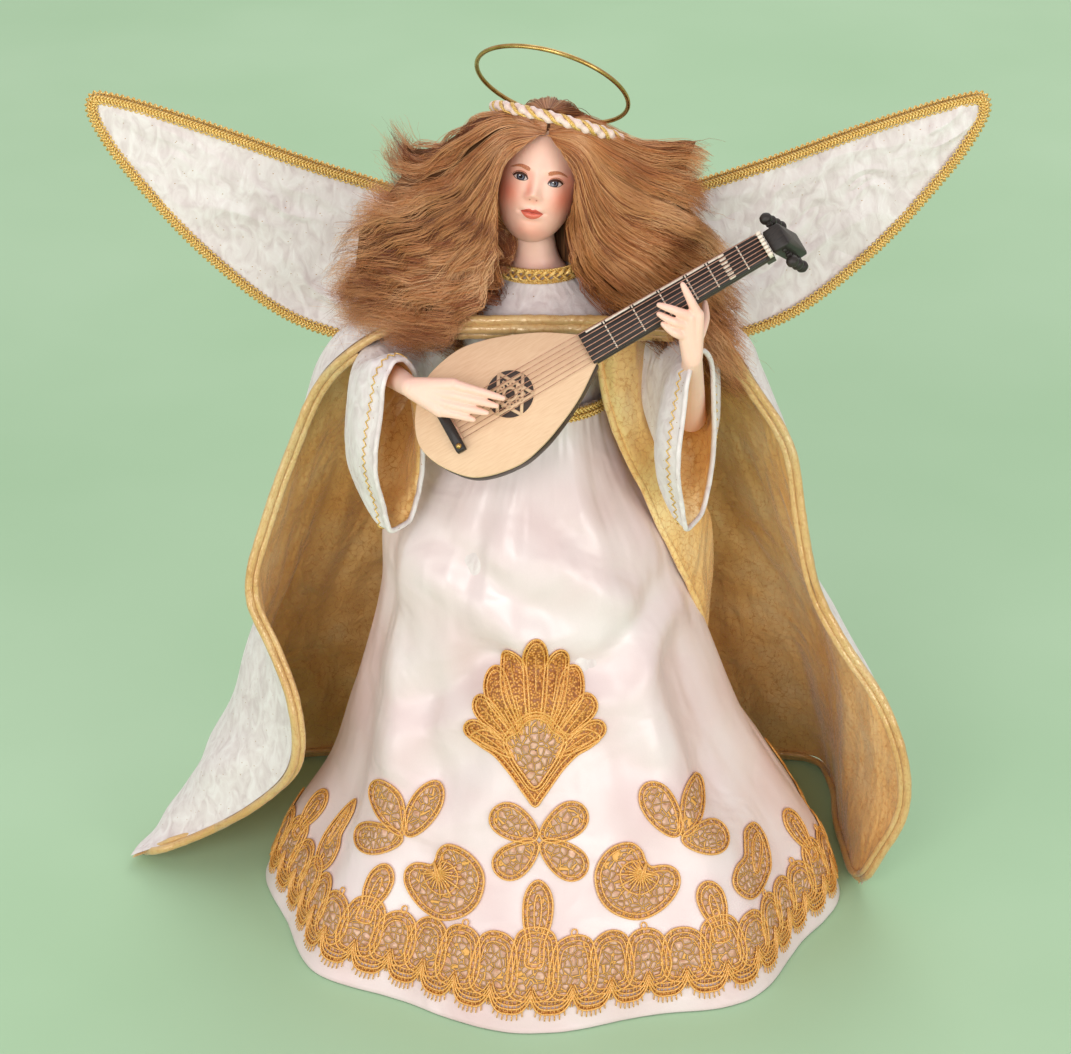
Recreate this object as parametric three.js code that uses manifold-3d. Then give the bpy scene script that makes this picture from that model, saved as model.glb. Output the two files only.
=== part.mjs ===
// A Christmas angel in a satin dress and a gold-lined mantle, playing a small lute.
// It stands on a hollow card cone. Its two wings turn on pins behind the shoulders.
// Millimetres, +Z up. The figure faces -Y, and the origin is on the floor under its middle.

import * as THREE from "three";
import { mergeVertices } from "three/addons/utils/BufferGeometryUtils.js";
import Module from "manifold-3d";

const wasm = await Module();
wasm.setup();

// Clearances and cuts

const gap = 0.3;
const cutOverrun = 2;
const mergeDistance = 1e-4;

// Dress and base

const waistHeight = 262;
const hemHalfWidth = 136;
const frontDepthShare = 0.9;
const backDepthShare = 0.78;
const skirtCloth = 1.2;
const skirtFoldDepth = 4.2;
const skirtFolds = 8;
const skirtColumns = 36;
// Height as a share of the waist height, half width as a share of the hem's, and the sideways lean.
const skirtProfileShares = [
  [0, 1, 0.05],
  [0.12, 0.912, 0.068],
  [0.248, 0.765, 0.07],
  [0.39, 0.647, 0.025],
  [0.508, 0.574, 0.005],
  [0.626, 0.515, -0.015],
  [0.76, 0.463, -0.035],
  [0.86, 0.345, -0.03],
  [0.94, 0.255, -0.01],
  [1, 0.225, 0],
];
// Heights of the net's rows as shares of the waist height.
const netRowShares = [0.12, 0.39, 0.7, 0.92, 1];
const underskirtDropFromSkirt = 13;
const netColumns = 16;
const underskirtDropAtWaist = 2;
const underskirtNet = 1;
const underskirtHemHeight = 3;
const coneBottomRadius = 100;
const coneTopRadius = 22;
const coneBelowWaist = 26;
const coneHeight = waistHeight - coneBelowWaist;
const coneCard = 1.6;
const coneDepthShare = 0.77;

// Torso, bodice and trims

const torsoRise = 42;
const torsoTopHeight = waistHeight + torsoRise;
const torsoDepthShare = 0.74;
const torsoWaistHalfWidth = 26.6;
const bodySides = 16;
const bodiceCloth = 1.4;
const collarRise = 19;
const collarHeight = torsoTopHeight + collarRise;
const neckRadius = 8;
const neckDepthShare = 0.9;
const collarBand = 6;
const collarThickness = 2;
const collarSeatShare = 1 / 3;
const beltRopeRadius = 2;
const chestBandHalfHeight = 5.3;
const chestBandHalfDepth = 3.6;

// Head, hair and halo

const headRise = 42.5;
const headCentre = new THREE.Vector3(-1, -1, collarHeight + headRise);
const headHalfWidth = 18.5;
const headHalfDepth = 22.5;
const headHalfHeight = 28.5;
const headRoll = THREE.MathUtils.degToRad(9.5);
const headPitch = THREE.MathUtils.degToRad(-14);
const hairReach = 92;
const hairDepth = 40;
const hairDrop = 110;
const headbandRadius = 28.5;
const headbandRope = 2.6;
const haloRadius = 33.8;
const haloWire = 1;
const haloStemLength = 26;
const haloStemLean = 14;
const haloRise = 34.5;
const haloCentre = new THREE.Vector3(6, 13, headCentre.z + haloRise);
const haloRoll = THREE.MathUtils.degToRad(22);
const haloLean = THREE.MathUtils.degToRad(45);
const headbandRise = 20;
const headbandCentre = new THREE.Vector3(9, 4, headCentre.z + headbandRise);
const headbandRoll = THREE.MathUtils.degToRad(16.5);
const headbandLean = THREE.MathUtils.degToRad(25);
const hairThickness = 5;
const hairRoom = 1.6;
const headbandRoom = 1.9;
const headJawShare = 0.36;
const headNapeShare = 0.5;
const headChinShare = 0.16;
const noseBridgeRadius = 1.2;
const noseTipRadius = 2.1;
// Ends of the nose as shares of the head's half sizes.
const noseBridgeShares = [0, -0.86, 0.05];
const noseTipShares = [0, -0.93, -0.24];

// Arms and sleeves

const armReach = 66;
const armForward = 62;
const shoulderDrop = 8;
const shoulderHeight = torsoTopHeight - shoulderDrop;
const upperArmRadius = 3.4;
const forearmRadius = 6.6;
const wristRadius = 4.8;
const fingerRadius = 2.2;
const fingerTipShare = 0.8;
const handLength = 35;
const forearmStartShare = 0.35;
const sleeveCloth = 1.2;
const sleeveLining = 0.8;
const sleeveTallHalf = 38;
const sleeveWideHalf = 17;

// Mantle

const mantleHalfWidth = 197;
const mantleDepth = 120;
const mantleRise = 9;
const mantleHeight = torsoTopHeight + mantleRise;
const mantleCloth = 1.2;
const mantleLining = 1;
const mantlePipingRadius = 2;
const mantleFoldDepth = 4;
const mantleColumns = 21;
const mantleFolds = 5;
const mantlePipingSteps = 46;

// Wings

const wingSpan = 190;
const wingRise = 128;
const wingCloth = 2.4;
const wingWire = 0.9;
const wingSweep = THREE.MathUtils.degToRad(4.3);
const gimpWidth = 5.5;
const gimpThickness = 4.4;
const gimpWall = 1;
const pinHeadRadius = 2.2;
const pinHeadHeight = 1.2;
const hingeSpacing = 24;
const hingeDrop = 18;
const hingeHeight = torsoTopHeight - hingeDrop;
const wingFootDrop = 34;
const wingFootHeight = hingeHeight - wingFootDrop;
const hingeDepth = 48.5;
const barrelLength = 24;
const frameArmShare = 1 / 3;
const barrelRadius = 3.2;
const pinRadius = 1.4;
const bracketWidth = 36;
const bracketHeight = 38;
const bracketPlate = 2.5;
const bracketEar = 3;
const boltRadius = 2;
const boltHeadRadius = 4;
const boltHeadHeight = 1.6;
const boltLength = 36;
const plateBack = hingeDepth - barrelRadius - gap;

// Lute

const luteBodyLength = 83;
const luteTailToRose = 44.6;
const luteHalfWidth = 29;
const luteBoard = 2;
const luteBowlDepth = 25;
const luteBowlWall = 1.6;
const roseRadius = 10.6;
const roseHub = 1.6;
const fingerboardStart = 37.5;
const fingerboardEnd = 123.5;
const fingerboardWidthAtBody = 15;
const fingerboardWidthAtNut = 12.6;
const fingerboardThickness = 1.6;
const fretHeight = 0.35;
const fretWidth = 0.7;
const neckDepth = 7;
const nutLength = 2;
const nutHeight = 1.8;
const pegboxLength = 27;
const pegboxWidth = 11;
const pegboxDepth = 8;
const pegboxTilt = THREE.MathUtils.degToRad(78);
const pegRadius = 1;
const pegBore = 1.5;
const pegKnobRadius = 2.5;
const stringRadius = 0.25;
const stringCount = 7;
const pegCount = 7;
const bridgeFromRose = 29.5;
const bridgeLength = 24;
const bridgeWidth = 4.4;
const bridgeHeight = 3.2;
const rivetRadius = 1.2;
const rivetHeight = 0.8;
const roseWedges = 6;
const roseWedgeShare = 0.8;
const roseWedgeFootShare = 0.6;
const roseCornerShares = [-1, -0.33, 0.33, 1];
const roseInnerFootShare = 0.24;
const roseInnerSideShare = 0.42;
const roseInnerTopShare = 0.5;
const roseDrop = 15;
const roseCentre = new THREE.Vector3(-12, -62, torsoTopHeight - roseDrop);
const luteFacing = [-0.2, -0.754, 0.627];
const luteNeckWay = [0.866, 0.167, 0.477];
const wideFretShare = 0.8;
const fretShares = [0.14, 0.3, 0.45, 0.6, 0.72, wideFretShare, 0.89];
const wideFretWidth = 2.2;
const bowlShares = [
  [0, 0.985],
  [0.5, 0.87],
  [0.76, 0.67],
  [0.93, 0.42],
  [1, 0.2],
];
const neckSectionShares = [
  [0.94, 0],
  [0.9, 0.5],
  [0.5, 0.92],
  [0, 1],
  [-0.5, 0.92],
  [-0.9, 0.5],
  [-0.94, 0],
];
const stringSpanAtBridge = 15;
const stringSpanAtNut = 10.4;
const pegTipOut = 0.8;
const pegFirstShare = 0.14;
const pegLastShare = 0.88;
// A peg's knob: radius, then distance from the pegbox, as shares of the knob's radius.
const pegKnobShares = [
  [1, 1.6],
  [1, 2.4],
  [0, 3],
];

// Lace

const laceThickness = 0.8;
const laceLift = 0.6;
const hemLaceFoot = 10;
const hemLaceTop = 32.4;
const hemLaceScallopRise = 4;
const hemLaceSpireRise = 21;
const hemLaceSpireEvery = 4;
const hemLaceFirstSpire = 2;
const laceReach = 60;

// Facets of the round forms

const coneSides = 24;
const collarSteps = 18;
const beltSides = 5;
const beltSteps = 24;
const bandSides = 7;
const bandSteps = 10;
const headColumns = 16;
const headRows = 12;
const ballColumns = 10;
const handBallRows = 6;
const headRoomRows = 8;
const lobeColumns = 9;
const lobeRows = 6;
const limbSides = 8;
const limbBends = 2;
const upperArmSides = 6;
const fingerSides = 5;
const rodSides = 5;
const hairSides = 12;
const neckRoomSides = 12;
const headbandSides = 5;
const headbandSteps = 20;
const headbandRoomSides = 4;
const headbandRoomSteps = 14;
const haloSides = 4;
const haloSteps = 24;
const stemSides = 6;
const sleeveSides = 10;
const wingSteps = 24;
const wingWireSides = 4;
const turnedSides = 12;
const boltSides = 6;
const rivetSides = 8;
const pegSides = 7;
const stringSides = 3;
const lacePetalSides = 8;
// The first row of the mantle that the hair lies over.
const hairRoomFirstRow = 9;

// Colours

const satin = new THREE.MeshStandardMaterial({ color: "#f4e6e2", roughness: 0.35 });
const crinkle = new THREE.MeshStandardMaterial({ color: "#e9dfe0", roughness: 0.8 });
const goldCloth = new THREE.MeshStandardMaterial({ color: "#c89a52", roughness: 0.45, metalness: 0.2 });
const goldLace = new THREE.MeshStandardMaterial({ color: "#c08a3c", roughness: 0.6, metalness: 0.2 });
const porcelain = new THREE.MeshStandardMaterial({ color: "#f2cdbb", roughness: 0.35 });
const mohair = new THREE.MeshStandardMaterial({ color: "#a5663a", roughness: 0.6 });
const brass = new THREE.MeshStandardMaterial({ color: "#b08d3c", roughness: 0.3, metalness: 1 });
const spruce = new THREE.MeshStandardMaterial({ color: "#dcb488", roughness: 0.5 });
const ebony = new THREE.MeshStandardMaterial({ color: "#1d1513", roughness: 0.3 });
const walnut = new THREE.MeshStandardMaterial({ color: "#2e1d16", roughness: 0.4 });
const bone = new THREE.MeshStandardMaterial({ color: "#efe6da", roughness: 0.4 });
const card = new THREE.MeshStandardMaterial({ color: "#cfc3ac", roughness: 0.9 });
const pinkCord = new THREE.MeshStandardMaterial({ color: "#f0cfc4", roughness: 0.5 });

// Small helpers for points, shares and curves

const point = (x, y, z) => new THREE.Vector3(x, y, z);

// Smooth value of one column of a share table at a place between its first column's values.
function shareAt(table, place, column) {
  const last = table.length - 1;
  let i = 0;
  while (i < last - 1 && place > table[i + 1][0]) i += 1;
  const before = table[Math.max(i - 1, 0)];
  const start = table[i];
  const end = table[i + 1];
  const after = table[Math.min(i + 2, last)];
  const span = end[0] - start[0];
  const t = THREE.MathUtils.clamp((place - start[0]) / span, 0, 1);
  const leave = (span * (end[column] - before[column])) / (end[0] - before[0]);
  const arrive = (span * (after[column] - start[column])) / (after[0] - start[0]);
  return hermite(start[column], end[column], leave, arrive, t);
}

function hermite(start, end, leave, arrive, t) {
  const t2 = t * t;
  const t3 = t2 * t;
  const ends = (2 * t3 - 3 * t2 + 1) * start + (3 * t2 - 2 * t3) * end;
  return ends + (t3 - 2 * t2 + t) * leave + (t3 - t2) * arrive;
}

// Points at even steps along a smooth curve through the given points.
function alongCurve(points, count, closed = false) {
  const curve = new THREE.CatmullRomCurve3(points, closed, "centripetal");
  const steps = closed ? count : count - 1;
  return Array.from({ length: count }, (_, i) => curve.getPointAt(i / steps));
}

// Closed solids

function solidFromArrays(positions, triangles) {
  const mesh = new wasm.Mesh({
    numProp: 3,
    vertProperties: new Float32Array(positions),
    triVerts: new Uint32Array(triangles),
  });
  const made = new wasm.Manifold(mesh);
  if (made.volume() > 0) return made;
  const turned = [];
  for (let i = 0; i < triangles.length; i += 3) turned.push(triangles[i], triangles[i + 2], triangles[i + 1]);
  return solidFromArrays(positions, turned);
}

function solidOf(geometry, matrix = new THREE.Matrix4()) {
  const bare = geometry.index ? geometry.toNonIndexed() : geometry.clone();
  for (const name of Object.keys(bare.attributes)) {
    if (name !== "position") bare.deleteAttribute(name);
  }
  const merged = mergeVertices(bare.applyMatrix4(matrix), mergeDistance);
  return solidFromArrays(merged.attributes.position.array, merged.index.array);
}

// Rings of equally many points joined to a closed surface: a loop of rings, or a stack with both ends filled.
function ringSolid(rings, looped = false) {
  const count = rings[0].length;
  const points = rings.flat();
  const triangles = [];
  const joins = looped ? rings.length : rings.length - 1;
  for (let k = 0; k < joins; k += 1) {
    const here = k * count;
    const next = ((k + 1) % rings.length) * count;
    for (let i = 0; i < count; i += 1) {
      const j = (i + 1) % count;
      triangles.push(here + i, here + j, next + j, here + i, next + j, next + i);
    }
  }
  if (!looped) {
    for (const end of [0, rings.length - 1]) {
      const middle = rings[end].reduce((sum, p) => sum.add(p), point(0, 0, 0)).divideScalar(count);
      points.push(middle);
      for (let i = 0; i < count; i += 1) {
        const a = end * count + i;
        const b = end * count + ((i + 1) % count);
        if (end === 0) triangles.push(b, a, points.length - 1);
        else triangles.push(a, b, points.length - 1);
      }
    }
  }
  return solidFromArrays(points.flatMap((p) => [p.x, p.y, p.z]), triangles);
}

// A wall between an outer and an inner stack of rings, open at both ends.
// Both faces are split along the same diagonals.
function wallSolid(outer, inner) {
  const rows = outer.length;
  const count = outer[0].length;
  const at = (side, k, i) => (side * rows + k) * count + (i % count);
  const triangles = [];
  const quad = (a, b, c, d) => triangles.push(a, b, c, a, c, d);
  for (let i = 0; i < count; i += 1) {
    for (let k = 0; k < rows - 1; k += 1) {
      quad(at(0, k, i), at(0, k, i + 1), at(0, k + 1, i + 1), at(0, k + 1, i));
      triangles.push(at(1, k, i), at(1, k + 1, i + 1), at(1, k, i + 1));
      triangles.push(at(1, k, i), at(1, k + 1, i), at(1, k + 1, i + 1));
    }
    quad(at(0, 0, i + 1), at(0, 0, i), at(1, 0, i), at(1, 0, i + 1));
    quad(at(0, rows - 1, i), at(0, rows - 1, i + 1), at(1, rows - 1, i + 1), at(1, rows - 1, i));
  }
  const points = [...outer.flat(), ...inner.flat()];
  return solidFromArrays(points.flatMap((p) => [p.x, p.y, p.z]), triangles);
}

// A sheet with a thickness, from the rows of points of its two faces.
function sheetSolid(front, back) {
  const rows = front.length;
  const columns = front[0].length;
  const points = [...front.flat(), ...back.flat()];
  const at = (side, k, i) => (side * rows + k) * columns + i;
  const triangles = [];
  const quad = (a, b, c, d) => triangles.push(a, b, c, a, c, d);
  for (let k = 0; k < rows - 1; k += 1) {
    for (let i = 0; i < columns - 1; i += 1) {
      quad(at(0, k, i), at(0, k, i + 1), at(0, k + 1, i + 1), at(0, k + 1, i));
      triangles.push(at(1, k, i), at(1, k + 1, i + 1), at(1, k, i + 1));
      triangles.push(at(1, k, i), at(1, k + 1, i), at(1, k + 1, i + 1));
    }
    quad(at(0, k, 0), at(0, k + 1, 0), at(1, k + 1, 0), at(1, k, 0));
    const i = columns - 1;
    quad(at(0, k, i), at(1, k, i), at(1, k + 1, i), at(0, k + 1, i));
  }
  for (let i = 0; i < columns - 1; i += 1) {
    quad(at(0, 0, i), at(1, 0, i), at(1, 0, i + 1), at(0, 0, i + 1));
    const k = rows - 1;
    quad(at(0, k, i), at(0, k, i + 1), at(1, k, i + 1), at(1, k, i));
  }
  return solidFromArrays(points.flatMap((p) => [p.x, p.y, p.z]), triangles);
}

// The same solid with its surface pushed out by a distance.
function grown(solid, distance) {
  const mesh = solid.getMesh();
  const width = mesh.numProp;
  const count = mesh.vertProperties.length / width;
  const places = Array.from({ length: count }, (_, i) =>
    new THREE.Vector3().fromArray(mesh.vertProperties, i * width),
  );
  const normals = places.map(() => point(0, 0, 0));
  for (let t = 0; t < mesh.triVerts.length; t += 3) {
    const [a, b, c] = [0, 1, 2].map((corner) => mesh.triVerts[t + corner]);
    const normal = new THREE.Triangle(places[a], places[b], places[c]).getNormal(new THREE.Vector3());
    [[a, b, c], [b, c, a], [c, a, b]].forEach(([here, next, last]) => {
      const first = places[next].clone().sub(places[here]);
      const second = places[last].clone().sub(places[here]);
      normals[here].addScaledVector(normal, first.angleTo(second));
    });
  }
  const moved = places.flatMap((spot, i) => spot.addScaledVector(normals[i].normalize(), distance).toArray());
  return solidFromArrays(moved, Array.from(mesh.triVerts));
}

function boxesMeet(first, second, reach) {
  const [a, b] = [first.boundingBox(), second.boundingBox()];
  return [0, 1, 2].every((i) => a.min[i] - reach < b.max[i] && b.min[i] - reach < a.max[i]);
}

const largestOf = (solid) => solid.decompose().reduce((a, b) => (b.volume() > a.volume() ? b : a));

const pieces = new Map();

// Keeps a piece under its name, after room has been cut in it for the named neighbours.
function keep(name, solid, material, neighbours = [], clearance = gap) {
  let cut = solid;
  for (const other of neighbours) {
    const neighbour = pieces.get(other).solid;
    if (boxesMeet(cut, neighbour, clearance)) cut = cut.subtract(grown(neighbour, clearance));
  }
  pieces.set(name, { solid: largestOf(cut), material });
}

// A round rod along a smooth curve.
function rod(points, radius, sides, steps) {
  const path = points.length > 2 ? new THREE.CatmullRomCurve3(points) : new THREE.LineCurve3(...points);
  const corners = Array.from({ length: sides }, (_, i) => {
    const turn = (2 * Math.PI * i) / sides;
    return new THREE.Vector2(radius * Math.cos(turn), radius * Math.sin(turn));
  });
  const options = { steps, extrudePath: path, bevelEnabled: false };
  return solidOf(new THREE.ExtrudeGeometry(new THREE.Shape(corners), options));
}

// A limb that tapers from one round end to the other.
function limb(from, to, startRadius, endRadius, sides = limbSides, bends = limbBends) {
  const axis = to.clone().sub(from);
  const length = axis.length();
  const profile = [];
  for (let i = 0; i <= bends; i += 1) {
    const turn = (Math.PI / 2) * (i / bends);
    profile.push(new THREE.Vector2(startRadius * Math.sin(turn), -startRadius * Math.cos(turn)));
  }
  for (let i = 0; i <= bends; i += 1) {
    const turn = (Math.PI / 2) * (i / bends);
    profile.push(new THREE.Vector2(endRadius * Math.cos(turn), length + endRadius * Math.sin(turn)));
  }
  profile[0].x = 0;
  profile[profile.length - 1].x = 0;
  const turn = new THREE.Quaternion().setFromUnitVectors(point(0, 1, 0), axis.normalize());
  const place = new THREE.Matrix4().compose(from, turn, point(1, 1, 1));
  return solidOf(new THREE.LatheGeometry(profile, sides), place);
}

function ellipsoid(centre, half, columns, rows) {
  const place = new THREE.Matrix4().makeTranslation(centre).scale(half);
  return solidOf(new THREE.SphereGeometry(1, columns, rows), place);
}

function box(centre, size) {
  return solidOf(new THREE.BoxGeometry(size.x, size.y, size.z), new THREE.Matrix4().makeTranslation(centre));
}

// An upright cylinder, or one along Y.
function cylinder(centre, radius, height, sides = turnedSides, alongY = false) {
  const place = new THREE.Matrix4().makeTranslation(centre);
  if (!alongY) place.multiply(new THREE.Matrix4().makeRotationX(Math.PI / 2));
  return solidOf(new THREE.CylinderGeometry(radius, radius, height, sides), place);
}

const joined = (solids) => solids.reduce((sum, solid) => sum.add(solid));

// The dress

// A point of the skirt's outer face, pushed out sideways by a distance, with its folds full or left out.
function skirtPoint(angle, height, out = 0, folds = 1) {
  const place = height / waistHeight;
  const spread = hemHalfWidth * shareAt(skirtProfileShares, place, 1);
  const fold = folds * skirtFoldDepth * (1 - place) * Math.cos(skirtFolds * angle + Math.PI / 4);
  const radius = spread + fold + out;
  const depth = Math.sin(angle) < 0 ? frontDepthShare : backDepthShare;
  const lean = hemHalfWidth * shareAt(skirtProfileShares, place, 2);
  return point(lean + radius * Math.cos(angle), depth * radius * Math.sin(angle), height);
}

function skirtRing(height, out, columns = skirtColumns, folds = 1) {
  const turn = (2 * Math.PI) / columns;
  return Array.from({ length: columns }, (_, i) => skirtPoint(turn * i, height, out, folds));
}

function makeDress() {
  const heights = skirtProfileShares.map(([share]) => share * waistHeight);
  keep(
    "dress_skirt",
    wallSolid(heights.map((z) => skirtRing(z, 0)), heights.map((z) => skirtRing(z, -skirtCloth))),
    satin,
  );
  const netHeights = [underskirtHemHeight, ...netRowShares.map((share) => share * waistHeight)];
  const drop = (z) => THREE.MathUtils.lerp(underskirtDropFromSkirt, underskirtDropAtWaist, z / waistHeight);
  const net = (inset) => netHeights.map((z) => skirtRing(z, -drop(z) - inset, netColumns, 0));
  keep("underskirt", wallSolid(net(0), net(underskirtNet)), crinkle);
}

function ellipseRing(height, halfWidth, depthShare, sides, centreX = 0) {
  return Array.from({ length: sides }, (_, i) => {
    const angle = (2 * Math.PI * i) / sides;
    return point(centreX + halfWidth * Math.cos(angle), depthShare * halfWidth * Math.sin(angle), height);
  });
}

function makeBase() {
  const rings = (inset) => [
    ellipseRing(0, coneBottomRadius - inset, coneDepthShare, coneSides),
    ellipseRing(coneHeight, coneTopRadius - inset, coneDepthShare, coneSides),
  ];
  keep("base_cone", wallSolid(rings(0), rings(coneCard)), card);
}

// Heights as shares of the way from the cone's top to the torso's, half widths as shares of the waist's.
const torsoShares = [
  [0, 0.92],
  [0.2, 0.98],
  [0.38, 1],
  [0.57, 1.05],
  [0.8, 1.2],
  [0.94, 1.24],
  [1, 1.14],
];
// The bodice goes on from the torso to the collar: share of the way from waist to collar, then half width.
const bodiceShares = [
  [0.01, 1.12],
  [0.22, 1.15],
  [0.46, 1.31],
  [0.62, 1.36],
  [0.71, 1.29],
  [0.8, 1.02],
  [0.9, 0.61],
  [1, 0.59],
];

function makeBody() {
  const bottom = coneHeight + gap;
  const torso = torsoShares.map(([height, width]) =>
    ellipseRing(
      THREE.MathUtils.lerp(bottom, torsoTopHeight, height),
      width * torsoWaistHalfWidth,
      torsoDepthShare,
      bodySides,
    ),
  );
  const shank = point(0, plateBack + 2 * gap - boltLength / 2, hingeHeight);
  const boltHead = point(0, plateBack + gap + boltHeadHeight / 2, hingeHeight);
  const bolt = joined([
    cylinder(shank, boltRadius, boltLength, boltSides, true),
    cylinder(boltHead, boltHeadRadius, boltHeadHeight, boltSides, true),
  ]);
  keep("wing_bolt", bolt, brass);
  keep("torso_form", ringSolid(torso), crinkle, ["wing_bolt"]);
  const ring = (out) =>
    bodiceShares.map(([height, width]) =>
      ellipseRing(
        THREE.MathUtils.lerp(waistHeight, collarHeight, height),
        width * torsoWaistHalfWidth + out,
        torsoDepthShare,
        bodySides,
      ),
    );
  keep("bodice", wallSolid(ring(0), ring(-bodiceCloth)), crinkle, ["torso_form", "wing_bolt", "dress_skirt"]);
}

// A closed hoop: a section of [outward, upward] pairs carried round an ellipse with two half axes.
function hoop(centre, firstHalf, secondHalf, section, steps) {
  const normal = firstHalf.clone().cross(secondHalf).normalize();
  const rings = Array.from({ length: steps }, (_, i) => {
    const turn = (2 * Math.PI * i) / steps;
    const spot = centre
      .clone()
      .addScaledVector(firstHalf, Math.cos(turn))
      .addScaledVector(secondHalf, Math.sin(turn));
    const tangent = firstHalf
      .clone()
      .multiplyScalar(-Math.sin(turn))
      .addScaledVector(secondHalf, Math.cos(turn))
      .normalize();
    const outward = tangent.clone().cross(normal);
    return section.map(([out, up]) => spot.clone().addScaledVector(outward, out).addScaledVector(normal, up));
  });
  return ringSolid(rings, true);
}

const roundSection = (radius, sides) =>
  Array.from({ length: sides }, (_, i) => [
    radius * Math.cos((2 * Math.PI * i) / sides),
    radius * Math.sin((2 * Math.PI * i) / sides),
  ]);

// A strap of oval section along a smooth curve that stays about level.
function strap(points, halfDepth, halfHeight, sides, steps) {
  const curve = new THREE.CatmullRomCurve3(points, false, "centripetal");
  const rings = Array.from({ length: steps + 1 }, (_, i) => {
    const spot = curve.getPointAt(i / steps);
    const tangent = curve.getTangentAt(i / steps);
    const side = tangent.clone().cross(point(0, 0, 1)).normalize();
    const up = side.clone().cross(tangent);
    return roundSection(1, sides).map(([across, high]) =>
      spot.clone().addScaledVector(side, halfDepth * across).addScaledVector(up, halfHeight * high),
    );
  });
  return ringSolid(rings);
}

// Trims of the body

function makeTrims() {
  const collarHalf = bodiceShares[bodiceShares.length - 2][1] * torsoWaistHalfWidth + gap;
  const collarMiddle = point(0, 0, collarHeight + gap - collarSeatShare * collarBand);
  const band = [
    [0, -collarBand / 2],
    [collarThickness, -collarBand / 2],
    [collarThickness, collarBand / 2],
    [0, collarBand / 2],
  ];
  const collarHalves = [point(collarHalf, 0, 0), point(0, collarHalf * torsoDepthShare + gap, 0)];
  keep("collar_braid", hoop(collarMiddle, ...collarHalves, band, collarSteps), goldLace, ["bodice"]);
  const beltHalf = skirtPoint(0, waistHeight).x + beltRopeRadius + 4 * gap;
  const beltDepth = -skirtPoint(-Math.PI / 2, waistHeight).y + beltRopeRadius + 4 * gap;
  keep(
    "waist_cord",
    hoop(
      point(0, 0, waistHeight),
      point(beltHalf, 0, 0),
      point(0, beltDepth, 0),
      roundSection(beltRopeRadius, beltSides),
      beltSteps,
    ),
    goldLace,
    ["dress_skirt", "bodice"],
  );
}

// Head, hair and halo

const plateShares = [
  [0, 0],
  [0, 1.05],
  [0.27, 0.82],
  [0.5, 0.46],
  [0.74, 0.4],
  [1, 0.31],
];

function headShape() {
  const geometry = new THREE.SphereGeometry(1, headColumns, headRows).rotateX(Math.PI / 2);
  const spots = geometry.getAttribute("position");
  for (let i = 0; i < spots.count; i += 1) {
    const spot = new THREE.Vector3().fromBufferAttribute(spots, i);
    const jaw = THREE.MathUtils.smoothstep(-spot.z, 0, 1);
    const width = 1 - headJawShare * jaw;
    const depth = spot.y > 0 ? 1 - headNapeShare * jaw : 1 - headChinShare * jaw;
    spots.setXYZ(i, spot.x * width * headHalfWidth, spot.y * depth * headHalfDepth, spot.z * headHalfHeight);
  }
  const halves = point(headHalfWidth, headHalfDepth, headHalfHeight);
  const [bridge, tip] = [noseBridgeShares, noseTipShares].map((shares) => point(...shares).multiply(halves));
  const nose = limb(bridge, tip, noseBridgeRadius, noseTipRadius);
  return solidOf(geometry).add(nose);
}

const headPlace = new THREE.Matrix4()
  .makeTranslation(headCentre)
  .multiply(new THREE.Matrix4().makeRotationY(headRoll))
  .multiply(new THREE.Matrix4().makeRotationX(headPitch));

function placed(solid, matrix) {
  const mesh = solid.getMesh();
  const moved = [];
  for (let i = 0; i < mesh.vertProperties.length; i += mesh.numProp) {
    moved.push(...new THREE.Vector3().fromArray(mesh.vertProperties, i).applyMatrix4(matrix).toArray());
  }
  return solidFromArrays(moved, Array.from(mesh.triVerts));
}

function makeHead() {
  const head = placed(headShape(), headPlace);
  const plateHeight = collarHeight + collarBand - torsoTopHeight;
  const plate = plateShares
    .slice(1)
    .map(([height, width]) =>
      ellipseRing(
        torsoTopHeight + gap + height * plateHeight,
        width * torsoWaistHalfWidth,
        THREE.MathUtils.lerp(torsoDepthShare, neckDepthShare, height),
        bodySides,
      ),
    );
  plate.push(ellipseRing(headCentre.z - headHalfHeight / 2, neckRadius, neckDepthShare, bodySides));
  keep("shoulder_head", head.add(ringSolid(plate)), porcelain, ["torso_form", "bodice"]);
}

// Rings of the hair on the head: drop from the crown, reach to the right and left, then front and back depth.
const hairRingShares = [
  [0, 0.08, 0.16, 0.3, 0.3],
  [0.05, 0.28, 0.36, 0.5, 0.6],
  [0.14, 0.44, 0.53, 0.6, 0.78],
  [0.27, 0.58, 0.66, 0.62, 0.86],
  [0.4, 0.7, 0.76, 0.6, 0.84],
  [0.54, 0.84, 0.86, 0.56, 0.8],
  [0.66, 0.88, 0.88, 0.5, 0.76],
  [0.75, 0.7, 0.76, 0.36, 0.6],
];
// Locks over the shoulders: places as shares of the hair's reach, depth and drop, then half sizes alike.
const hairLobeShares = [
  { at: [-0.55, -0.12, 0.76], half: [0.42, 0.48, 0.29] },
  { at: [0.57, -0.04, 0.72], half: [0.4, 0.48, 0.31] },
  { at: [0.9, -0.1, 1.04], half: [0.11, 0.26, 0.24] },
];
// Outline of the opening over the face and the chest, as shares of the reach and the drop.
const faceWindowShares = [
  [0, 0.07],
  [0.14, 0.12],
  [0.2, 0.26],
  [0.19, 0.46],
  [0.15, 0.6],
  [0.18, 0.76],
  [0.22, 1.2],
  [-0.2, 1.2],
  [-0.17, 0.76],
  [-0.17, 0.6],
  [-0.22, 0.46],
  [-0.21, 0.26],
  [-0.13, 0.12],
];
const faceWindowBackShare = -0.06;
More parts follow.
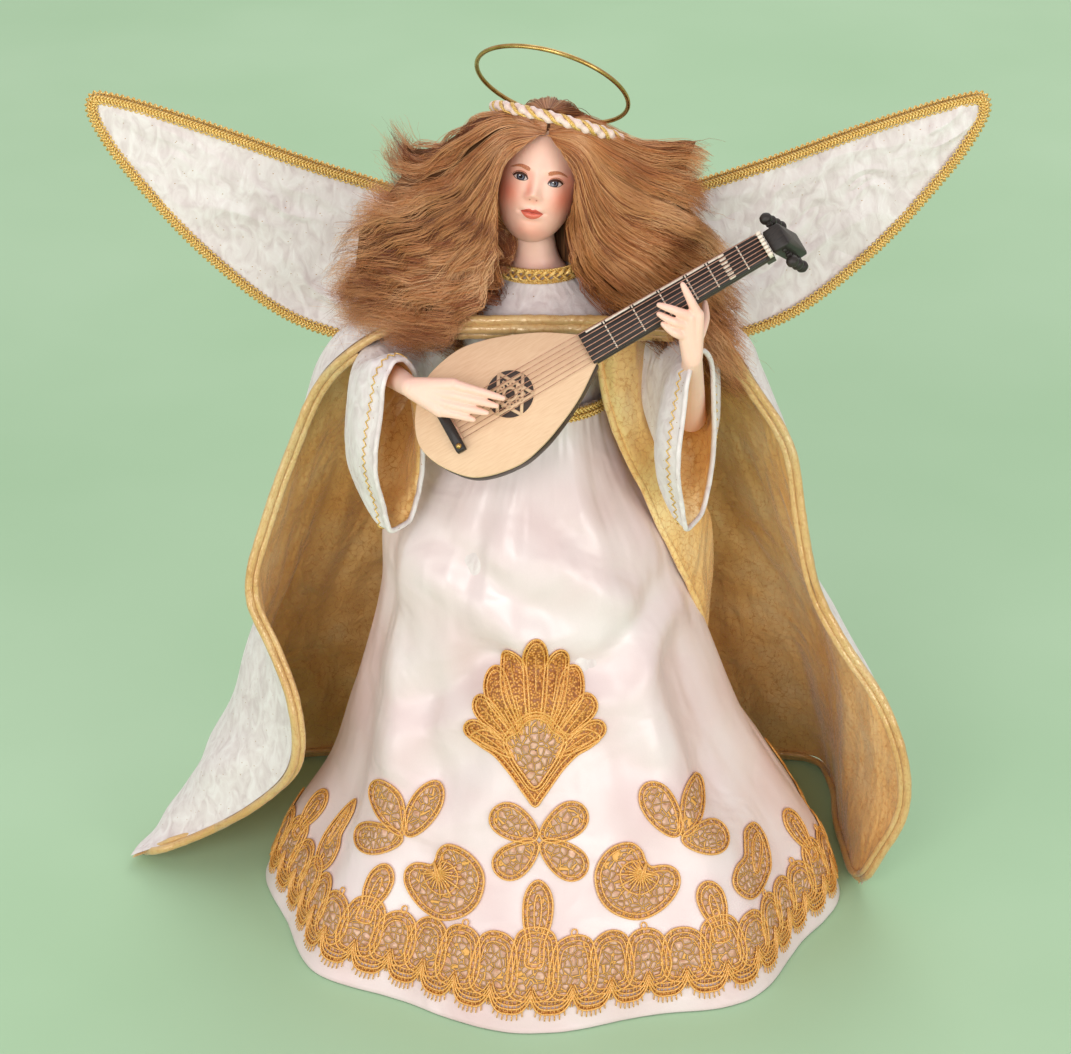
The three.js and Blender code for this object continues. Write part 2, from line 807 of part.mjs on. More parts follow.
// The body inside the hair: height share of the way from the waist to the head's middle, then half width.
const bodyRoomShares = [
  [0, 1.3],
  [0.4, 1.42],
  [0.47, 1.16],
  [0.53, 0.74],
  [0.61, 0.74],
  [0.66, 0.42],
  [0.9, 0.36],
];
const hairCrown = headCentre.z + headHalfHeight + hairThickness;

function hairLobe({ at, half }) {
  return ellipsoid(
    point(at[0] * hairReach, at[1] * hairDepth, hairCrown - at[2] * hairDrop),
    point(half[0] * hairReach, half[1] * hairDepth, half[2] * hairDrop),
    lobeColumns,
    lobeRows,
  );
}

function hairOnHead() {
  const rings = hairRingShares.map(([drop, right, left, front, back]) =>
    roundSection(1, hairSides).map(([across, deep]) =>
      point(
        across * hairReach * (across < 0 ? right : left),
        deep * hairDepth * (deep < 0 ? front : back),
        hairCrown - drop * hairDrop,
      ),
    ),
  );
  return ringSolid(rings);
}

function faceOpening() {
  const corner = ([across, drop]) => new THREE.Vector2(across * hairReach, hairCrown - drop * hairDrop);
  const outline = new THREE.Shape(faceWindowShares.map(corner));
  const geometry = new THREE.ExtrudeGeometry(outline, { depth: 2 * hairDepth, bevelEnabled: false });
  return solidOf(geometry.rotateX(Math.PI / 2).translate(0, faceWindowBackShare * hairDepth, 0));
}

function makeHalo() {
  const across = point(Math.cos(haloRoll), 0, -Math.sin(haloRoll));
  const front = point(0, -Math.cos(haloLean), Math.sin(haloLean));
  front.addScaledVector(across, -front.dot(across)).normalize();
  const ring = hoop(
    haloCentre,
    across.clone().multiplyScalar(haloRadius),
    front.clone().multiplyScalar(haloRadius),
    roundSection(haloWire, haloSides),
    haloSteps,
  );
  const foot = haloCentre.clone().addScaledVector(front, -haloRadius);
  const root = foot.clone().add(point(0, -haloStemLean, -haloStemLength));
  const stem = rod([foot, root], haloWire, stemSides, 1);
  keep("halo", ring.add(stem), brass);
}

function headbandHoop(radius, sides, steps) {
  const across = point(Math.cos(headbandRoll), 0, -Math.sin(headbandRoll));
  const back = point(0, Math.cos(headbandLean), -Math.sin(headbandLean));
  back.addScaledVector(across, -back.dot(across)).normalize();
  const firstHalf = across.multiplyScalar(headbandRadius);
  const secondHalf = back.multiplyScalar(headbandRadius + headbandRope / 2);
  return hoop(headbandCentre, firstHalf, secondHalf, roundSection(radius, sides), steps);
}

function makeHeadband() {
  const band = headbandHoop(headbandRope, headbandSides, headbandSteps);
  keep("headband", band, pinkCord, ["halo", "shoulder_head"]);
}

// The same rows of points with one more row beyond the last, and one more point beyond each end of every row.
function widened(rows, reach) {
  const beyond = (from, towards) => towards.clone().add(towards.clone().sub(from).setLength(reach));
  const last = rows.length - 1;
  const taller = [...rows, rows[last].map((spot, i) => beyond(rows[last - 1][i], spot))];
  return taller.map((row) => {
    const end = row.length - 1;
    return [beyond(row[1], row[0]), ...row, beyond(row[end - 1], row[end])];
  });
}

// A stack of rings with its first ring moved out along the stack.
function lengthened(rings, reach) {
  const first = rings[0].map((spot, i) => spot.clone().add(spot.clone().sub(rings[1][i]).setLength(reach)));
  return [first, ...rings.slice(1)];
}

// Room in the hair for what it lies over: plain shapes a little larger than the pieces inside them.
function hairRooms() {
  const halves = point(headHalfWidth, headHalfDepth, headHalfHeight).addScalar(hairRoom);
  const head = placed(ellipsoid(point(0, 0, 0), halves, ballColumns, headRoomRows), headPlace);
  const neck = bodyRoomShares.map(([height, width]) =>
    ellipseRing(
      THREE.MathUtils.lerp(waistHeight, headCentre.z, height),
      width * torsoWaistHalfWidth + hairRoom,
      torsoDepthShare,
      neckRoomSides,
    ),
  );
  const coarse = mantleGrid().slice(hairRoomFirstRow).map((row) => row.filter((_, i) => i % 2 === 0));
  const grid = widened(coarse, 2 * hairRoom);
  const mantle = sheetSolid(mantleFace(grid, 2 * hairRoom), mantleFace(grid, -2 * hairRoom));
  const sleeves = Object.values(armShares).map((arm) =>
    ringSolid(lengthened(arm.rings.map((ring) => sleeveRing(arm, ring, -hairRoom / 2)), hairRoom)),
  );
  const band = headbandHoop(headbandRope + headbandRoom, headbandRoomSides, headbandRoomSteps);
  return [head, ringSolid(neck), mantle, ...sleeves, band];
}

function makeWig() {
  const hair = joined([hairOnHead(), ...hairLobeShares.map(hairLobe)]);
  const wig = [faceOpening(), ...hairRooms()].reduce((sum, room) => sum.subtract(room), hair);
  const around = ["shoulder_head", "headband", "halo", "collar_braid", "bodice", "torso_form", "chest_band"];
  const below = ["mantle_outer", "mantle_lining", "mantle_piping", "sleeve_right", "sleeve_left"];
  const near = ["fingerboard", "lute_neck", "pegbox", "hand_left", "upper_arm_right", "upper_arm_left"];
  const behind = ["wing_bracket", "wing_bolt", "hinge_pin_right", "hinge_pin_left"];
  keep("wig", wig, mohair, [...around, ...below, ...near, ...behind]);
}

// Arms and sleeves, the right one on the viewer's left. Places are shares of the arm's reach, its way forward
// and the sleeve's half height. A ring's half sizes are shares of the sleeve's.

const armShares = {
  right: {
    side: -1,
    elbow: [1.06, -0.24, 0.42],
    wrist: [0.82, -1.03, 0.08],
    rings: [
      { at: [0.58, 0, 0.1], tall: 0.32, wide: 0.7, facing: [-1, -0.1, -0.1] },
      { at: [0.82, -0.05, 0.42], tall: 0.45, wide: 0.82, facing: [-0.75, -0.35, -0.55] },
      { at: [1, -0.23, 0.74], tall: 0.68, wide: 0.94, facing: [-0.45, -0.8, -0.35] },
      { at: [1.045, -0.48, 0.95], tall: 0.87, wide: 0.94, facing: [0, -1, -0.15] },
      { at: [1, -0.69, 0.94], tall: 1.04, wide: 0.94, facing: [0.45, -0.88, 0] },
      { at: [0.91, -0.81, 0.95], tall: 1.08, wide: 0.94, facing: [0.8, -0.6, 0] },
    ],
  },
  left: {
    side: 1,
    elbow: [1.02, -0.33, 0.86],
    wrist: [0.99, -0.9, -0.18],
    rings: [
      { at: [0.58, 0, 0.1], tall: 0.32, wide: 0.7, facing: [1, -0.1, -0.1] },
      { at: [0.79, -0.05, 0.37], tall: 0.45, wide: 0.82, facing: [0.7, -0.4, -0.5] },
      { at: [0.94, -0.19, 0.63], tall: 0.68, wide: 1.04, facing: [0.45, -0.85, -0.3] },
      { at: [1, -0.39, 0.84], tall: 0.87, wide: 1.06, facing: [0.4, -0.9, -0.1] },
      { at: [1, -0.61, 0.92], tall: 0.97, wide: 0.94, facing: [0.6, -0.8, 0] },
      { at: [1, -0.77, 0.91], tall: 1.15, wide: 0.76, facing: [0.73, -0.68, 0] },
    ],
  },
};

const armSpot = ({ side }, [reach, forward, drop]) =>
  point(side * reach * armReach, forward * armForward, shoulderHeight - drop * sleeveTallHalf);

function sleeveRing(arm, ring, inset) {
  const facing = point(...ring.facing).normalize();
  const tall = point(0, 0, 1).addScaledVector(facing, -facing.z).normalize();
  const wide = tall.clone().cross(facing);
  return roundSection(1, sleeveSides).map(([across, up]) =>
    armSpot(arm, ring.at)
      .addScaledVector(wide, across * (ring.wide * sleeveWideHalf - inset))
      .addScaledVector(tall, up * (ring.tall * sleeveTallHalf - inset)),
  );
}

function makeSleeve(name, arm) {
  const layer = (inset) => arm.rings.map((ring) => sleeveRing(arm, ring, inset));
  const lute = ["lute_bowl", "lute_soundboard"];
  const inside = ["bodice", "hand_" + name, "upper_arm_" + name, ...lute, "waist_cord"];
  keep("sleeve_" + name, wallSolid(layer(0), layer(sleeveCloth)), crinkle, inside);
  const liningOut = sleeveCloth + gap;
  const lining = wallSolid(layer(liningOut), layer(liningOut + sleeveLining));
  keep("sleeve_lining_" + name, lining, goldCloth, inside);
}

// Each hand is a forearm, a palm and fingers from knuckle to tip. The arm in the sleeve holds it.
function makeHands() {
  const lute = ["lute_soundboard", "lute_bowl", "fingerboard", "lute_neck", "bridge"];
  for (const [name, arm] of Object.entries(armShares)) {
    const wrist = armSpot(arm, arm.wrist);
    const elbow = armSpot(arm, arm.elbow);
    const start = elbow.clone().lerp(wrist, forearmStartShare);
    const { palm, palmHalf, digits } = handShares[name];
    const from = (share) => wrist.clone().add(point(...share).multiplyScalar(handLength));
    const solids = [
      limb(start, wrist, forearmRadius, wristRadius),
      ellipsoid(from(palm), point(...palmHalf).multiplyScalar(handLength), ballColumns, handBallRows),
    ];
    for (const joints of digits) {
      for (let i = 1; i < joints.length; i += 1) {
        const ends = [from(joints[i - 1]), from(joints[i])];
        solids.push(limb(...ends, fingerRadius, fingerRadius * fingerTipShare, fingerSides, 1));
      }
    }
    keep("hand_" + name, joined(solids), porcelain, [...lute, "lute_strings"]);
    const shoulder = point(arm.side * torsoWaistHalfWidth, 0, shoulderHeight);
    const upper = joined([
      limb(shoulder, elbow, upperArmRadius, upperArmRadius, upperArmSides, 1),
      limb(elbow, start, upperArmRadius, upperArmRadius, upperArmSides, 1),
    ]);
    keep("upper_arm_" + name, upper, crinkle, ["bodice", "torso_form", "shoulder_head", "hand_" + name]);
  }
}

// Joints of the digits, as shares of the hand's length from the wrist.
const handShares = {
  right: {
    palm: [0.34, -0.16, 0.02],
    palmHalf: [0.36, 0.13, 0.22],
    digits: [
      [[0.6, -0.2, 0.1], [0.9, -0.24, 0.06], [1.14, -0.24, -0.06]],
      [[0.6, -0.24, 0.0], [0.84, -0.3, -0.04], [1.0, -0.3, -0.16]],
      [[0.54, -0.26, -0.1], [0.74, -0.32, -0.15], [0.86, -0.34, -0.25]],
      [[0.46, -0.26, -0.16], [0.62, -0.33, -0.23], [0.72, -0.35, -0.32]],
    ],
  },
  left: {
    palm: [-0.02, 0.0, 0.4],
    palmHalf: [0.22, 0.13, 0.36],
    digits: [
      [[-0.14, -0.02, 0.56], [-0.3, -0.04, 0.68], [-0.4, -0.04, 0.78]],
      [[-0.06, -0.02, 0.64], [-0.14, -0.05, 0.84], [-0.12, -0.02, 1.0]],
      [[0.06, 0.0, 0.62], [0.08, -0.04, 0.82], [0.06, -0.02, 0.94]],
      [[0.12, 0.04, 0.4], [0.2, 0.22, 0.5], [0.2, 0.42, 0.62]],
    ],
  },
};

// The mantle

// Rows from the hem up: height share, then seven places from the left edge round the back to the right edge,
// each as a share of the half width and of the depth.
const mantleShares = [
  [0, -1, 0.1, -0.975, 0.217, -0.69, 0.867, 0, 1, 0.701, 0.867, 0.761, 0.233, 0.782, -0.1],
  [0.064, -0.838, 0.017, -0.904, 0.183, -0.67, 0.85, 0, 0.967, 0.68, 0.85, 0.761, 0.233, 0.812, -0.15],
  [0.16, -0.68, -0.133, -0.822, 0.133, -0.619, 0.817, 0, 0.9, 0.64, 0.817, 0.772, 0.217, 0.863, -0.208],
  [0.256, -0.584, -0.25, -0.741, 0.117, -0.558, 0.767, 0, 0.817, 0.589, 0.767, 0.761, 0.183, 0.858, -0.233],
  [0.361, -0.579, -0.25, -0.69, 0.133, -0.508, 0.717, 0, 0.733, 0.528, 0.717, 0.741, 0.15, 0.802, -0.2],
  [0.447, -0.62, -0.183, -0.65, 0.183, -0.467, 0.65, 0, 0.65, 0.477, 0.65, 0.68, 0.217, 0.711, -0.142],
  [0.527, -0.665, -0.125, -0.609, 0.267, -0.426, 0.6, 0, 0.583, 0.437, 0.6, 0.609, 0.25, 0.645, -0.108],
  [0.64, -0.62, -0.079, -0.57, 0.217, -0.386, 0.5, 0, 0.486, 0.386, 0.5, 0.569, 0.203, 0.605, -0.086],
  [0.76, -0.555, -0.067, -0.525, 0.16, -0.353, 0.385, 0, 0.38, 0.353, 0.385, 0.535, 0.16, 0.57, -0.067],
  [0.863, -0.49, -0.075, -0.497, 0.067, -0.325, 0.3, 0, 0.333, 0.335, 0.3, 0.497, 0.067, 0.482, -0.075],
  [0.927, -0.405, -0.12, -0.437, 0, -0.295, 0.25, 0, 0.315, 0.305, 0.25, 0.447, 0, 0.416, -0.12],
  [0.968, -0.305, -0.15, -0.335, -0.02, -0.23, 0.2, 0, 0.27, 0.23, 0.2, 0.345, -0.02, 0.305, -0.15],
  [1, -0.16, -0.15, -0.2, -0.02, -0.15, 0.14, 0, 0.21, 0.15, 0.14, 0.2, -0.02, 0.16, -0.15],
];

// The middle face of the cloth, as rows of points from the hem up.
function mantleGrid() {
  const hem = 2 * mantlePipingRadius + 2 * gap;
  return mantleShares.map(([height, ...shares]) => {
    const z = THREE.MathUtils.lerp(hem, mantleHeight, height);
    const knots = [];
    for (let i = 0; i < shares.length; i += 2) {
      knots.push(point(shares[i] * mantleHalfWidth, shares[i + 1] * mantleDepth, z));
    }
    const row = alongCurve(knots, mantleColumns);
    return row.map((spot, i) => {
      const across = i / (mantleColumns - 1);
      const before = row[Math.max(i - 1, 0)];
      const after = row[Math.min(i + 1, mantleColumns - 1)];
      const outward = after.clone().sub(before).cross(point(0, 0, 1)).normalize().negate();
      const fade = Math.sin(Math.PI * across) * (1 - height);
      const fold = mantleFoldDepth * fade * Math.cos(2 * Math.PI * mantleFolds * across);
      return spot.clone().addScaledVector(outward, fold);
    });
  });
}

// The grid pushed along its own normals, away from the body where the distance is positive.
function mantleFace(grid, distance) {
  const rows = grid.length;
  return grid.map((row, k) =>
    row.map((spot, i) => {
      const across = row[Math.min(i + 1, row.length - 1)].clone().sub(row[Math.max(i - 1, 0)]);
      const up = grid[Math.min(k + 1, rows - 1)][i].clone().sub(grid[Math.max(k - 1, 0)][i]);
      return spot.clone().addScaledVector(up.cross(across).normalize(), distance);
    }),
  );
}

function pipingPath(grid) {
  const out = mantlePipingRadius + 3 * gap;
  const left = [];
  const right = [];
  for (const row of grid.slice(1, -1)) {
    const last = row.length - 1;
    const before = row[0].clone().sub(row[2]).setZ(0).normalize();
    const after = row[last].clone().sub(row[last - 2]).setZ(0).normalize();
    left.push(row[0].clone().addScaledVector(before, out));
    right.push(row[last].clone().addScaledVector(after, out));
  }
  const hem = grid[0].filter((_, i) => i % 2 === 0).map((spot) => spot.clone().setZ(mantlePipingRadius));
  const path = alongCurve([...left.reverse(), ...hem, ...right], mantlePipingSteps);
  return path.map((spot) => spot.setZ(Math.max(spot.z, mantlePipingRadius)));
}

// Places on the rolled band across the chest: across as a share of the mantle's half width, then out and up
// as shares of the torso's waist half width.
const chestBandShares = [
  [-0.297, -0.8, -0.12],
  [-0.203, -0.98, -0.02],
  [-0.101, -1.1, 0.04],
  [0, -1.14, 0.06],
  [0.101, -1.1, 0.04],
  [0.203, -0.98, -0.03],
  [0.297, -0.8, -0.14],
];

function makeMantle() {
  const grid = mantleGrid();
  const inside = ["bodice", "wing_bolt", "shoulder_head", "dress_skirt"];
  const limbs = ["right", "left"].flatMap((side) => ["sleeve_" + side, "upper_arm_" + side, "hand_" + side]);
  const hinges = ["wing_bracket", "hinge_pin_right", "hinge_pin_left"];
  const band = chestBandShares.map(([x, y, rise]) =>
    point(x * mantleHalfWidth, y * torsoWaistHalfWidth, torsoTopHeight + gap + rise * torsoWaistHalfWidth),
  );
  keep("chest_band", strap(band, chestBandHalfDepth, chestBandHalfHeight, bandSides, bandSteps), goldCloth, [
    "bodice",
    "sleeve_right",
    "sleeve_left",
    "collar_braid",
    "lute_neck",
    "lute_bowl",
  ]);
  const piping = rod(pipingPath(grid), mantlePipingRadius, rodSides, mantlePipingSteps);
  keep("mantle_piping", piping, goldCloth, ["chest_band", ...limbs, "bodice"]);
  const round = [...inside, ...limbs, "chest_band", "mantle_piping", ...hinges];
  const outer = sheetSolid(mantleFace(grid, gap / 2 + mantleCloth), mantleFace(grid, gap / 2));
  keep("mantle_outer", outer, crinkle, round);
  const lining = sheetSolid(mantleFace(grid, -gap / 2), mantleFace(grid, -gap / 2 - mantleLining));
  keep("mantle_lining", lining, goldCloth, round);
}

// Wings

// The edge of a wing: distance from the hinge as a share of the span, then height as a share of the rise.
const wingEdgeShares = [
  [0.07, 0.52],
  [0.25, 0.65],
  [0.48, 0.76],
  [0.73, 0.89],
  [0.93, 0.975],
  [0.985, 0.98],
  [1, 0.93],
  [0.965, 0.8],
  [0.875, 0.61],
  [0.74, 0.38],
  [0.55, 0.15],
  [0.38, 0.06],
  [0.2, 0.01],
  [0.07, 0.1],
];

// Points along the edge of the right wing, drawn in by a distance, in the wing's own upright plane.
function wingEdge(inset, steps) {
  const knots = wingEdgeShares.map(([out, up]) => point(out * wingSpan, 0, wingFootHeight + up * wingRise));
  const edge = alongCurve(knots, steps, true);
  return edge.map((spot, i) => {
    const along = edge[(i + 1) % steps].clone().sub(edge[(i + steps - 1) % steps]).normalize();
    return { spot: spot.clone().addScaledVector(wingInward(along), inset), inward: wingInward(along) };
  });
}

// The edge runs outwards along the top and back along the foot, so its inner side is on its right.
const wingInward = (along) => point(along.z, 0, -along.x);

function wingHoop(section, steps) {
  const rings = wingEdge(0, steps).map(({ spot, inward }) =>
    section.map(([inwards, across]) =>
      spot.clone().addScaledVector(inward, inwards).add(point(0, across, 0)),
    ),
  );
  return ringSolid(rings, true);
}

function makeWings() {
  const half = gimpThickness / 2;
  const slot = wingCloth / 2 + gap;
  const channel = [
    [0, -half],
    [gimpWidth, -half],
    [gimpWidth, -slot],
    [gimpWall, -slot],
    [gimpWall, slot],
    [gimpWidth, slot],
    [gimpWidth, half],
    [0, half],
  ];
  const wireDepth = gimpWall + 2 * gap + wingWire;
  const section = roundSection(wingWire, wingWireSides);
  const wire = section.map(([inwards, across]) => [inwards + wireDepth, across]);
  const rootPlace = Math.min(...wingEdge(wireDepth, wingSteps).map(({ spot }) => spot.x));
  const barrel = cylinder(point(0, 0, hingeHeight), barrelRadius, barrelLength);
  const bore = cylinder(point(0, 0, hingeHeight), pinRadius + gap, barrelLength + 2 * cutOverrun);
  const armFrom = barrelRadius - gap;
  const arms = [-1, 1].map((way) => {
    const z = hingeHeight + way * frameArmShare * barrelLength;
    return rod([point(armFrom, 0, z), point(rootPlace, 0, z)], wingWire, rodSides, 1);
  });
  const frame = joined([wingHoop(wire, wingSteps), barrel.subtract(bore), ...arms]);
  const notches = [-1, 1].map((way) => {
    const size = point(2 * gimpWidth, 2 * slot, 2 * slot);
    return box(point(rootPlace, 0, hingeHeight + way * frameArmShare * barrelLength), size);
  });
  const braid = wingHoop(channel, wingSteps).subtract(joined(notches));
  const clothEdge = wingEdge(wireDepth + wingWire + 3 * gap, wingSteps);
  const outline = new THREE.Shape(clothEdge.map(({ spot }) => new THREE.Vector2(spot.x, spot.z)));
  const plate = new THREE.ExtrudeGeometry(outline, { depth: wingCloth, bevelEnabled: false });
  const cloth = solidOf(plate.translate(0, 0, -wingCloth / 2).rotateX(Math.PI / 2));
  for (const [name, side] of [["right", -1], ["left", 1]]) {
    const place = new THREE.Matrix4()
      .makeTranslation((side * hingeSpacing) / 2, hingeDepth, 0)
      .multiply(new THREE.Matrix4().makeRotationZ(side * wingSweep))
      .multiply(new THREE.Matrix4().makeScale(side, 1, 1));
    const set = (solid) => placed(solid, place);
    keep("wing_frame_" + name, set(frame), brass);
    keep("wing_braid_" + name, set(braid), goldLace, ["wing_frame_" + name]);
    keep("wing_cloth_" + name, set(cloth), crinkle, ["wing_frame_" + name]);
  }
}

function makeBracket() {
  const plateMiddle = plateBack - bracketPlate / 2;
  const earReach = barrelRadius + gap;
  const earDepth = 2 * earReach;
  const plate = box(point(0, plateMiddle, hingeHeight), point(bracketWidth, bracketPlate, bracketHeight));
  const ears = [];
  const bores = [];
  for (const side of [-1, 1]) {
    const x = (side * hingeSpacing) / 2;
    bores.push(cylinder(point(x, hingeDepth, hingeHeight), pinRadius + gap, bracketHeight + cutOverrun));
    for (const way of [-1, 1]) {
      const z = hingeHeight + way * (barrelLength / 2 + gap + bracketEar / 2);
      const size = point(2 * earReach, earDepth + bracketPlate / 2, bracketEar);
      ears.push(box(point(x, hingeDepth - bracketPlate / 4, z), size));
    }
    const pinHead = point(x, hingeDepth, hingeHeight + bracketHeight / 2 + pinHeadHeight / 2);
    const pin = joined([
      cylinder(point(x, hingeDepth, hingeHeight), pinRadius, bracketHeight),
      cylinder(pinHead, pinHeadRadius, pinHeadHeight),
    ]);
    keep(side < 0 ? "hinge_pin_right" : "hinge_pin_left", pin, brass);
  }
  const body = joined([plate, ...ears]).subtract(joined(bores));
  keep("wing_bracket", body, brass, ["wing_bolt", "hinge_pin_right", "hinge_pin_left"]);
}

// Lute, drawn in its own frame: X along the neck, Y across, Z out of the soundboard, from the rose's middle

// Half width of the body along its length, as shares of the greatest half width.
const luteShares = [
  [0, 0],
  [0.02, 0.26],
  [0.08, 0.56],
  [0.18, 0.84],
  [0.4, 1],
  [0.55, 0.93],
  [0.7, 0.77],
  [0.84, 0.57],
  [1, 0.25],
];

const luteWidestShare = luteShares.find(([, wide]) => wide === 1)[0];

function luteOutline(scale, inset = 0) {
  const half = luteShares.map(([along, wide]) => [
    along * luteBodyLength - luteTailToRose,
    Math.max(wide * luteHalfWidth - inset, 0) * scale,
  ]);
  half[0][0] += inset;
  half[half.length - 1][0] -= inset;
  const upper = half.map(([x, y]) => new THREE.Vector2(x, y));
  const lower = half.slice(1).reverse().map(([x, y]) => new THREE.Vector2(x, -y));
  return [...upper, ...lower];
}

function lutePlate(shape, thickness, top) {
  const geometry = new THREE.ExtrudeGeometry(shape, { depth: thickness, bevelEnabled: false });
  return solidOf(geometry.translate(0, 0, top - thickness));
}

// The rose: wedges cut right through around a hub, with a star of bars left between them.
function roseHoles() {
  const hub = roundSection(roseHub, 2 * roseWedges).map(([x, y]) => new THREE.Vector2(x, y));
  const holes = [new THREE.Path(hub)];
  for (let i = 0; i < roseWedges; i += 1) {
    const middle = (2 * Math.PI * (i + 0.5)) / roseWedges;
    const spread = (Math.PI / roseWedges) * roseWedgeShare;
    const corner = (share, turn) =>
      new THREE.Vector2(share * roseRadius * Math.cos(turn), share * roseRadius * Math.sin(turn));
    const outer = roseCornerShares.map((share) => corner(1, middle + share * spread));
    holes.push(new THREE.Path([corner(roseWedgeFootShare, middle), ...outer]));
    const sides = [-spread, spread].map((turn) => corner(roseInnerSideShare, middle + turn));
    const inner = [corner(roseInnerFootShare, middle), sides[0], corner(roseInnerTopShare, middle), sides[1]];
    holes.push(new THREE.Path(inner));
  }
  return holes;
}

function lutePlace() {
  const face = point(...luteFacing).normalize();
  const neck = point(...luteNeckWay);
  neck.addScaledVector(face, -neck.dot(face)).normalize();
  const across = face.clone().cross(neck);
  return new THREE.Matrix4().makeBasis(neck, across, face).setPosition(roseCentre);
}

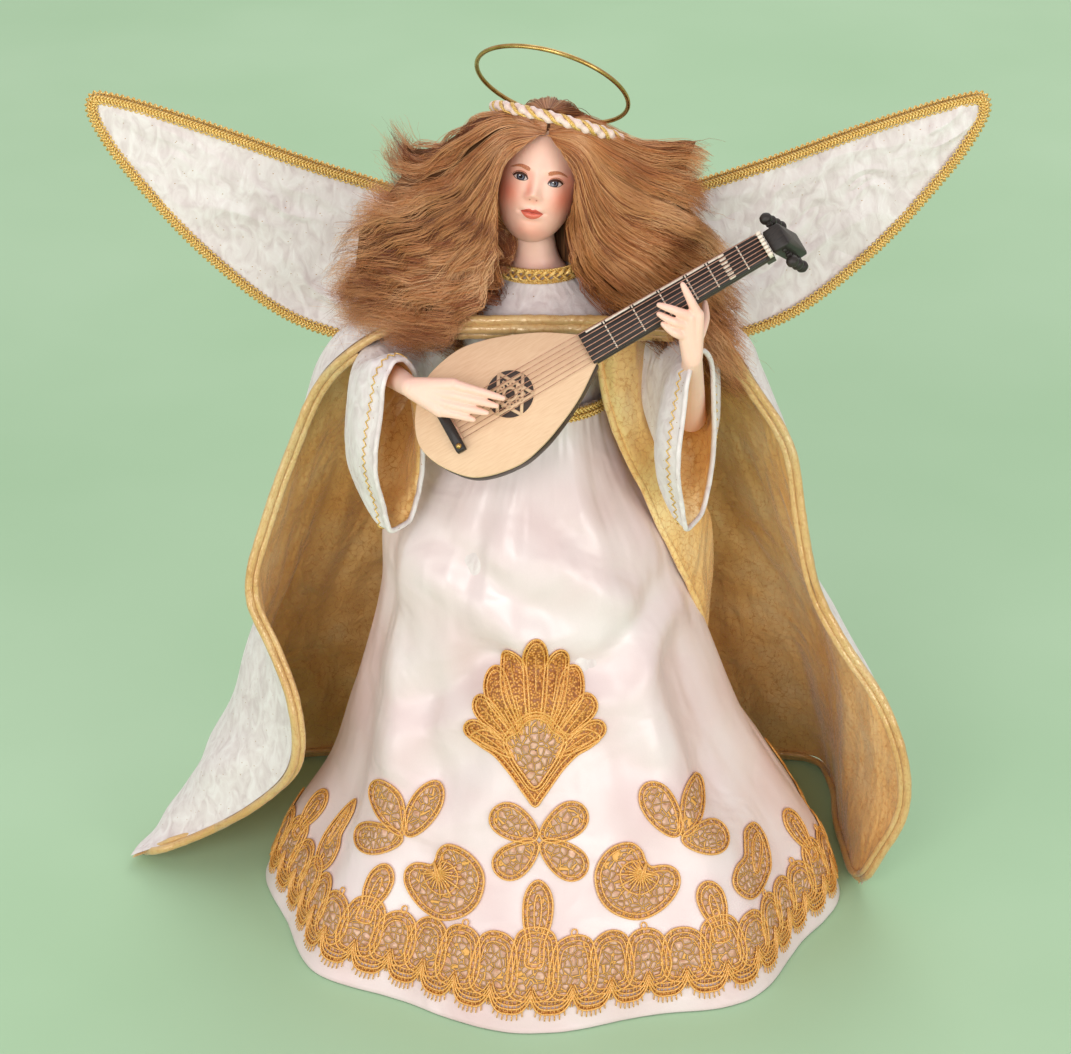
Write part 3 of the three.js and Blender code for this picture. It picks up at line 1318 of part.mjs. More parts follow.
function makeLute() {
  const place = lutePlace();
  const set = (solid) => placed(solid, place);
  const board = new THREE.Shape(luteOutline(1));
  board.holes.push(...roseHoles());
  const neckHalf = (x) => {
    const share = (x - fingerboardStart) / (fingerboardEnd - fingerboardStart);
    return THREE.MathUtils.lerp(fingerboardWidthAtBody, fingerboardWidthAtNut, share) / 2;
  };
  const fingerShape = (overhang) =>
    new THREE.Shape([
      new THREE.Vector2(fingerboardStart, -neckHalf(fingerboardStart)),
      new THREE.Vector2(fingerboardEnd + overhang, -neckHalf(fingerboardEnd)),
      new THREE.Vector2(fingerboardEnd + overhang, neckHalf(fingerboardEnd)),
      new THREE.Vector2(fingerboardStart, neckHalf(fingerboardStart)),
    ]);
  const boardEnd = luteBodyLength - luteTailToRose;
  const fingerTop = fingerboardThickness + gap;
  const frets = fretShares.map((share) => {
    const x = THREE.MathUtils.lerp(fingerboardStart, fingerboardEnd, share);
    const wide = share === wideFretShare ? wideFretWidth : fretWidth;
    return box(point(x, 0, fingerTop), point(wide, 2 * neckHalf(x), 2 * fretHeight));
  });
  const fingerboard = joined([lutePlate(fingerShape(0), fingerboardThickness, fingerTop), ...frets]);
  keep("fingerboard", set(fingerboard), ebony);
  keep("lute_soundboard", set(lutePlate(board, luteBoard, 0)), spruce, ["fingerboard"]);
  const levels = bowlShares.map(([depth, scale]) => [-luteBoard - gap - depth * luteBowlDepth, scale]);
  const ring = ([z, scale], inset) => luteOutline(scale, inset).map(({ x, y }) => {
    const middle = luteBodyLength * luteWidestShare - luteTailToRose;
    return point(middle + (x - middle) * scale, y, z);
  });
  const outer = levels.map((level) => ring(level, 0));
  const top = levels[0][0];
  const inner = levels.map(([z, scale]) => ring([Math.min(z + luteBowlWall, top), scale], luteBowlWall));
  const mouth = inner[0].map((spot) => spot.clone().setZ(spot.z + cutOverrun));
  const bowl = ringSolid(outer).subtract(ringSolid([mouth, ...inner]));
  keep("lute_bowl", set(bowl), walnut);
  const neckRings = [boardEnd + gap, fingerboardEnd].map((x) =>
    neckSectionShares.map(([across, down]) => point(x, across * neckHalf(x), -down * neckDepth)),
  );
  keep("lute_neck", set(ringSolid(neckRings)), walnut, ["lute_bowl"]);
  const nutPlace = fingerboardEnd + gap + nutLength / 2;
  const nutSize = point(nutLength, 2 * neckHalf(fingerboardEnd), fingerTop + nutHeight);
  keep("nut", set(box(point(nutPlace, 0, nutSize.z / 2), nutSize)), bone);
  const bridgeX = -bridgeFromRose;
  const bridgeSize = point(bridgeWidth, bridgeLength, bridgeHeight);
  keep("bridge", set(box(point(bridgeX, 0, gap + bridgeHeight / 2), bridgeSize)), ebony);
  for (const [name, way] of [["upper", 1], ["lower", -1]]) {
    const y = way * (bridgeLength / 2 - bridgeWidth / 2);
    const z = bridgeHeight + 2 * gap + rivetHeight / 2;
    const rivet = solidOf(
      new THREE.CylinderGeometry(rivetRadius, rivetRadius, rivetHeight, rivetSides)
        .rotateX(Math.PI / 2)
        .translate(bridgeX, y, z),
    );
    keep("bridge_rivet_" + name, set(rivet), brass);
  }
  const strings = [];
  const stringStart = bridgeX + bridgeWidth / 2 + 2 * gap;
  const stringFoot = fingerTop + fretHeight + stringRadius + gap;
  for (let i = 0; i < stringCount; i += 1) {
    const share = i / (stringCount - 1) - 0.5;
    const start = point(stringStart, share * stringSpanAtBridge, stringFoot);
    const end = point(fingerboardEnd, share * stringSpanAtNut, stringFoot);
    strings.push(rod([start, end], stringRadius, stringSides, 1));
  }
  const tieSize = point(2 * stringRadius, stringSpanAtBridge + stringRadius, 2 * stringRadius);
  strings.push(box(point(stringStart, 0, stringFoot), tieSize));
  keep("lute_strings", set(joined(strings)), spruce);
  const box0 = new THREE.Matrix4()
    .makeTranslation(nutPlace + nutLength / 2 + gap, 0, fingerTop)
    .multiply(new THREE.Matrix4().makeRotationY(pegboxTilt));
  const heelFrom = fingerboardEnd + gap;
  const heelTo = nutPlace + nutLength / 2 + 2 * gap;
  const heel = box(
    point((heelFrom + heelTo) / 2, 0, -gap - neckDepth / 2),
    point(heelTo - heelFrom, 2 * neckHalf(fingerboardEnd) - 2 * gap, neckDepth),
  );
  const pegboxSolid = placed(
    box(point(pegboxLength / 2, 0, pegboxDepth / 2), point(pegboxLength, pegboxWidth, pegboxDepth)),
    box0,
  ).add(heel);
  const pegs = [];
  const bores = [];
  for (let i = 0; i < pegCount; i += 1) {
    const side = i % 2 ? -1 : 1;
    const x = pegboxLength * THREE.MathUtils.lerp(pegFirstShare, pegLastShare, i / (pegCount - 1));
    const reach = pegboxWidth / 2;
    const profile = [
      [0, -reach - pegTipOut],
      [pegRadius, -reach - pegTipOut],
      [pegRadius, reach + pegKnobRadius],
      ...pegKnobShares.map(([wide, out]) => [wide * pegKnobRadius, reach + out * pegKnobRadius]),
    ].map(([r, y]) => new THREE.Vector2(r, y));
    const turned = new THREE.Matrix4()
      .makeTranslation(x, 0, pegboxDepth / 2)
      .multiply(new THREE.Matrix4().makeRotationX(side > 0 ? 0 : Math.PI));
    pegs.push(placed(placed(solidOf(new THREE.LatheGeometry(profile, pegSides)), turned), box0));
    const bore = solidOf(new THREE.CylinderGeometry(pegBore, pegBore, 2 * pegboxWidth, boltSides));
    bores.push(placed(placed(bore, turned), box0));
  }
  keep("pegbox", set(pegboxSolid.subtract(joined(bores))), ebony, ["lute_neck"]);
  pegs.forEach((peg, i) => keep("lute_peg_" + (i + 1), set(peg), ebony));
}

// Lace sewn on the skirt

// A motif is drawn flat from its own root, with its size in millimetres. Each lobe runs from one point to
// another, as shares of that size, with its half width. Angles go round the skirt from the figure's left.
const petalShares = [
  [0, 0, 0.7, 0.62, 0.28],
  [0, 0, -0.7, 0.6, 0.28],
  [0, 0, 0.68, -0.62, 0.26],
  [0, 0, -0.68, -0.62, 0.26],
];
const fanShares = [
  [0, 0.4, 0, 1, 0.07],
  [0.02, 0.4, 0.15, 0.9, 0.065],
  [0.03, 0.38, 0.25, 0.77, 0.065],
  [0.03, 0.36, 0.33, 0.61, 0.062],
  [0, 0.34, 0.41, 0.43, 0.06],
  [0, 0, 0.02, 0.44, 0.075],
  [0, 0.14, 0.24, 0.4, 0.07],
];
const trefoilShares = [
  [0.05, -0.05, -0.34, 0.84, 0.25],
  [-0.05, 0, 0.5, 0.98, 0.22],
  [-0.1, 0.05, 0.98, -0.2, 0.25],
];
const pansyShares = [
  [-0.75, -0.05, 0.95, -0.5, 0.58],
  [0.1, -0.8, -0.25, 1, 0.52],
  [0.5, -0.3, 0.1, 0.6, 0.3],
];
const leafShares = [
  [0.1, 0, 0.35, 1, 0.3],
  [0.1, 0.2, -0.25, -0.8, 0.36],
];
const mirrored = (lobes) => lobes.map(([fromX, fromZ, toX, toZ, half]) => [-fromX, fromZ, -toX, toZ, half]);
const laceMotifs = {
  lace_palmette: { angle: -91, height: 97, size: 74, lobes: [...fanShares, ...mirrored(fanShares)] },
  lace_flower: { angle: -93, height: 79, size: 26, lobes: petalShares },
  lace_trefoil_right: { angle: -133, height: 67, size: 29, lobes: mirrored(trefoilShares) },
  lace_trefoil_left: { angle: -59, height: 72, size: 29, lobes: trefoilShares },
  lace_pansy_right: { angle: -118, height: 57, size: 19, lobes: mirrored(pansyShares) },
  lace_pansy_left: { angle: -67, height: 60, size: 19, lobes: pansyShares },
  lace_leaf_right: { angle: -155, height: 56, size: 16, lobes: mirrored(leafShares) },
  lace_leaf_left: { angle: -35, height: 54, size: 16, lobes: leafShares },
};

// The thin layer just off the skirt's outer face in which all its lace lies.
function laceLayer() {
  const heights = skirtProfileShares.map(([share]) => share * waistHeight);
  const layer = (out) => heights.map((z) => skirtRing(z, out));
  return wallSolid(layer(laceLift + laceThickness), layer(laceLift));
}

function petal([fromX, fromZ, toX, toZ, half], size) {
  const [alongX, alongZ] = [(toX - fromX) / 2, (toZ - fromZ) / 2];
  const length = Math.hypot(alongX, alongZ);
  const outline = roundSection(1, lacePetalSides).map(([along, across]) =>
    new THREE.Vector2(
      (fromX + alongX * (1 + along) - (across * half * alongZ) / length) * size,
      (fromZ + alongZ * (1 + along) + (across * half * alongX) / length) * size,
    ),
  );
  const options = { depth: laceReach, bevelEnabled: false };
  return solidOf(new THREE.ExtrudeGeometry(new THREE.Shape(outline), options));
}

function makeMotifs(layer) {
  for (const [name, { angle, height, size, lobes }] of Object.entries(laceMotifs)) {
    const turn = THREE.MathUtils.degToRad(angle);
    const root = skirtPoint(turn, height);
    const outward = point(Math.cos(turn), Math.sin(turn), 0);
    const across = outward.clone().cross(point(0, 0, 1)).negate();
    const place = new THREE.Matrix4()
      .makeBasis(across, point(0, 0, 1), across.clone().cross(point(0, 0, 1)))
      .setPosition(root.addScaledVector(outward, -laceReach / 2));
    const drawn = joined(lobes.map((lobe) => petal(lobe, size)));
    keep(name, placed(drawn, place).intersect(layer), goldLace);
  }
}

// A point off the flat facets of the skirt: place round it in columns, height up to its third row, and
// distance out.
function facetPoint(place, height, out) {
  const rows = skirtProfileShares.slice(0, 3).map(([share]) => share * waistHeight);
  const k = height > rows[1] ? 1 : 0;
  const rise = (height - rows[k]) / (rows[k + 1] - rows[k]);
  const column = Math.floor(place);
  const corner = (row, i) => skirtPoint((2 * Math.PI * i) / skirtColumns, rows[row], out);
  const edge = (i) => corner(k, i).lerp(corner(k + 1, i), rise);
  return edge(column).lerp(edge(column + 1), place - column);
}

// The lace round the hem: a band with a scalloped upper edge that rises to a spire at every few scallops.
function makeHemLace() {
  const middle = skirtProfileShares[1][0] * waistHeight;
  const rings = [];
  for (let i = 0; i < 2 * skirtColumns; i += 1) {
    const isSpire = Math.floor(i / 2) % hemLaceSpireEvery === hemLaceFirstSpire;
    const rise = isSpire ? hemLaceSpireRise : hemLaceScallopRise;
    const top = hemLaceTop + (i % 2) * rise;
    const [inner, outer] = [laceLift, laceLift + laceThickness].map((out) =>
      [hemLaceFoot, middle, top].map((z) => facetPoint(i / 2, z, out)),
    );
    rings.push([...inner, ...outer.reverse()]);
  }
  keep("hem_lace", ringSolid(rings, true), goldLace);
}

function makeLace() {
  makeMotifs(laceLayer());
  makeHemLace();
}

makeDress();
makeLace();
makeBase();
makeBody();
makeTrims();
makeHead();
makeHalo();
makeHeadband();
makeLute();
makeHands();
makeSleeve("right", armShares.right);
makeSleeve("left", armShares.left);
makeBracket();
makeWings();
makeMantle();
makeWig();

const figurine = new THREE.Group();
for (const [name, { solid, material }] of pieces) {
  const mesh = solid.getMesh();
  const geometry = new THREE.BufferGeometry();
  geometry.setAttribute("position", new THREE.BufferAttribute(mesh.vertProperties, mesh.numProp));
  geometry.setIndex(new THREE.BufferAttribute(mesh.triVerts, 1));
  geometry.computeVertexNormals();
  const piece = new THREE.Mesh(geometry, material);
  piece.name = name;
  figurine.add(piece);
}

export default figurine;
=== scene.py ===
import math

import bpy
import numpy as np
from mathutils import Matrix


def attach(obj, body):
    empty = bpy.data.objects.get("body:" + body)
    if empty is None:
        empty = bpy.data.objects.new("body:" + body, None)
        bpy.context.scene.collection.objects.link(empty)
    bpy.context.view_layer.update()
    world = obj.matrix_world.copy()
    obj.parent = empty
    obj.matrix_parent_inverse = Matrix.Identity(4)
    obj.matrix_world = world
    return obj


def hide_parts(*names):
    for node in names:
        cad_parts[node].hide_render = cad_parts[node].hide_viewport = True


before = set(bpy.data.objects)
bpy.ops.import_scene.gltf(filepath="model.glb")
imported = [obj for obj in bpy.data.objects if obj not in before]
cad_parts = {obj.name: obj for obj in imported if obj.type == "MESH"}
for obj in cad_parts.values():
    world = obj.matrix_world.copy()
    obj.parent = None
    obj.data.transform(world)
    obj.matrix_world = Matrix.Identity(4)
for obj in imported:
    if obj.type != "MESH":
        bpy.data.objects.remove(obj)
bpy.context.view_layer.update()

# Lengths are in millimetres in the part's frame, until a mesh is made. The figure looks along -Y.

MM = 0.001
TAU = 2 * math.pi
LATTICE = 64
rng = np.random.default_rng(11)
lattice = rng.uniform(-1, 1, (LATTICE, LATTICE))


# Curves, shares and noise

def unit(vectors):
    return vectors / np.maximum(np.linalg.norm(vectors, axis=-1, keepdims=True), 1e-12)


def share_at(table, place, column):
    """Smooth value of one column of a table of shares, at places along its first column."""
    table = np.asarray(table, float)
    x, y = table[:, 0], table[:, column]
    place = np.asarray(place, float)
    i = np.clip(np.searchsorted(x, place) - 1, 0, len(x) - 2)
    before, after = np.maximum(i - 1, 0), np.minimum(i + 2, len(x) - 1)
    span = x[i + 1] - x[i]
    t = np.clip((place - x[i]) / span, 0, 1)
    leave = span * (y[i + 1] - y[before]) / (x[i + 1] - x[before])
    arrive = span * (y[after] - y[i]) / (x[after] - x[i])
    return hermite(y[i], y[i + 1], leave, arrive, t)


def hermite(start, end, leave, arrive, t):
    """A smooth way from start to end, with the slopes that it has at both."""
    t2, t3 = t * t, t * t * t
    first = (2 * t3 - 3 * t2 + 1) * start + (t3 - 2 * t2 + t) * leave
    return first + (3 * t2 - 2 * t3) * end + (t3 - t2) * arrive


def smooth_table(rows, count):
    """Every column of evenly spaced rows, read at count even places."""
    table = [[i, *row] for i, row in enumerate(rows)]
    place = np.linspace(0, len(rows) - 1, count)
    return np.stack([share_at(table, place, c + 1) for c in range(len(rows[0]))], axis=1)


def spaced(path, count, loop=False):
    """A path read again at even steps along its length."""
    path = np.asarray(path, float)
    if loop:
        path = np.vstack([path, path[:1]])
    length = np.concatenate([[0], np.cumsum(np.linalg.norm(np.diff(path, axis=0), axis=1))])
    wanted = np.linspace(0, length[-1], count + 1 if loop else count)
    if loop:
        wanted = wanted[:-1]
    return np.stack([np.interp(wanted, length, path[:, c]) for c in range(path.shape[1])], axis=1)


def curve_through(points, count, loop=False, fine=20):
    """Points at even steps along a smooth curve through the given ones."""
    p = np.asarray(points, float)
    before, after = (p[-1:], p[:2]) if loop else (2 * p[:1] - p[1:2], 2 * p[-1:] - p[-2:-1])
    q = np.vstack([before, p, after])
    parts = []
    for i in range(1, len(q) - 2):
        p0, p1, p2, p3 = q[i - 1:i + 3]
        pairs = ((p0, p1), (p1, p2), (p2, p3))
        d0, d1, d2 = (max(np.linalg.norm(b - a), 1e-6) ** 0.5 for a, b in pairs)
        leave = d1 * ((p1 - p0) / d0 - (p2 - p0) / (d0 + d1) + (p2 - p1) / d1)
        arrive = d1 * ((p2 - p1) / d1 - (p3 - p1) / (d1 + d2) + (p3 - p2) / d2)
        t = np.linspace(0, 1, fine, endpoint=False)[:, None]
        parts.append(hermite(p1, p2, leave, arrive, t))
    if not loop:
        parts.append(p[-1:])
    return spaced(np.vstack(parts), count, loop)


NOISE_SHIFT = (7.3, 3.1)


def noise(x, y, seed=0, octaves=2):
    """Smooth noise from -1 to 1."""
    total, size = 0, 1.0
    for k in range(octaves):
        u = np.asarray(x, float) / size + NOISE_SHIFT[0] * (seed + k)
        v = np.asarray(y, float) / size + NOISE_SHIFT[1] * (seed + k)
        i, j = np.floor(u).astype(int), np.floor(v).astype(int)
        a, b = u - i, v - j
        a, b = a * a * (3 - 2 * a), b * b * (3 - 2 * b)
        at = lambda m, n: lattice[(i + m) % LATTICE, (j + n) % LATTICE]
        low = at(0, 0) * (1 - a) + at(1, 0) * a
        high = at(0, 1) * (1 - a) + at(1, 1) * a
        total = total + size * (low * (1 - b) + high * b)
        size /= 2
    return total


def smoothstep(value, low, high):
    t = np.clip((np.asarray(value, float) - low) / (high - low), 0, 1)
    return t * t * (3 - 2 * t)


def ellipse(height, half, depth, count, centre=0.0):
    turn = np.linspace(0, TAU, count, endpoint=False)
    across, deep = centre + half * np.cos(turn), depth * half * np.sin(turn)
    return np.stack([across, deep, np.full(count, float(height))], axis=1)


def bump_at(x, z, cx, cz, wide, tall):
    return np.exp(-((x - cx) / wide) ** 2 - ((z - cz) / tall) ** 2)


def pile_bumps(x, z, bumps):
    """The sum of soft bumps, each with its height, place across and up, half width and half height."""
    return sum(high * bump_at(x, z, *place_and_size) for high, *place_and_size in bumps)


# Meshes

def frames(path, loop=False):
    """Tangent, side and up along a path, without twist."""
    path = np.asarray(path, float)
    ahead = np.roll(path, -1, 0) - np.roll(path, 1, 0) if loop else np.gradient(path, axis=0)
    tangent = unit(ahead)
    side = np.zeros_like(path)
    last = np.cross(tangent[0], (0, 0, 1) if abs(tangent[0, 2]) < 0.9 else (1, 0, 0))
    for i, t in enumerate(tangent):
        last = last - t * (last @ t)
        last = last / max(np.linalg.norm(last), 1e-9)
        side[i] = last
    return tangent, side, np.cross(tangent, side)


class Shape:
    """Points and four-cornered faces, gathered before they become one mesh.

    Marks are places for the textures.
    """

    def __init__(self):
        self.points, self.faces, self.marks, self.count = [], [], [], 0

    def add(self, points, faces, marks=None):
        points = np.asarray(points, float).reshape(-1, 3)
        self.points.append(points)
        self.faces.append(np.asarray(faces, int).reshape(-1, 4) + self.count)
        self.marks.append(points if marks is None else np.asarray(marks, float).reshape(-1, 3))
        self.count += len(points)
        return self

    def grid(self, rows, round_=False, loop=False, marks=None):
        rows = np.asarray(rows, float)
        m, n = rows.shape[:2]
        index = np.arange(m * n).reshape(m, n)
        if round_:
            index = np.concatenate([index, index[:, :1]], axis=1)
        if loop:
            index = np.concatenate([index, index[:1]], axis=0)
        faces = np.stack([index[:-1, :-1], index[:-1, 1:], index[1:, 1:], index[1:, :-1]], axis=-1)
        return self.add(rows, faces, marks)

    def tube(self, path, radius, sides=6, loop=False, flat=1.0):
        path = np.asarray(path, float)
        _, side, up = frames(path, loop)
        radius = np.broadcast_to(np.asarray(radius, float), (len(path),))[:, None, None]
        turn = TAU * np.arange(sides) / sides
        ring = np.cos(turn)[None, :, None] * side[:, None]
        ring = ring + flat * np.sin(turn)[None, :, None] * up[:, None]
        rows = path[:, None] + radius * ring
        if not loop:
            ends = np.repeat(path[[0, -1], None], sides, axis=1)
            rows = np.concatenate([ends[:1], rows, ends[1:]])
        return self.grid(rows, round_=True, loop=loop)

    def rope(self, path, radius, thread, strands, pitch, sides=6, loop=False):
        path = np.asarray(path, float)
        _, side, up = frames(path, loop)
        steps = np.linalg.norm(np.diff(np.vstack([path, path[:1]]), axis=0), axis=1)
        along = np.concatenate([[0], np.cumsum(steps)])
        turns = along[:-1] / pitch
        if loop:
            turns = turns * max(round(along[-1] / pitch), 1) / (along[-1] / pitch)
        for k in range(strands):
            angle = TAU * (turns + k / strands)
            way = np.cos(angle)[:, None] * side + np.sin(angle)[:, None] * up
            self.tube(path + radius * way, thread, sides, loop)
        return self

    def moved(self, matrix):
        for points in self.points:
            points[:] = np.c_[points, np.ones(len(points))] @ np.asarray(matrix, float).T[:, :3]
        return self

    def make(self, name, material):
        points, faces = np.concatenate(self.points) * MM, np.concatenate(self.faces)
        mesh = bpy.data.meshes.new(name)
        mesh.vertices.add(len(points))
        mesh.vertices.foreach_set("co", points.astype(np.float32).ravel())
        mesh.loops.add(faces.size)
        mesh.loops.foreach_set("vertex_index", faces.astype(np.int32).ravel())
        mesh.polygons.add(len(faces))
        mesh.polygons.foreach_set("loop_start", np.arange(0, faces.size, faces.shape[1], dtype=np.int32))
        mesh.update(calc_edges=True)
        marks = mesh.attributes.new("cloth", "FLOAT_VECTOR", "POINT")
        marks.data.foreach_set("vector", np.concatenate(self.marks).astype(np.float32).ravel())
        mesh.validate()
        mesh.shade_smooth()
        mesh.materials.append(material)
        made = bpy.data.objects.new(name, mesh)
        bpy.context.scene.collection.objects.link(made)
        return made


def piece(shape, name, material, body="figure", nodes=()):
    made = shape.make(name, material) if isinstance(shape, Shape) else shape
    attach(made, body)
    if nodes:
        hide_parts(*nodes)
    return made


# Materials

class Paint:
    """A node material. Its textures are measured in millimetres."""

    def __init__(self, name, rough, metal=0.0, marks=False, **shine):
        self.material = bpy.data.materials.new(name)
        self.material.use_nodes = True
        self.tree = self.material.node_tree
        self.shader = self.tree.nodes["Principled BSDF"]
        self.shader.inputs["Roughness"].default_value = rough
        self.shader.inputs["Metallic"].default_value = metal
        for key, value in shine.items():
            self.shader.inputs[key.replace("_", " ")].default_value = value
        self.height = None
        if marks:
            source = self.node("ShaderNodeAttribute", attribute_name="cloth")
            self.place, self.unit = source.outputs["Vector"], 1.0
        else:
            source = self.node("ShaderNodeTexCoord")
            self.place, self.unit = source.outputs["Object"], 1 / MM

    def node(self, kind, **values):
        made = self.tree.nodes.new(kind)
        for key, value in values.items():
            setattr(made, key, value)
        return made

    def put(self, socket, value):
        if isinstance(value, bpy.types.NodeSocket):
            self.tree.links.new(value, socket)
        else:
            socket.default_value = value

    def scaled(self, size, stretch):
        mapping = self.node("ShaderNodeMapping", vector_type="POINT")
        self.put(mapping.inputs["Vector"], self.place)
        mapping.inputs["Scale"].default_value = [self.unit / (size * s) for s in stretch]
        return mapping.outputs["Vector"]

    def noise(self, size, detail=2.0, stretch=(1, 1, 1), distortion=0.0):
        made = self.node("ShaderNodeTexNoise")
        self.put(made.inputs["Vector"], self.scaled(size, stretch))
        made.inputs["Scale"].default_value = 1.0
        made.inputs["Detail"].default_value = detail
        made.inputs["Distortion"].default_value = distortion
        return made.outputs["Fac"]

    def cells(self, size, feature="DISTANCE_TO_EDGE", stretch=(1, 1, 1), warp=0.0, warp_size=1.0):
        made = self.node("ShaderNodeTexVoronoi", feature=feature)
        place = self.scaled(size, stretch)
        if warp:
            shift = self.node("ShaderNodeTexNoise")
            self.put(shift.inputs["Vector"], place)
            shift.inputs["Scale"].default_value = warp_size
            mixed = self.node("ShaderNodeVectorMath", operation="MULTIPLY_ADD")
            self.put(mixed.inputs[0], shift.outputs["Color"])
            mixed.inputs[1].default_value = (warp, warp, warp)
            self.put(mixed.inputs[2], place)
            place = mixed.outputs["Vector"]
        self.put(made.inputs["Vector"], place)
        made.inputs["Scale"].default_value = 1.0
        return made.outputs["Distance"]

    def ramp(self, value, *stops):
        made = self.node("ShaderNodeValToRGB")
        self.put(made.inputs["Fac"], value)
        elements = made.color_ramp.elements
        while len(elements) < len(stops):
            elements.new(0.5)
        for element, (place, colour) in zip(elements, stops):
            element.position = place
            element.color = (*colour, 1) if hasattr(colour, "__len__") else (colour, colour, colour, 1)
        return made.outputs["Color"]

    def mix(self, share, first, second, how="MIX"):
        made = self.node("ShaderNodeMix", data_type="RGBA", blend_type=how)
        self.put(made.inputs["Factor"], share)
        for socket, value in ((made.inputs["A"], first), (made.inputs["B"], second)):
            self.put(socket, (*value, 1) if isinstance(value, tuple) else value)
        return made.outputs["Result"]

    def colour(self, value):
        self.put(self.shader.inputs["Base Color"], value)
        return self

    def drive(self, socket, value):
        self.put(self.shader.inputs[socket], value)
        return self

    def bump(self, value, depth, strength=1.0):
        made = self.node("ShaderNodeBump")
        self.put(made.inputs["Height"], value)
        made.inputs["Distance"].default_value = depth * MM
        made.inputs["Strength"].default_value = strength
        if self.height is not None:
            self.put(made.inputs["Normal"], self.height)
        self.height = made.outputs["Normal"]
        self.put(self.shader.inputs["Normal"], self.height)
        return self


# Each material's tones, as places on a ramp with their colours.
SATIN_TONES = ((0.3, (0.74, 0.555, 0.55)), (0.5, (0.79, 0.645, 0.64)), (0.7, (0.82, 0.72, 0.715)))
CRINKLE_RIDGE_SHADE_TONES = ((0.3, (0.66, 0.565, 0.56)), (0.5, (0.77, 0.69, 0.68)), (0.68, (0.84, 0.78, 0.77)))
CRINKLE_SPECK = (0.5, 0.27, 0.08)
BROCADE_TONES = ((0.3, (0.88, 0.51, 0.165)), (0.52, (0.97, 0.64, 0.26)), (0.75, (1.0, 0.76, 0.40)))
BROCADE_LINE = (0.76, 0.62, 0.45)
THREAD_TONES = ((0.3, (0.44, 0.15, 0.012)), (0.48, (0.83, 0.38, 0.06)), (0.66, (1.0, 0.66, 0.24)))
CORD_TONES = ((0.3, (0.55, 0.29, 0.05)), (0.5, (0.84, 0.54, 0.15)), (0.7, (0.98, 0.78, 0.36)))
NET_TONES = ((0.35, (0.64, 0.33, 0.19)), (0.65, (0.80, 0.50, 0.36)))
NET_THREAD = (0.84, 0.42, 0.09)
SEED_LIT_AND_SHADED_TONES = ((0.1, (0.98, 0.56, 0.16)), (0.35, (0.68, 0.27, 0.035)), (0.7, (0.30, 0.09, 0.008)))
UNDER_SHADE_TONES = ((0.3, (0.05, 0.018, 0.006)), (0.52, (0.18, 0.07, 0.022)), (0.7, (0.33, 0.145, 0.05)))
BRASS_TONES = ((0.3, (0.42, 0.25, 0.07)), (0.7, (0.62, 0.42, 0.15)))
BONE_TONES = ((0.3, (0.74, 0.62, 0.5)), (0.7, (0.88, 0.8, 0.7)))
STRING_TONES = ((0.3, (0.42, 0.2, 0.13)), (0.7, (0.62, 0.34, 0.24)))
CARD_TONES = ((0.3, (0.56, 0.48, 0.36)), (0.7, (0.68, 0.61, 0.48)))
RIBBON_TONES = ((0.3, (0.78, 0.55, 0.48)), (0.7, (0.92, 0.75, 0.68)))
FLOOR_TONES = ((0.3, (0.40, 0.615, 0.385)), (0.7, (0.455, 0.665, 0.44)))


def make_satin():
    paint = Paint("satin", 0.35, Sheen_Weight=0.15, Sheen_Roughness=0.4, Specular_IOR_Level=0.7)
    tone = paint.ramp(paint.noise(size=52), *SATIN_TONES)
    weave = paint.noise(size=0.32, detail=1, stretch=(1, 1, 4))
    paint.colour(paint.mix(0.06, tone, paint.ramp(weave, (0.3, 0.6), (0.7, 1.0)), "MULTIPLY"))
    paint.drive("Roughness", paint.ramp(paint.noise(size=16, detail=3), (0.3, 0.28), (0.7, 0.41)))
    drape = paint.noise(size=38, stretch=(1.3, 1, 0.8), distortion=0.9)
    paint.bump(drape, depth=4.0, strength=0.5)
    return paint.bump(weave, depth=0.03, strength=0.4).material


def make_crinkle(name="crinkle", grain=(1, 1, 1.7)):
    paint = Paint(name, 0.6, Sheen_Weight=0.25, Sheen_Roughness=0.5)
    ridges = paint.noise(size=6.0, detail=4, stretch=grain, distortion=1.2)
    # The tone follows the ridges' height, darker in their valleys: painted shade.
    tone = paint.ramp(ridges, *CRINKLE_RIDGE_SHADE_TONES)
    specks = paint.ramp(paint.cells(3.4, "F1", stretch=(1, 1, 0.55)), (0.085, 1.0), (0.11, 0.0))
    chosen = paint.ramp(paint.noise(size=5.3, detail=1), (0.5, 0.0), (0.54, 1.0))
    share = paint.mix(1.0, specks, chosen, "MULTIPLY")
    paint.colour(paint.mix(share, tone, CRINKLE_SPECK))
    paint.drive("Metallic", share)
    paint.bump(ridges, depth=0.8, strength=0.55)
    return paint.bump(paint.noise(size=0.6), depth=0.1, strength=0.6).material


def make_brocade(name="brocade", scale=1.0, shade=1.0):
    paint = Paint(name, 0.33, 0.06, Sheen_Weight=0.2, Specular_IOR_Level=0.85)
    lines = paint.cells(3.3 * scale, warp=1.5, warp_size=0.9)
    drawn = paint.ramp(lines, (0.025, 0.0), (0.07, 1.0))
    stops = [(place, tuple(c * shade for c in tint)) for place, tint in BROCADE_TONES]
    tone = paint.ramp(paint.noise(size=34, detail=3), *stops)
    dark = paint.mix(1.0, tone, BROCADE_LINE, "MULTIPLY")
    paint.colour(paint.mix(drawn, dark, tone))
    paint.drive("Roughness", paint.ramp(drawn, (0.0, 0.46), (1.0, 0.26)))
    drape = paint.noise(size=30, stretch=(1, 1, 1.8), distortion=0.9)
    paint.bump(drape, depth=7.0, strength=0.7)
    paint.bump(paint.noise(size=13, detail=3, distortion=0.8), depth=1.6, strength=0.5)
    return paint.bump(drawn, depth=0.06, strength=0.6).material


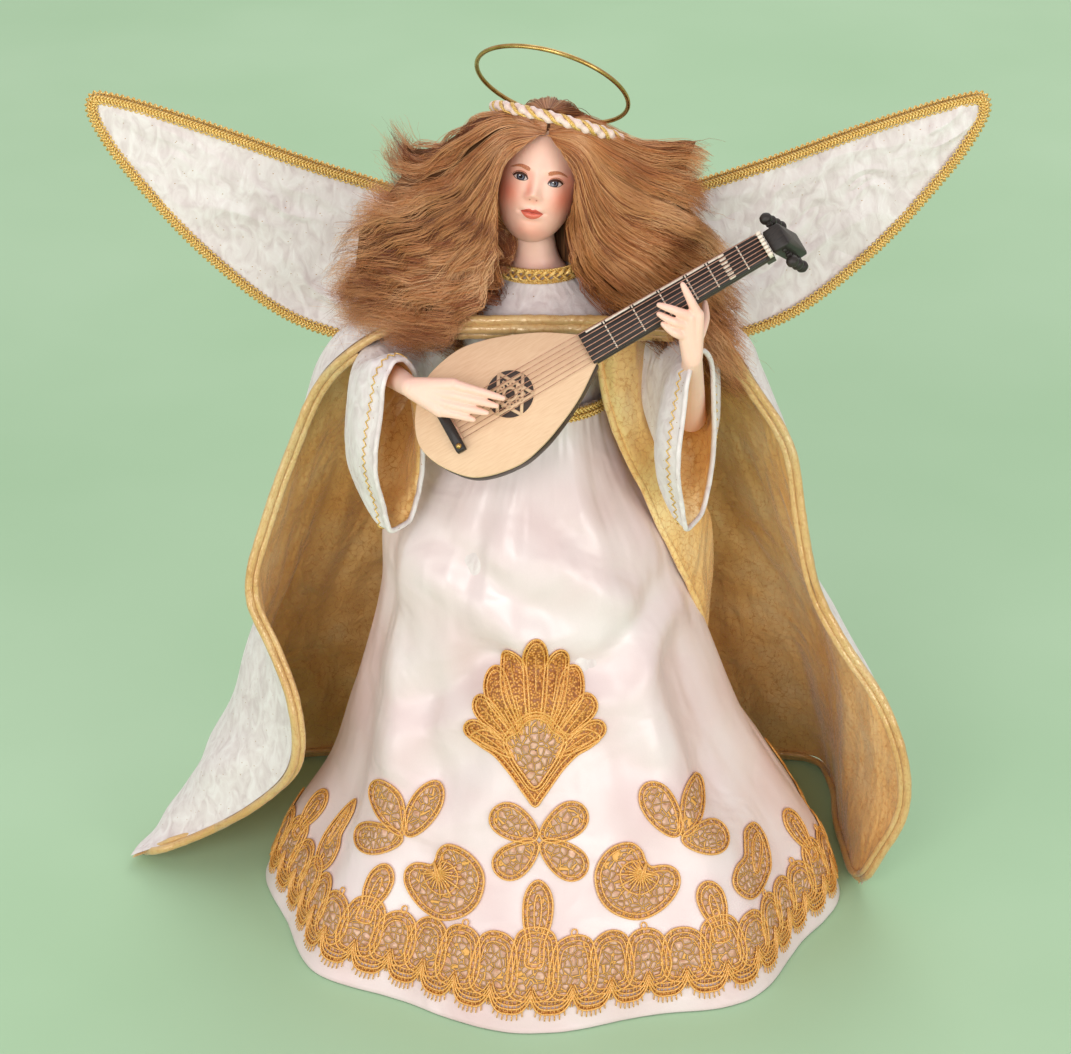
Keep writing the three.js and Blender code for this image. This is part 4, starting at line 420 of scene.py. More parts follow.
def make_gold_thread():
    paint = Paint("gold_thread", 0.36, 0.15, Specular_IOR_Level=0.8)
    strands = paint.noise(size=0.34)
    paint.colour(paint.ramp(strands, *THREAD_TONES))
    return paint.bump(strands, depth=0.2, strength=0.9).material


def make_gold_cord():
    paint = Paint("gold_cord", 0.34, 0.5, Specular_IOR_Level=0.7)
    strands = paint.noise(size=0.5)
    paint.colour(paint.ramp(strands, *CORD_TONES))
    return paint.bump(strands, depth=0.25, strength=0.9).material


def make_lace_net():
    paint = Paint("lace_net", 0.42, Specular_IOR_Level=0.6)
    edge = paint.cells(3.3, warp=0.2)
    tone = paint.ramp(paint.noise(size=2.4, detail=1), *NET_TONES)
    share = paint.ramp(edge, (0.04, 1.0), (0.075, 0.0))
    # Each cell darkens towards its threads: painted shade that makes it look rounded.
    shade = paint.ramp(edge, (0.06, 0.4), (0.17, 1.0))
    net_cells_shaded = paint.mix(1.0, tone, shade, "MULTIPLY")
    paint.colour(paint.mix(share, net_cells_shaded, NET_THREAD))
    raised = paint.ramp(edge, (0.0, 0.75), (0.04, 0.65), (0.08, 0.1), (0.42, 1.0))
    return paint.bump(raised, depth=1.1).material


def make_seed_stitch():
    """Close rows of knots in gold thread."""
    paint = Paint("seed_stitch", 0.42, 0.15, Specular_IOR_Level=0.75)
    knots = paint.cells(1.15, "F1")
    # Each knot is light at its middle and dark at its rim: painted highlight and shade.
    paint.colour(paint.ramp(knots, *SEED_LIT_AND_SHADED_TONES))
    return paint.bump(paint.ramp(knots, (0.0, 1.0), (0.7, 0.0)), depth=0.5, strength=0.9).material


def make_skin(name, tone, blush_and_shade):
    depth = dict(Subsurface_Weight=0.1, Subsurface_Scale=2 * MM)
    paint = Paint(name, 0.42, Coat_Weight=0.08, Coat_Roughness=0.35, **depth)
    lighter = tuple(min(c * 1.04, 1) for c in tone)
    mottle = paint.ramp(paint.noise(size=7, detail=3), (0.3, tone), (0.7, lighter))
    pink = paint.node("ShaderNodeAttribute", attribute_name="blush_and_shade")
    paint.colour(paint.mix(pink.outputs["Fac"], mottle, blush_and_shade))
    paint.drive("Roughness", paint.ramp(paint.noise(size=2.2), (0.3, 0.38), (0.7, 0.48)))
    return paint.bump(paint.noise(size=0.5), depth=0.02, strength=0.4).material


def make_flat_paint(name, tone, rough=0.35, size=0.5, spread=0.15):
    """A thin coat of paint on the face, with brush marks."""
    paint = Paint(name, rough, Coat_Weight=0.2, Coat_Roughness=0.2)
    low = tuple(c * (1 - spread) for c in tone)
    high = tuple(min(c * (1 + spread), 1) for c in tone)
    paint.colour(paint.ramp(paint.noise(size), (0.3, low), (0.7, high)))
    return paint.material


def make_hair(name, low, middle, high):
    paint = Paint(name, 0.34, Specular_IOR_Level=0.65)
    paint.colour(paint.ramp(paint.noise(size=24), (0.3, low), (0.5, middle), (0.7, high)))
    return paint.material


def make_hair_under_shade():
    paint = Paint("hair_under", 0.7, marks=True)
    combed = paint.noise(size=1, detail=4, stretch=(0.45, 20, 1), distortion=0.4)
    # Dark as painted shade, with a combed grain.
    paint.colour(paint.ramp(combed, *UNDER_SHADE_TONES))
    return paint.bump(combed, depth=1.0).material


def make_brass():
    paint = Paint("brass", 0.28, 1.0)
    paint.colour(paint.ramp(paint.noise(size=5, detail=3), *BRASS_TONES))
    paint.drive("Roughness", paint.ramp(paint.noise(size=1.6, detail=3), (0.3, 0.2), (0.7, 0.38)))
    return paint.bump(paint.noise(size=0.6), depth=0.03, strength=0.5).material


def make_wood(name, low, high, rough, grain, line, coat=0.0):
    """Wood with its grain along the first direction of the marks."""
    paint = Paint(name, rough, marks=True, Coat_Weight=coat, Coat_Roughness=0.15)
    lines = paint.noise(size=line, detail=3, stretch=(grain, 1, 1), distortion=0.3)
    broad = paint.noise(size=9, stretch=(3, 1, 1))
    tone = paint.ramp(lines, (0.3, low), (0.7, high))
    paint.colour(paint.mix(0.25, tone, paint.ramp(broad, (0.3, low), (0.7, high))))
    return paint.bump(lines, depth=0.05, strength=0.5).material


def make_bone():
    paint = Paint("bone", 0.35, Coat_Weight=0.2)
    paint.colour(paint.ramp(paint.noise(size=1.4), *BONE_TONES))
    return paint.material


def make_string():
    paint = Paint("string", 0.4, 0.2)
    paint.colour(paint.ramp(paint.noise(size=1.5), *STRING_TONES))
    return paint.material


def make_card():
    paint = Paint("card", 0.9)
    fibres = paint.noise(size=1.2, detail=3, stretch=(1, 1, 3))
    paint.colour(paint.ramp(fibres, *CARD_TONES))
    return paint.bump(fibres, depth=0.1, strength=0.6).material


def make_ribbon():
    paint = Paint("pink_satin", 0.32, Sheen_Weight=0.3)
    threads = paint.noise(size=0.4)
    paint.colour(paint.ramp(threads, *RIBBON_TONES))
    return paint.bump(threads, depth=0.1, strength=0.6).material


def make_floor():
    paint = Paint("floor", 0.9)
    paint.colour(paint.ramp(paint.noise(size=300, detail=3), *FLOOR_TONES))
    return paint.material


satin = make_satin()
crinkle = make_crinkle()
brocade = make_brocade()
gold_thread = make_gold_thread()
gold_cord = make_gold_cord()
lace_net = make_lace_net()
seed_stitch = make_seed_stitch()
skin = make_skin("porcelain", (0.94, 0.60, 0.485), (0.94, 0.29, 0.19))
brass = make_brass()
spruce = make_wood("spruce", (0.72, 0.46, 0.28), (0.82, 0.57, 0.37), 0.55, 9, 0.7)
ebony = make_wood("ebony", (0.010, 0.007, 0.006), (0.030, 0.020, 0.016), 0.5, 8, 0.6)
walnut = make_wood("walnut", (0.02, 0.011, 0.008), (0.055, 0.03, 0.02), 0.5, 10, 0.8, 0.1)
bone = make_bone()
string = make_string()
card = make_card()
ribbon = make_ribbon()
hair_under = make_hair_under_shade()
# The light tone is also painted highlight on the front layers, and the dark one painted shade in the deeper
# ones.
hair_tones = [
    make_hair("hair_light", (0.56, 0.235, 0.08), (0.73, 0.36, 0.145), (0.88, 0.52, 0.27)),
    make_hair("hair_ginger", (0.42, 0.14, 0.04), (0.60, 0.235, 0.075), (0.72, 0.33, 0.125)),
    make_hair("hair_auburn_and_shade", (0.19, 0.05, 0.014), (0.33, 0.095, 0.028), (0.48, 0.165, 0.05)),
]


# Camera, floor and light

SEEN_FROM_DEGREES = 28
SEEN_FROM = math.radians(SEEN_FROM_DEGREES)
CAMERA_PLACE = (-0.0012, -1.3394, 0.9042)
LENS, SENSOR, SEES_TO = 112.04, 36, 30
FLOOR_RINGS = (1.0, 300.0, 900.0, 2500.0, 9000.0)
FLOOR_SIDES = 48
LIGHT_TARGET = (0, 0, 0.2)
# Each light's place, size, power and tone.
LIGHTS = {
    "key": ((-0.5, -1.8, 1.2), 0.7, 12.5, (1.0, 0.975, 0.955)),
    "fill": ((1.2, -1.6, 0.5), 0.9, 8.5, (1.0, 0.975, 0.965)),
    "side": ((-1.3, -1.3, 0.4), 0.9, 6.5, (1.0, 0.975, 0.965)),
    "low": ((0.9, -1.5, 0.15), 0.9, 4, (1.0, 0.975, 0.965)),
    "rim": ((0.3, 1.5, 1.5), 1.2, 8, (1.0, 0.98, 0.95)),
}
SKY_TONE, SKY_STRENGTH = (1.0, 0.965, 0.965, 1), 0.7


def set_camera():
    camera = bpy.data.cameras.new("camera")
    camera.lens = LENS
    camera.sensor_width = SENSOR
    camera.clip_end = SEES_TO
    holder = bpy.data.objects.new("camera", camera)
    holder.location = CAMERA_PLACE
    holder.rotation_euler = (math.radians(90 - SEEN_FROM_DEGREES), 0, 0)
    bpy.context.scene.collection.objects.link(holder)
    bpy.context.scene.camera = holder


def set_floor():
    rows = [ellipse(0, reach, 1, FLOOR_SIDES) for reach in FLOOR_RINGS]
    Shape().grid(rows, round_=True).make("floor", make_floor())


def add_light(name, place, size, power, tone):
    light = bpy.data.lights.new(name, "AREA")
    light.size = size
    light.energy = power
    light.color = tone
    holder = bpy.data.objects.new(name, light)
    bpy.context.scene.collection.objects.link(holder)
    tangent = unit(np.asarray(LIGHT_TARGET, float) - np.asarray(place, float))
    side = unit(np.cross(tangent, (0, 0, 1)))
    up = np.cross(side, tangent)
    holder.matrix_world = as_matrix(side, up, -tangent, place)


def as_matrix(first, second, third, place):
    """The matrix that has these three directions and this place."""
    return Matrix([[*v] for v in np.c_[np.c_[first, second, third], place]] + [[0, 0, 0, 1]])


def set_light():
    for name, facts in LIGHTS.items():
        add_light(name, *facts)
    world = bpy.data.worlds.new("studio")
    world.use_nodes = True
    back = world.node_tree.nodes["Background"]
    back.inputs["Color"].default_value = SKY_TONE
    back.inputs["Strength"].default_value = SKY_STRENGTH
    bpy.context.scene.world = world
    bpy.context.scene.view_settings.view_transform = "Standard"


# The dress

WAIST, HEM, SKIRT_FOLD = 262, 136, 4.2
SKIRT_COLUMNS, SKIRT_ROWS, SKIRT_THICK = 480, 190, 1.0
SKIRT_INSIDE = (0.9, 3, 6, 12, 18, 24)
NET_TOP, NET_FOOT, NET_ROWS, NET_BEHIND, NET_EASE = 255, 2, 60, 13, 11
FRILL, FRILLS, FRILL_AT = 1.6, 60, 130
CHART_TURNS, CHART_TOP = 1440, 200
# Height as a share of the waist's, then half width and lean as shares of the hem's.
SKIRT_SHARES = [
    [0, 1, 0.05], [0.12, 0.912, 0.068], [0.248, 0.765, 0.07], [0.39, 0.647, 0.025], [0.508, 0.574, 0.005],
    [0.626, 0.515, -0.015], [0.76, 0.463, -0.035], [0.86, 0.345, -0.03], [0.94, 0.255, -0.01], [1, 0.225, 0],
]
# Creases of the satin in front: from and to, as distance across and height, then depth and width.
CREASES = [
    [-66, 120, -20, 158, 2.6, 8], [-20, 158, 30, 150, 2.8, 8], [30, 150, 58, 176, 2.4, 8],
    [-40, 205, 10, 178, 2.2, 9],
    [18, 214, 48, 186, 2.0, 7], [-58, 168, -54, 96, 2.2, 10], [60, 150, 74, 84, 2.4, 10],
    [-14, 232, -30, 186, 1.4, 6],
    [26, 236, 44, 196, 1.4, 6], [-70, 84, -30, 112, 1.6, 10], [40, 108, 80, 74, 1.6, 10],
]


def crease_ripple(across, height):
    """The creases of the satin, each a soft valley beside a low ridge."""
    crease = 0
    for x0, z0, x1, z1, deep, wide in CREASES:
        length = math.hypot(x1 - x0, z1 - z0)
        along = ((across - x0) * (x1 - x0) + (height - z0) * (z1 - z0)) / length
        off = ((across - x0) * (z1 - z0) - (height - z0) * (x1 - x0)) / length
        near = np.exp(-(off / wide) ** 2) - 0.6 * np.exp(-((off - 1.5 * wide) / (1.2 * wide)) ** 2)
        ends = smoothstep(along, -16, 12) * smoothstep(along, length + 18, length - 10)
        crease = crease - 1.8 * deep * near * ends
    return crease


def skirt_ripple(angle, height):
    place = height / WAIST
    gathers = 0.3 * np.exp(-(WAIST - height) / 9) * np.cos(40 * angle + 2 * np.sin(3 * angle))
    soft = 0.45 * np.cos(9 * angle + height / 60) * smoothstep(place, 0.1, 0.6)
    loose = 2.0 * noise(angle * 3.0 + 20, height / 90, 3) * smoothstep(place, 1.0, 0.75)
    fine = 0.3 * noise(angle * 9 + 9, height / 30, 5)
    across = HEM * share_at(SKIRT_SHARES, place, 1) * np.cos(angle)
    in_front = smoothstep(np.sin(angle), 0.0, -0.4)
    return gathers + soft + loose + fine + crease_ripple(across, height) * in_front


def skirt_point(angle, height, out=0.0, folds=1.0, ripple=1.0):
    angle, height = np.broadcast_arrays(np.asarray(angle, float), np.asarray(height, float))
    place = height / WAIST
    spread = HEM * share_at(SKIRT_SHARES, place, 1)
    fold = folds * SKIRT_FOLD * (1 - place) * np.cos(8 * angle + math.pi / 4)
    radius = spread + fold + out + ripple * skirt_ripple(angle, height)
    depth = np.where(np.sin(angle) < 0, 0.9, 0.78)
    lean = HEM * share_at(SKIRT_SHARES, place, 2)
    return np.stack([lean + radius * np.cos(angle), depth * radius * np.sin(angle), height], axis=-1)


def make_skirt():
    angle = np.linspace(0, TAU, SKIRT_COLUMNS, endpoint=False)
    ring = lambda height, out=0.0: skirt_point(angle, np.full_like(angle, height), out)
    outer = [ring(z) for z in np.linspace(WAIST + 2, SKIRT_INSIDE[0], SKIRT_ROWS)]
    edge = [ring(0.35, -SKIRT_THICK / 2)]
    inner = [ring(z, -SKIRT_THICK) for z in SKIRT_INSIDE]
    rows = np.array(outer + edge + inner)[::-1]
    return piece(Shape().grid(rows, round_=True), "skirt", satin, nodes=["dress_skirt"])


def make_petticoat():
    angle = np.linspace(0, TAU, SKIRT_COLUMNS, endpoint=False)[::2]
    rows = []
    for height in np.linspace(NET_FOOT, NET_TOP, NET_ROWS):
        out = -NET_BEHIND + NET_EASE * height / WAIST
        rows.append(skirt_point(angle, np.full_like(angle, height), out, 0, 0))
    rows = np.array(rows)
    fade = (1 - np.linspace(0, 1, NET_ROWS))[:, None, None]
    frill = FRILL * np.cos(FRILLS * angle)[None, :, None] * fade
    rows[..., :2] *= 1 + (frill - FRILL) / FRILL_AT
    return piece(Shape().grid(rows, round_=True), "petticoat", crinkle, nodes=["underskirt"])


def skirt_chart():
    """The skirt's face and its normals on an even net of angles and heights, to be read between."""
    turns, heights = np.linspace(0, TAU, CHART_TURNS + 1), np.arange(0.0, CHART_TOP + 1)
    angle, height = np.meshgrid(turns, heights, indexing="ij")
    spot = skirt_point(angle, height)
    across = skirt_point(angle + 0.004, height) - spot
    up = skirt_point(angle, height + 0.5) - spot
    return np.concatenate([spot, unit(np.cross(across, up))], axis=-1)


chart = skirt_chart()


def on_skirt(angle, height, lift):
    """Points a little off the skirt's face, along its normal."""
    angle = np.asarray(angle, float) % TAU
    height = np.clip(np.asarray(height, float), 0, CHART_TOP - 0.1)
    u = angle / TAU * CHART_TURNS
    i, j = np.minimum(u.astype(int), CHART_TURNS - 1), height.astype(int)
    a, b = (u - i)[..., None], (height - j)[..., None]
    low = chart[i, j] * (1 - a) + chart[i + 1, j] * a
    high = chart[i, j + 1] * (1 - a) + chart[i + 1, j + 1] * a
    at = low * (1 - b) + high * b
    return at[..., :3] + np.asarray(lift, float)[..., None] * at[..., 3:]


def as_seen(spot):
    """Where a point is in the picture from the front, across and up."""
    up = spot[..., 2] * math.cos(SEEN_FROM) + spot[..., 1] * math.sin(SEEN_FROM)
    return np.stack([spot[..., 0], up], axis=-1)


class Patch:
    """A flat drawing in millimetres, laid on the skirt round one spot.

    One that is seen looks from the front as it is drawn.
    """

    def __init__(self, angle, height, seen=False):
        self.angle, self.height, self.seen = math.radians(angle), height, seen
        plain = lambda turn, up: skirt_point(self.angle + turn, height + up, ripple=0)
        step, rise = plain(0.01, 0) - plain(-0.01, 0), plain(0, 1) - plain(0, -1)
        self.reach = np.linalg.norm(step) / 0.02
        self.girth = share_at(SKIRT_SHARES, height / WAIST, 1)
        self.back = np.linalg.pinv(np.stack([as_seen(step) / 0.02, as_seen(rise) / 2], axis=1))

    def find(self, flat):
        """The angles and heights that a drawing has from the front."""
        spot = np.broadcast_to([self.angle, float(self.height)], flat.shape).copy()
        wanted = as_seen(skirt_point(self.angle, self.height, ripple=0)) + flat
        for _ in range(8):
            missing = wanted - as_seen(skirt_point(spot[..., 0], spot[..., 1], ripple=0))
            spot += 0.75 * missing @ self.back.T
        return spot[..., 0], spot[..., 1]

    def lay(self, flat, lift):
        flat = np.asarray(flat, float)
        lift = np.broadcast_to(lift, flat.shape[:-1])
        if self.seen:
            return on_skirt(*self.find(flat), lift)
        height = self.height + flat[..., 1]
        reach = self.reach * share_at(SKIRT_SHARES, np.clip(height / WAIST, 0, 1), 1) / self.girth
        return on_skirt(self.angle + flat[..., 0] / reach, height, lift)


def lobe(start, end, half, count=44, blunt=0.0):
    """A closed leaf outline from start to end, round at its end, narrow at its start where blunt."""
    start, end = np.asarray(start, float), np.asarray(end, float)
    turn = TAU * np.arange(count) / count
    along = (1 - np.cos(turn)) / 2
    root = np.clip(along, 1e-6, 1) ** (0.42 + 0.4 * blunt)
    body = root * np.sqrt(np.clip(1 - along ** (2.6 + 4 * blunt), 0, 1))
    width = half * np.sign(np.sin(turn)) * body / max(body.max(), 1e-6)
    way = end - start
    side = np.array([-way[1], way[0]]) / np.linalg.norm(way)
    return start + along[:, None] * way + width[:, None] * side


def shrunk(outline, distance):
    """A closed outline drawn in by a distance, towards its own inside."""
    ahead = np.roll(outline, -1, 0) - np.roll(outline, 1, 0)
    normal = unit(np.stack([-ahead[:, 1], ahead[:, 0]], axis=1))
    area = np.sum(outline[:, 0] * np.roll(outline[:, 1], -1) - outline[:, 1] * np.roll(outline[:, 0], -1))
    return outline + distance * normal * np.sign(area)


def draw_cord(cords, patch, path, radius=0.5, lift=0.9, loop=True):
    cords.tube(patch.lay(path, lift), radius, 5, loop)


def draw_stitches(cords, patch, outer, inner, step=2, radius=0.2, lift=0.75):
    for i in range(0, len(outer), step):
        cords.tube(patch.lay(np.array([outer[i], (outer[i] + inner[i]) / 2, inner[i]]), lift), radius, 4)


def fill_net(net, patch, outline, lift=0.35, rise=0.5):
    middle = outline.mean(0)
    scale = np.linspace(0.02, 1, 7)
    rows = middle + scale[:, None, None] * (outline - middle)
    net.grid(patch.lay(rows, lift + rise * (1 - scale[:, None] ** 2) * np.ones(len(outline))), round_=True)


def draw_lobe(cords, net, patch, outline, band=1.9, radius=0.5, step=2, filled=True):
    inner = shrunk(outline, band)
    draw_cord(cords, patch, outline, radius)
    draw_cord(cords, patch, inner, 0.75 * radius, 0.85)
    draw_stitches(cords, patch, outline, inner, step)
    if filled:
        fill_net(net, patch, outline)


# Lobes of the lace, each from a place across and up to another, then its half width.
FAN = [
    [0, 30, 0, 74.8, 5.6], [3, 29, 12.2, 69.0, 5.6], [5, 28, 19.6, 60.0, 5.6],
    [7, 25, 25.2, 49.0, 5.4], [9, 22, 30.6, 36.5, 5.0],
]
PETALS = [
    [1.0, 0.8, 20, 14, 7.6], [-1.0, 0.8, -20, 14, 7.6], [1.0, -0.8, 20, -15.5, 7.6],
    [-1.0, -0.8, -18.5, -15.5, 7.6],
]
TREFOIL = [[-1, 0, -14, 22.5, 7.4], [1, 0, 14, 24, 6.6], [1, -1, 24, -3.2, 7.2]]
LEAF = [
    (0, 15.6), (4.7, 10.8), (7.2, 4), (7.4, -5.2), (3.4, -12), (-2.1, -15.2), (-8.1, -12.4), (-11, -7.2),
    (-9.4, -1.2), (-5, 2.4),
    (-4.4, 7.6), (-3.6, 12.8),
]
PANSY = [
    (3.4, 8.4), (1.3, 13.6), (-2.5, 16.8), (-8, 16.4), (-14.5, 12.4), (-18.7, 5.6), (-19.1, -0.8),
    (-16.2, -9.2), (-10.2, -14.8),
    (0, -17.6), (9, -14.4), (15.3, -8.4), (18.3, -1.6), (17.4, 3.6), (14, 6.4), (9.4, 6.8), (5.5, 6.4),
]
MOTIFS = {
    "lace_palmette": (-93.5, 96), "lace_flower": (-93.8, 81.4), "lace_trefoil_right": (-132.5, 69.7),
    "lace_trefoil_left": (-57.6, 76.6), "lace_pansy_right": (-119.8, 55.5), "lace_pansy_left": (-70.6, 59.5),
    "lace_leaf_right": (-160, 48), "lace_leaf_left": (-37.1, 50.7),
}


# Half outlines, mirrored to the other side.
PALMETTE_EDGE = [
    (0, 0), (4, 5), (12, 16), (18, 22), (25, 26), (29, 30), (23, 34), (14, 32), (9, 37), (5, 42), (0, 44),
]
PALMETTE_HEART = [(0, 9), (5, 15), (10, 23), (12, 30), (7, 34), (4, 39), (0, 41)]
SPIRE = [(-3.2, 31), (-3.6, 38), (-5.6, 44), (-5.6, 50), (-3.2, 54), (0, 55.4)]


def mirrored(spots, count, foot=()):
    """A closed smooth outline from one half of it, which ends on the middle line."""
    return curve_through(spots + [(-x, z) for x, z in spots[-2::-1]] + list(foot), count, True)


def draw_palmette(cords, net, seeds, patch):
    for x0, z0, x1, z1, half in FAN[::-1]:
        for way in ((1, -1) if x1 else (1,)):
            outline = lobe((way * x0, z0), (way * x1, z1), half, blunt=0.6)
            draw_lobe(cords, net, patch, outline, 1.5, 0.5, 2, False)
            fill_net(seeds, patch, outline, 0.4, 0.7)
            middle = (way * (x0 + x1) / 2, (z0 + z1) / 2)
            tip = (way * (0.15 * x0 + 0.85 * x1), 0.15 * z0 + 0.85 * z1)
            draw_cord(cords, patch, np.array([(way * x0, z0), middle, tip]), 0.35, 1.25, False)
    edge, heart = PALMETTE_EDGE, PALMETTE_HEART
    outline = curve_through(edge + [(-x, z) for x, z in edge[-2:0:-1]], 120, True)
    draw_lobe(cords, net, patch, outline, 2.2, 0.6, 2, False)
    fill_net(seeds, patch, outline, 0.45, 0.4)
    outline = curve_through(heart + [(-x, z) for x, z in heart[-2:0:-1]], 90, True)
    fill_net(net, patch, outline, 0.9, 1.2)
    draw_cord(cords, patch, outline, 0.55, 1.3)
    draw_cord(cords, patch, shrunk(outline, -1.6), 0.45, 1.1)
    draw_stitches(cords, patch, outline, shrunk(outline, -1.6), 2)


def draw_pansy(cords, net, patch, way):
    outline = curve_through(np.array(PANSY) * [way, 1], 110, True)
    draw_lobe(cords, net, patch, outline, 2.3, 0.55, 2)
    centre = np.array([way * 1.5, 3.0])
    inner = shrunk(outline, 2.6)
    for i in range(4, 106, 5):
        reach = 0.42 if i % 2 else 0.62
        draw_cord(cords, patch, np.array([centre, centre + reach * (inner[i] - centre)]), 0.42, 1.3, False)
    draw_cord(cords, patch, centre + 0.52 * (inner - centre), 0.4, 1.25)
    for k in (-1, 1):
        draw_cord(cords, patch, np.array([outline[0], centre + [k, -3.5]]), 0.6, 1.3, False)


def draw_leaf(cords, net, patch, way):
    outline = curve_through(1.07 * np.array(LEAF) * [way, 1], 80, True)
    draw_lobe(cords, net, patch, outline)
    draw_lobe(cords, net, patch, lobe((way * 1, -6), (way * 2, 12), 2.6, 30), 1.0, 0.42, 2, False)


def draw_lobes(cords, net, patch, way, lobes):
    for x0, z0, x1, z1, half in lobes:
        draw_lobe(cords, net, patch, lobe((way * x0, z0), (way * x1, z1), half, blunt=0.12))


def make_motifs():
    made = []
    for name, (angle, height) in MOTIFS.items():
        cords, net, seeds = Shape(), Shape(), Shape()
        patch = Patch(angle, height, name != "lace_leaf_right")
        way = -1 if name.endswith("right") else 1
        if "palmette" in name:
            draw_palmette(cords, net, seeds, patch)
            made.append(piece(seeds, name + "_seeds", seed_stitch))
        elif "pansy" in name:
            draw_pansy(cords, net, patch, way)
        elif "leaf" in name:
            draw_leaf(cords, net, patch, way)
        else:
            draw_lobes(cords, net, patch, way, PETALS if "flower" in name else TREFOIL)
        made.append(piece(cords, name + "_cords", gold_thread, nodes=[name]))
        made.append(piece(net, name + "_net", lace_net))
    return made


def draw_arch(cords, net, patch, half, top):
    """An upright round-headed loop of the hem lace, with stitches across its band."""
    low = [(-0.75 * half, 17), (-half, 23), (-0.98 * half, 28)]
    high = [(-0.72 * half, top - 3.4), (-0.38 * half, top - 0.7), (0, top)]
    outline = mirrored(low + high, 60, [(0, 15.5)])
    draw_lobe(cords, net, patch, outline, 2.1, 0.52, 2)
    draw_cord(cords, patch, shrunk(outline, 4.0)[8:-8], 0.36, 1.3, False)


def draw_spire(cords, net, patch, more=0.0):
    foot = SPIRE[0][1]
    spots = [(1.1 * x, foot + (z - foot) * (1 + more / 24)) for x, z in SPIRE]
    draw_lobe(cords, net, patch, mirrored(spots, 64), 1.8, 0.55, 2)
    draw_cord(cords, patch, lobe((0, 36 + more), (0, 50 + more), 1.6, 24), 0.42, 1.2)


BOW_DROPS = (9.5, 11.6, 13.4, 15.6)


def bow_height(t, k=0):
    """The height of a garland's bow above the hem, at a share of its half width."""
    return BOW_DROPS[k] + (7.4 - 0.6 * k) * t ** 4 + 1.2 * t ** 2


def draw_scallop(cords, seeds, patch, half):
    """A hanging garland of nested bows with a fringe of short threads."""
    turn = np.linspace(-1, 1, 21)
    bows = []
    for k in range(len(BOW_DROPS)):
        bow = np.stack([half * turn * (1 - 0.04 * k), bow_height(turn, k)], axis=1)
        draw_cord(cords, patch, bow, 0.5 - 0.05 * k, 1.3, False)
        bows.append(bow)
    for first, second in zip(bows[:-1], bows[1:]):
        draw_stitches(cords, patch, first, second, 2, 0.24, 1.1)
    seeds.grid(patch.lay(np.array([bows[0], bows[1]]), 0.7))
    for t in np.linspace(-0.86, 0.86, 9):
        foot = np.array([half * t, bow_height(t)])
        length = 2.2 + 1.1 * (1 - t * t)
        tip = foot + [0.7 * t, -length]
        draw_cord(cords, patch, np.array([foot, (foot + tip) / 2, tip]), 0.32, 0.9, False)


HEM_LACE_FROM, HEM_ARCHES, SPIRE_GAP = -95, 45, 40
ARCH_TALL, ARCH_BY_SPIRE, ARCH_IN_FRONT = 36.5, 40.0, 6.5
HEM_NET_FOOT, HEM_NET_TOP = 13, 31


def arch_top(angle):
    """The height of an arch: taller beside a spire, and taller in front."""
    past_spire = (angle - HEM_LACE_FROM) % SPIRE_GAP
    beside = min(past_spire, SPIRE_GAP - past_spire) < 8
    from_front = (angle % 360 - (360 + HEM_LACE_FROM)) / 32
    return (ARCH_BY_SPIRE if beside else ARCH_TALL) + ARCH_IN_FRONT * math.exp(-from_front ** 2)


def make_hem_lace():
    cords, net, seeds = Shape(), Shape(), Shape()
    for i in range(HEM_ARCHES):
        angle = HEM_LACE_FROM + i * 360 / HEM_ARCHES
        patch, top = Patch(angle, 0), arch_top(angle)
        draw_arch(cords, net, patch, patch.reach * math.pi / HEM_ARCHES * 1.16, top)
        if i % 2:
            draw_cord(cords, patch, lobe((0, top - 0.5), (0, top + 2.5), 1.3, 16), 0.4, 1.1)
    for k in range(360 // SPIRE_GAP):
        draw_spire(cords, net, Patch(HEM_LACE_FROM + k * SPIRE_GAP, 0), 9.0 if k == 0 else 0.0)
    for i in range(HEM_ARCHES):
        patch = Patch(HEM_LACE_FROM + (i + 0.5) * 360 / HEM_ARCHES, 0)
        draw_scallop(cords, seeds, patch, patch.reach * math.pi / HEM_ARCHES)
    band = np.linspace(0, TAU, 720, endpoint=False)
    at = lambda height: on_skirt(band, np.full_like(band, height), np.full_like(band, 0.35))
    net.grid([at(height) for height in np.linspace(HEM_NET_FOOT, HEM_NET_TOP, 16)], round_=True)
    return [
        piece(cords, "hem_lace_cords", gold_thread, nodes=["hem_lace"]),
        piece(net, "hem_lace_net", lace_net),
        piece(seeds, "hem_lace_seeds", seed_stitch),
    ]


# Body, collar and belt

TORSO_HALF, TORSO_DEPTH, TORSO_TOP, COLLAR = 26.6, 0.74, 304, 323
# Height between waist and collar as a share, and half width as a share of the torso's.
BODICE_SHARES = [
    [0.01, 1.12], [0.22, 1.15], [0.46, 1.31], [0.62, 1.36], [0.71, 1.29], [0.8, 1.05], [0.9, 0.71],
    [1, 0.655],
]
COLLAR_HALF, COLLAR_DEPTH, BELT_DEPTH = 18.8, 0.78, 0.9


def make_bodice():
    rows = []
    for z in np.linspace(WAIST - 3, COLLAR, 70):
        half = TORSO_HALF * share_at(BODICE_SHARES, (z - WAIST) / (COLLAR - WAIST), 1)
        ring = ellipse(z, half, TORSO_DEPTH, 160)
        turn = np.linspace(0, TAU, 160, endpoint=False)
        fold = 0.7 * noise(7 * np.cos(turn) + 9, z / 11 + 3 * np.sin(turn), 8, 3)
        ring[:, :2] *= (1 + fold / half)[:, None]
        rows.append(ring)
    cloth = Shape().grid(rows, round_=True)
    return piece(cloth, "bodice_cloth", crinkle, nodes=["bodice", "torso_form"])


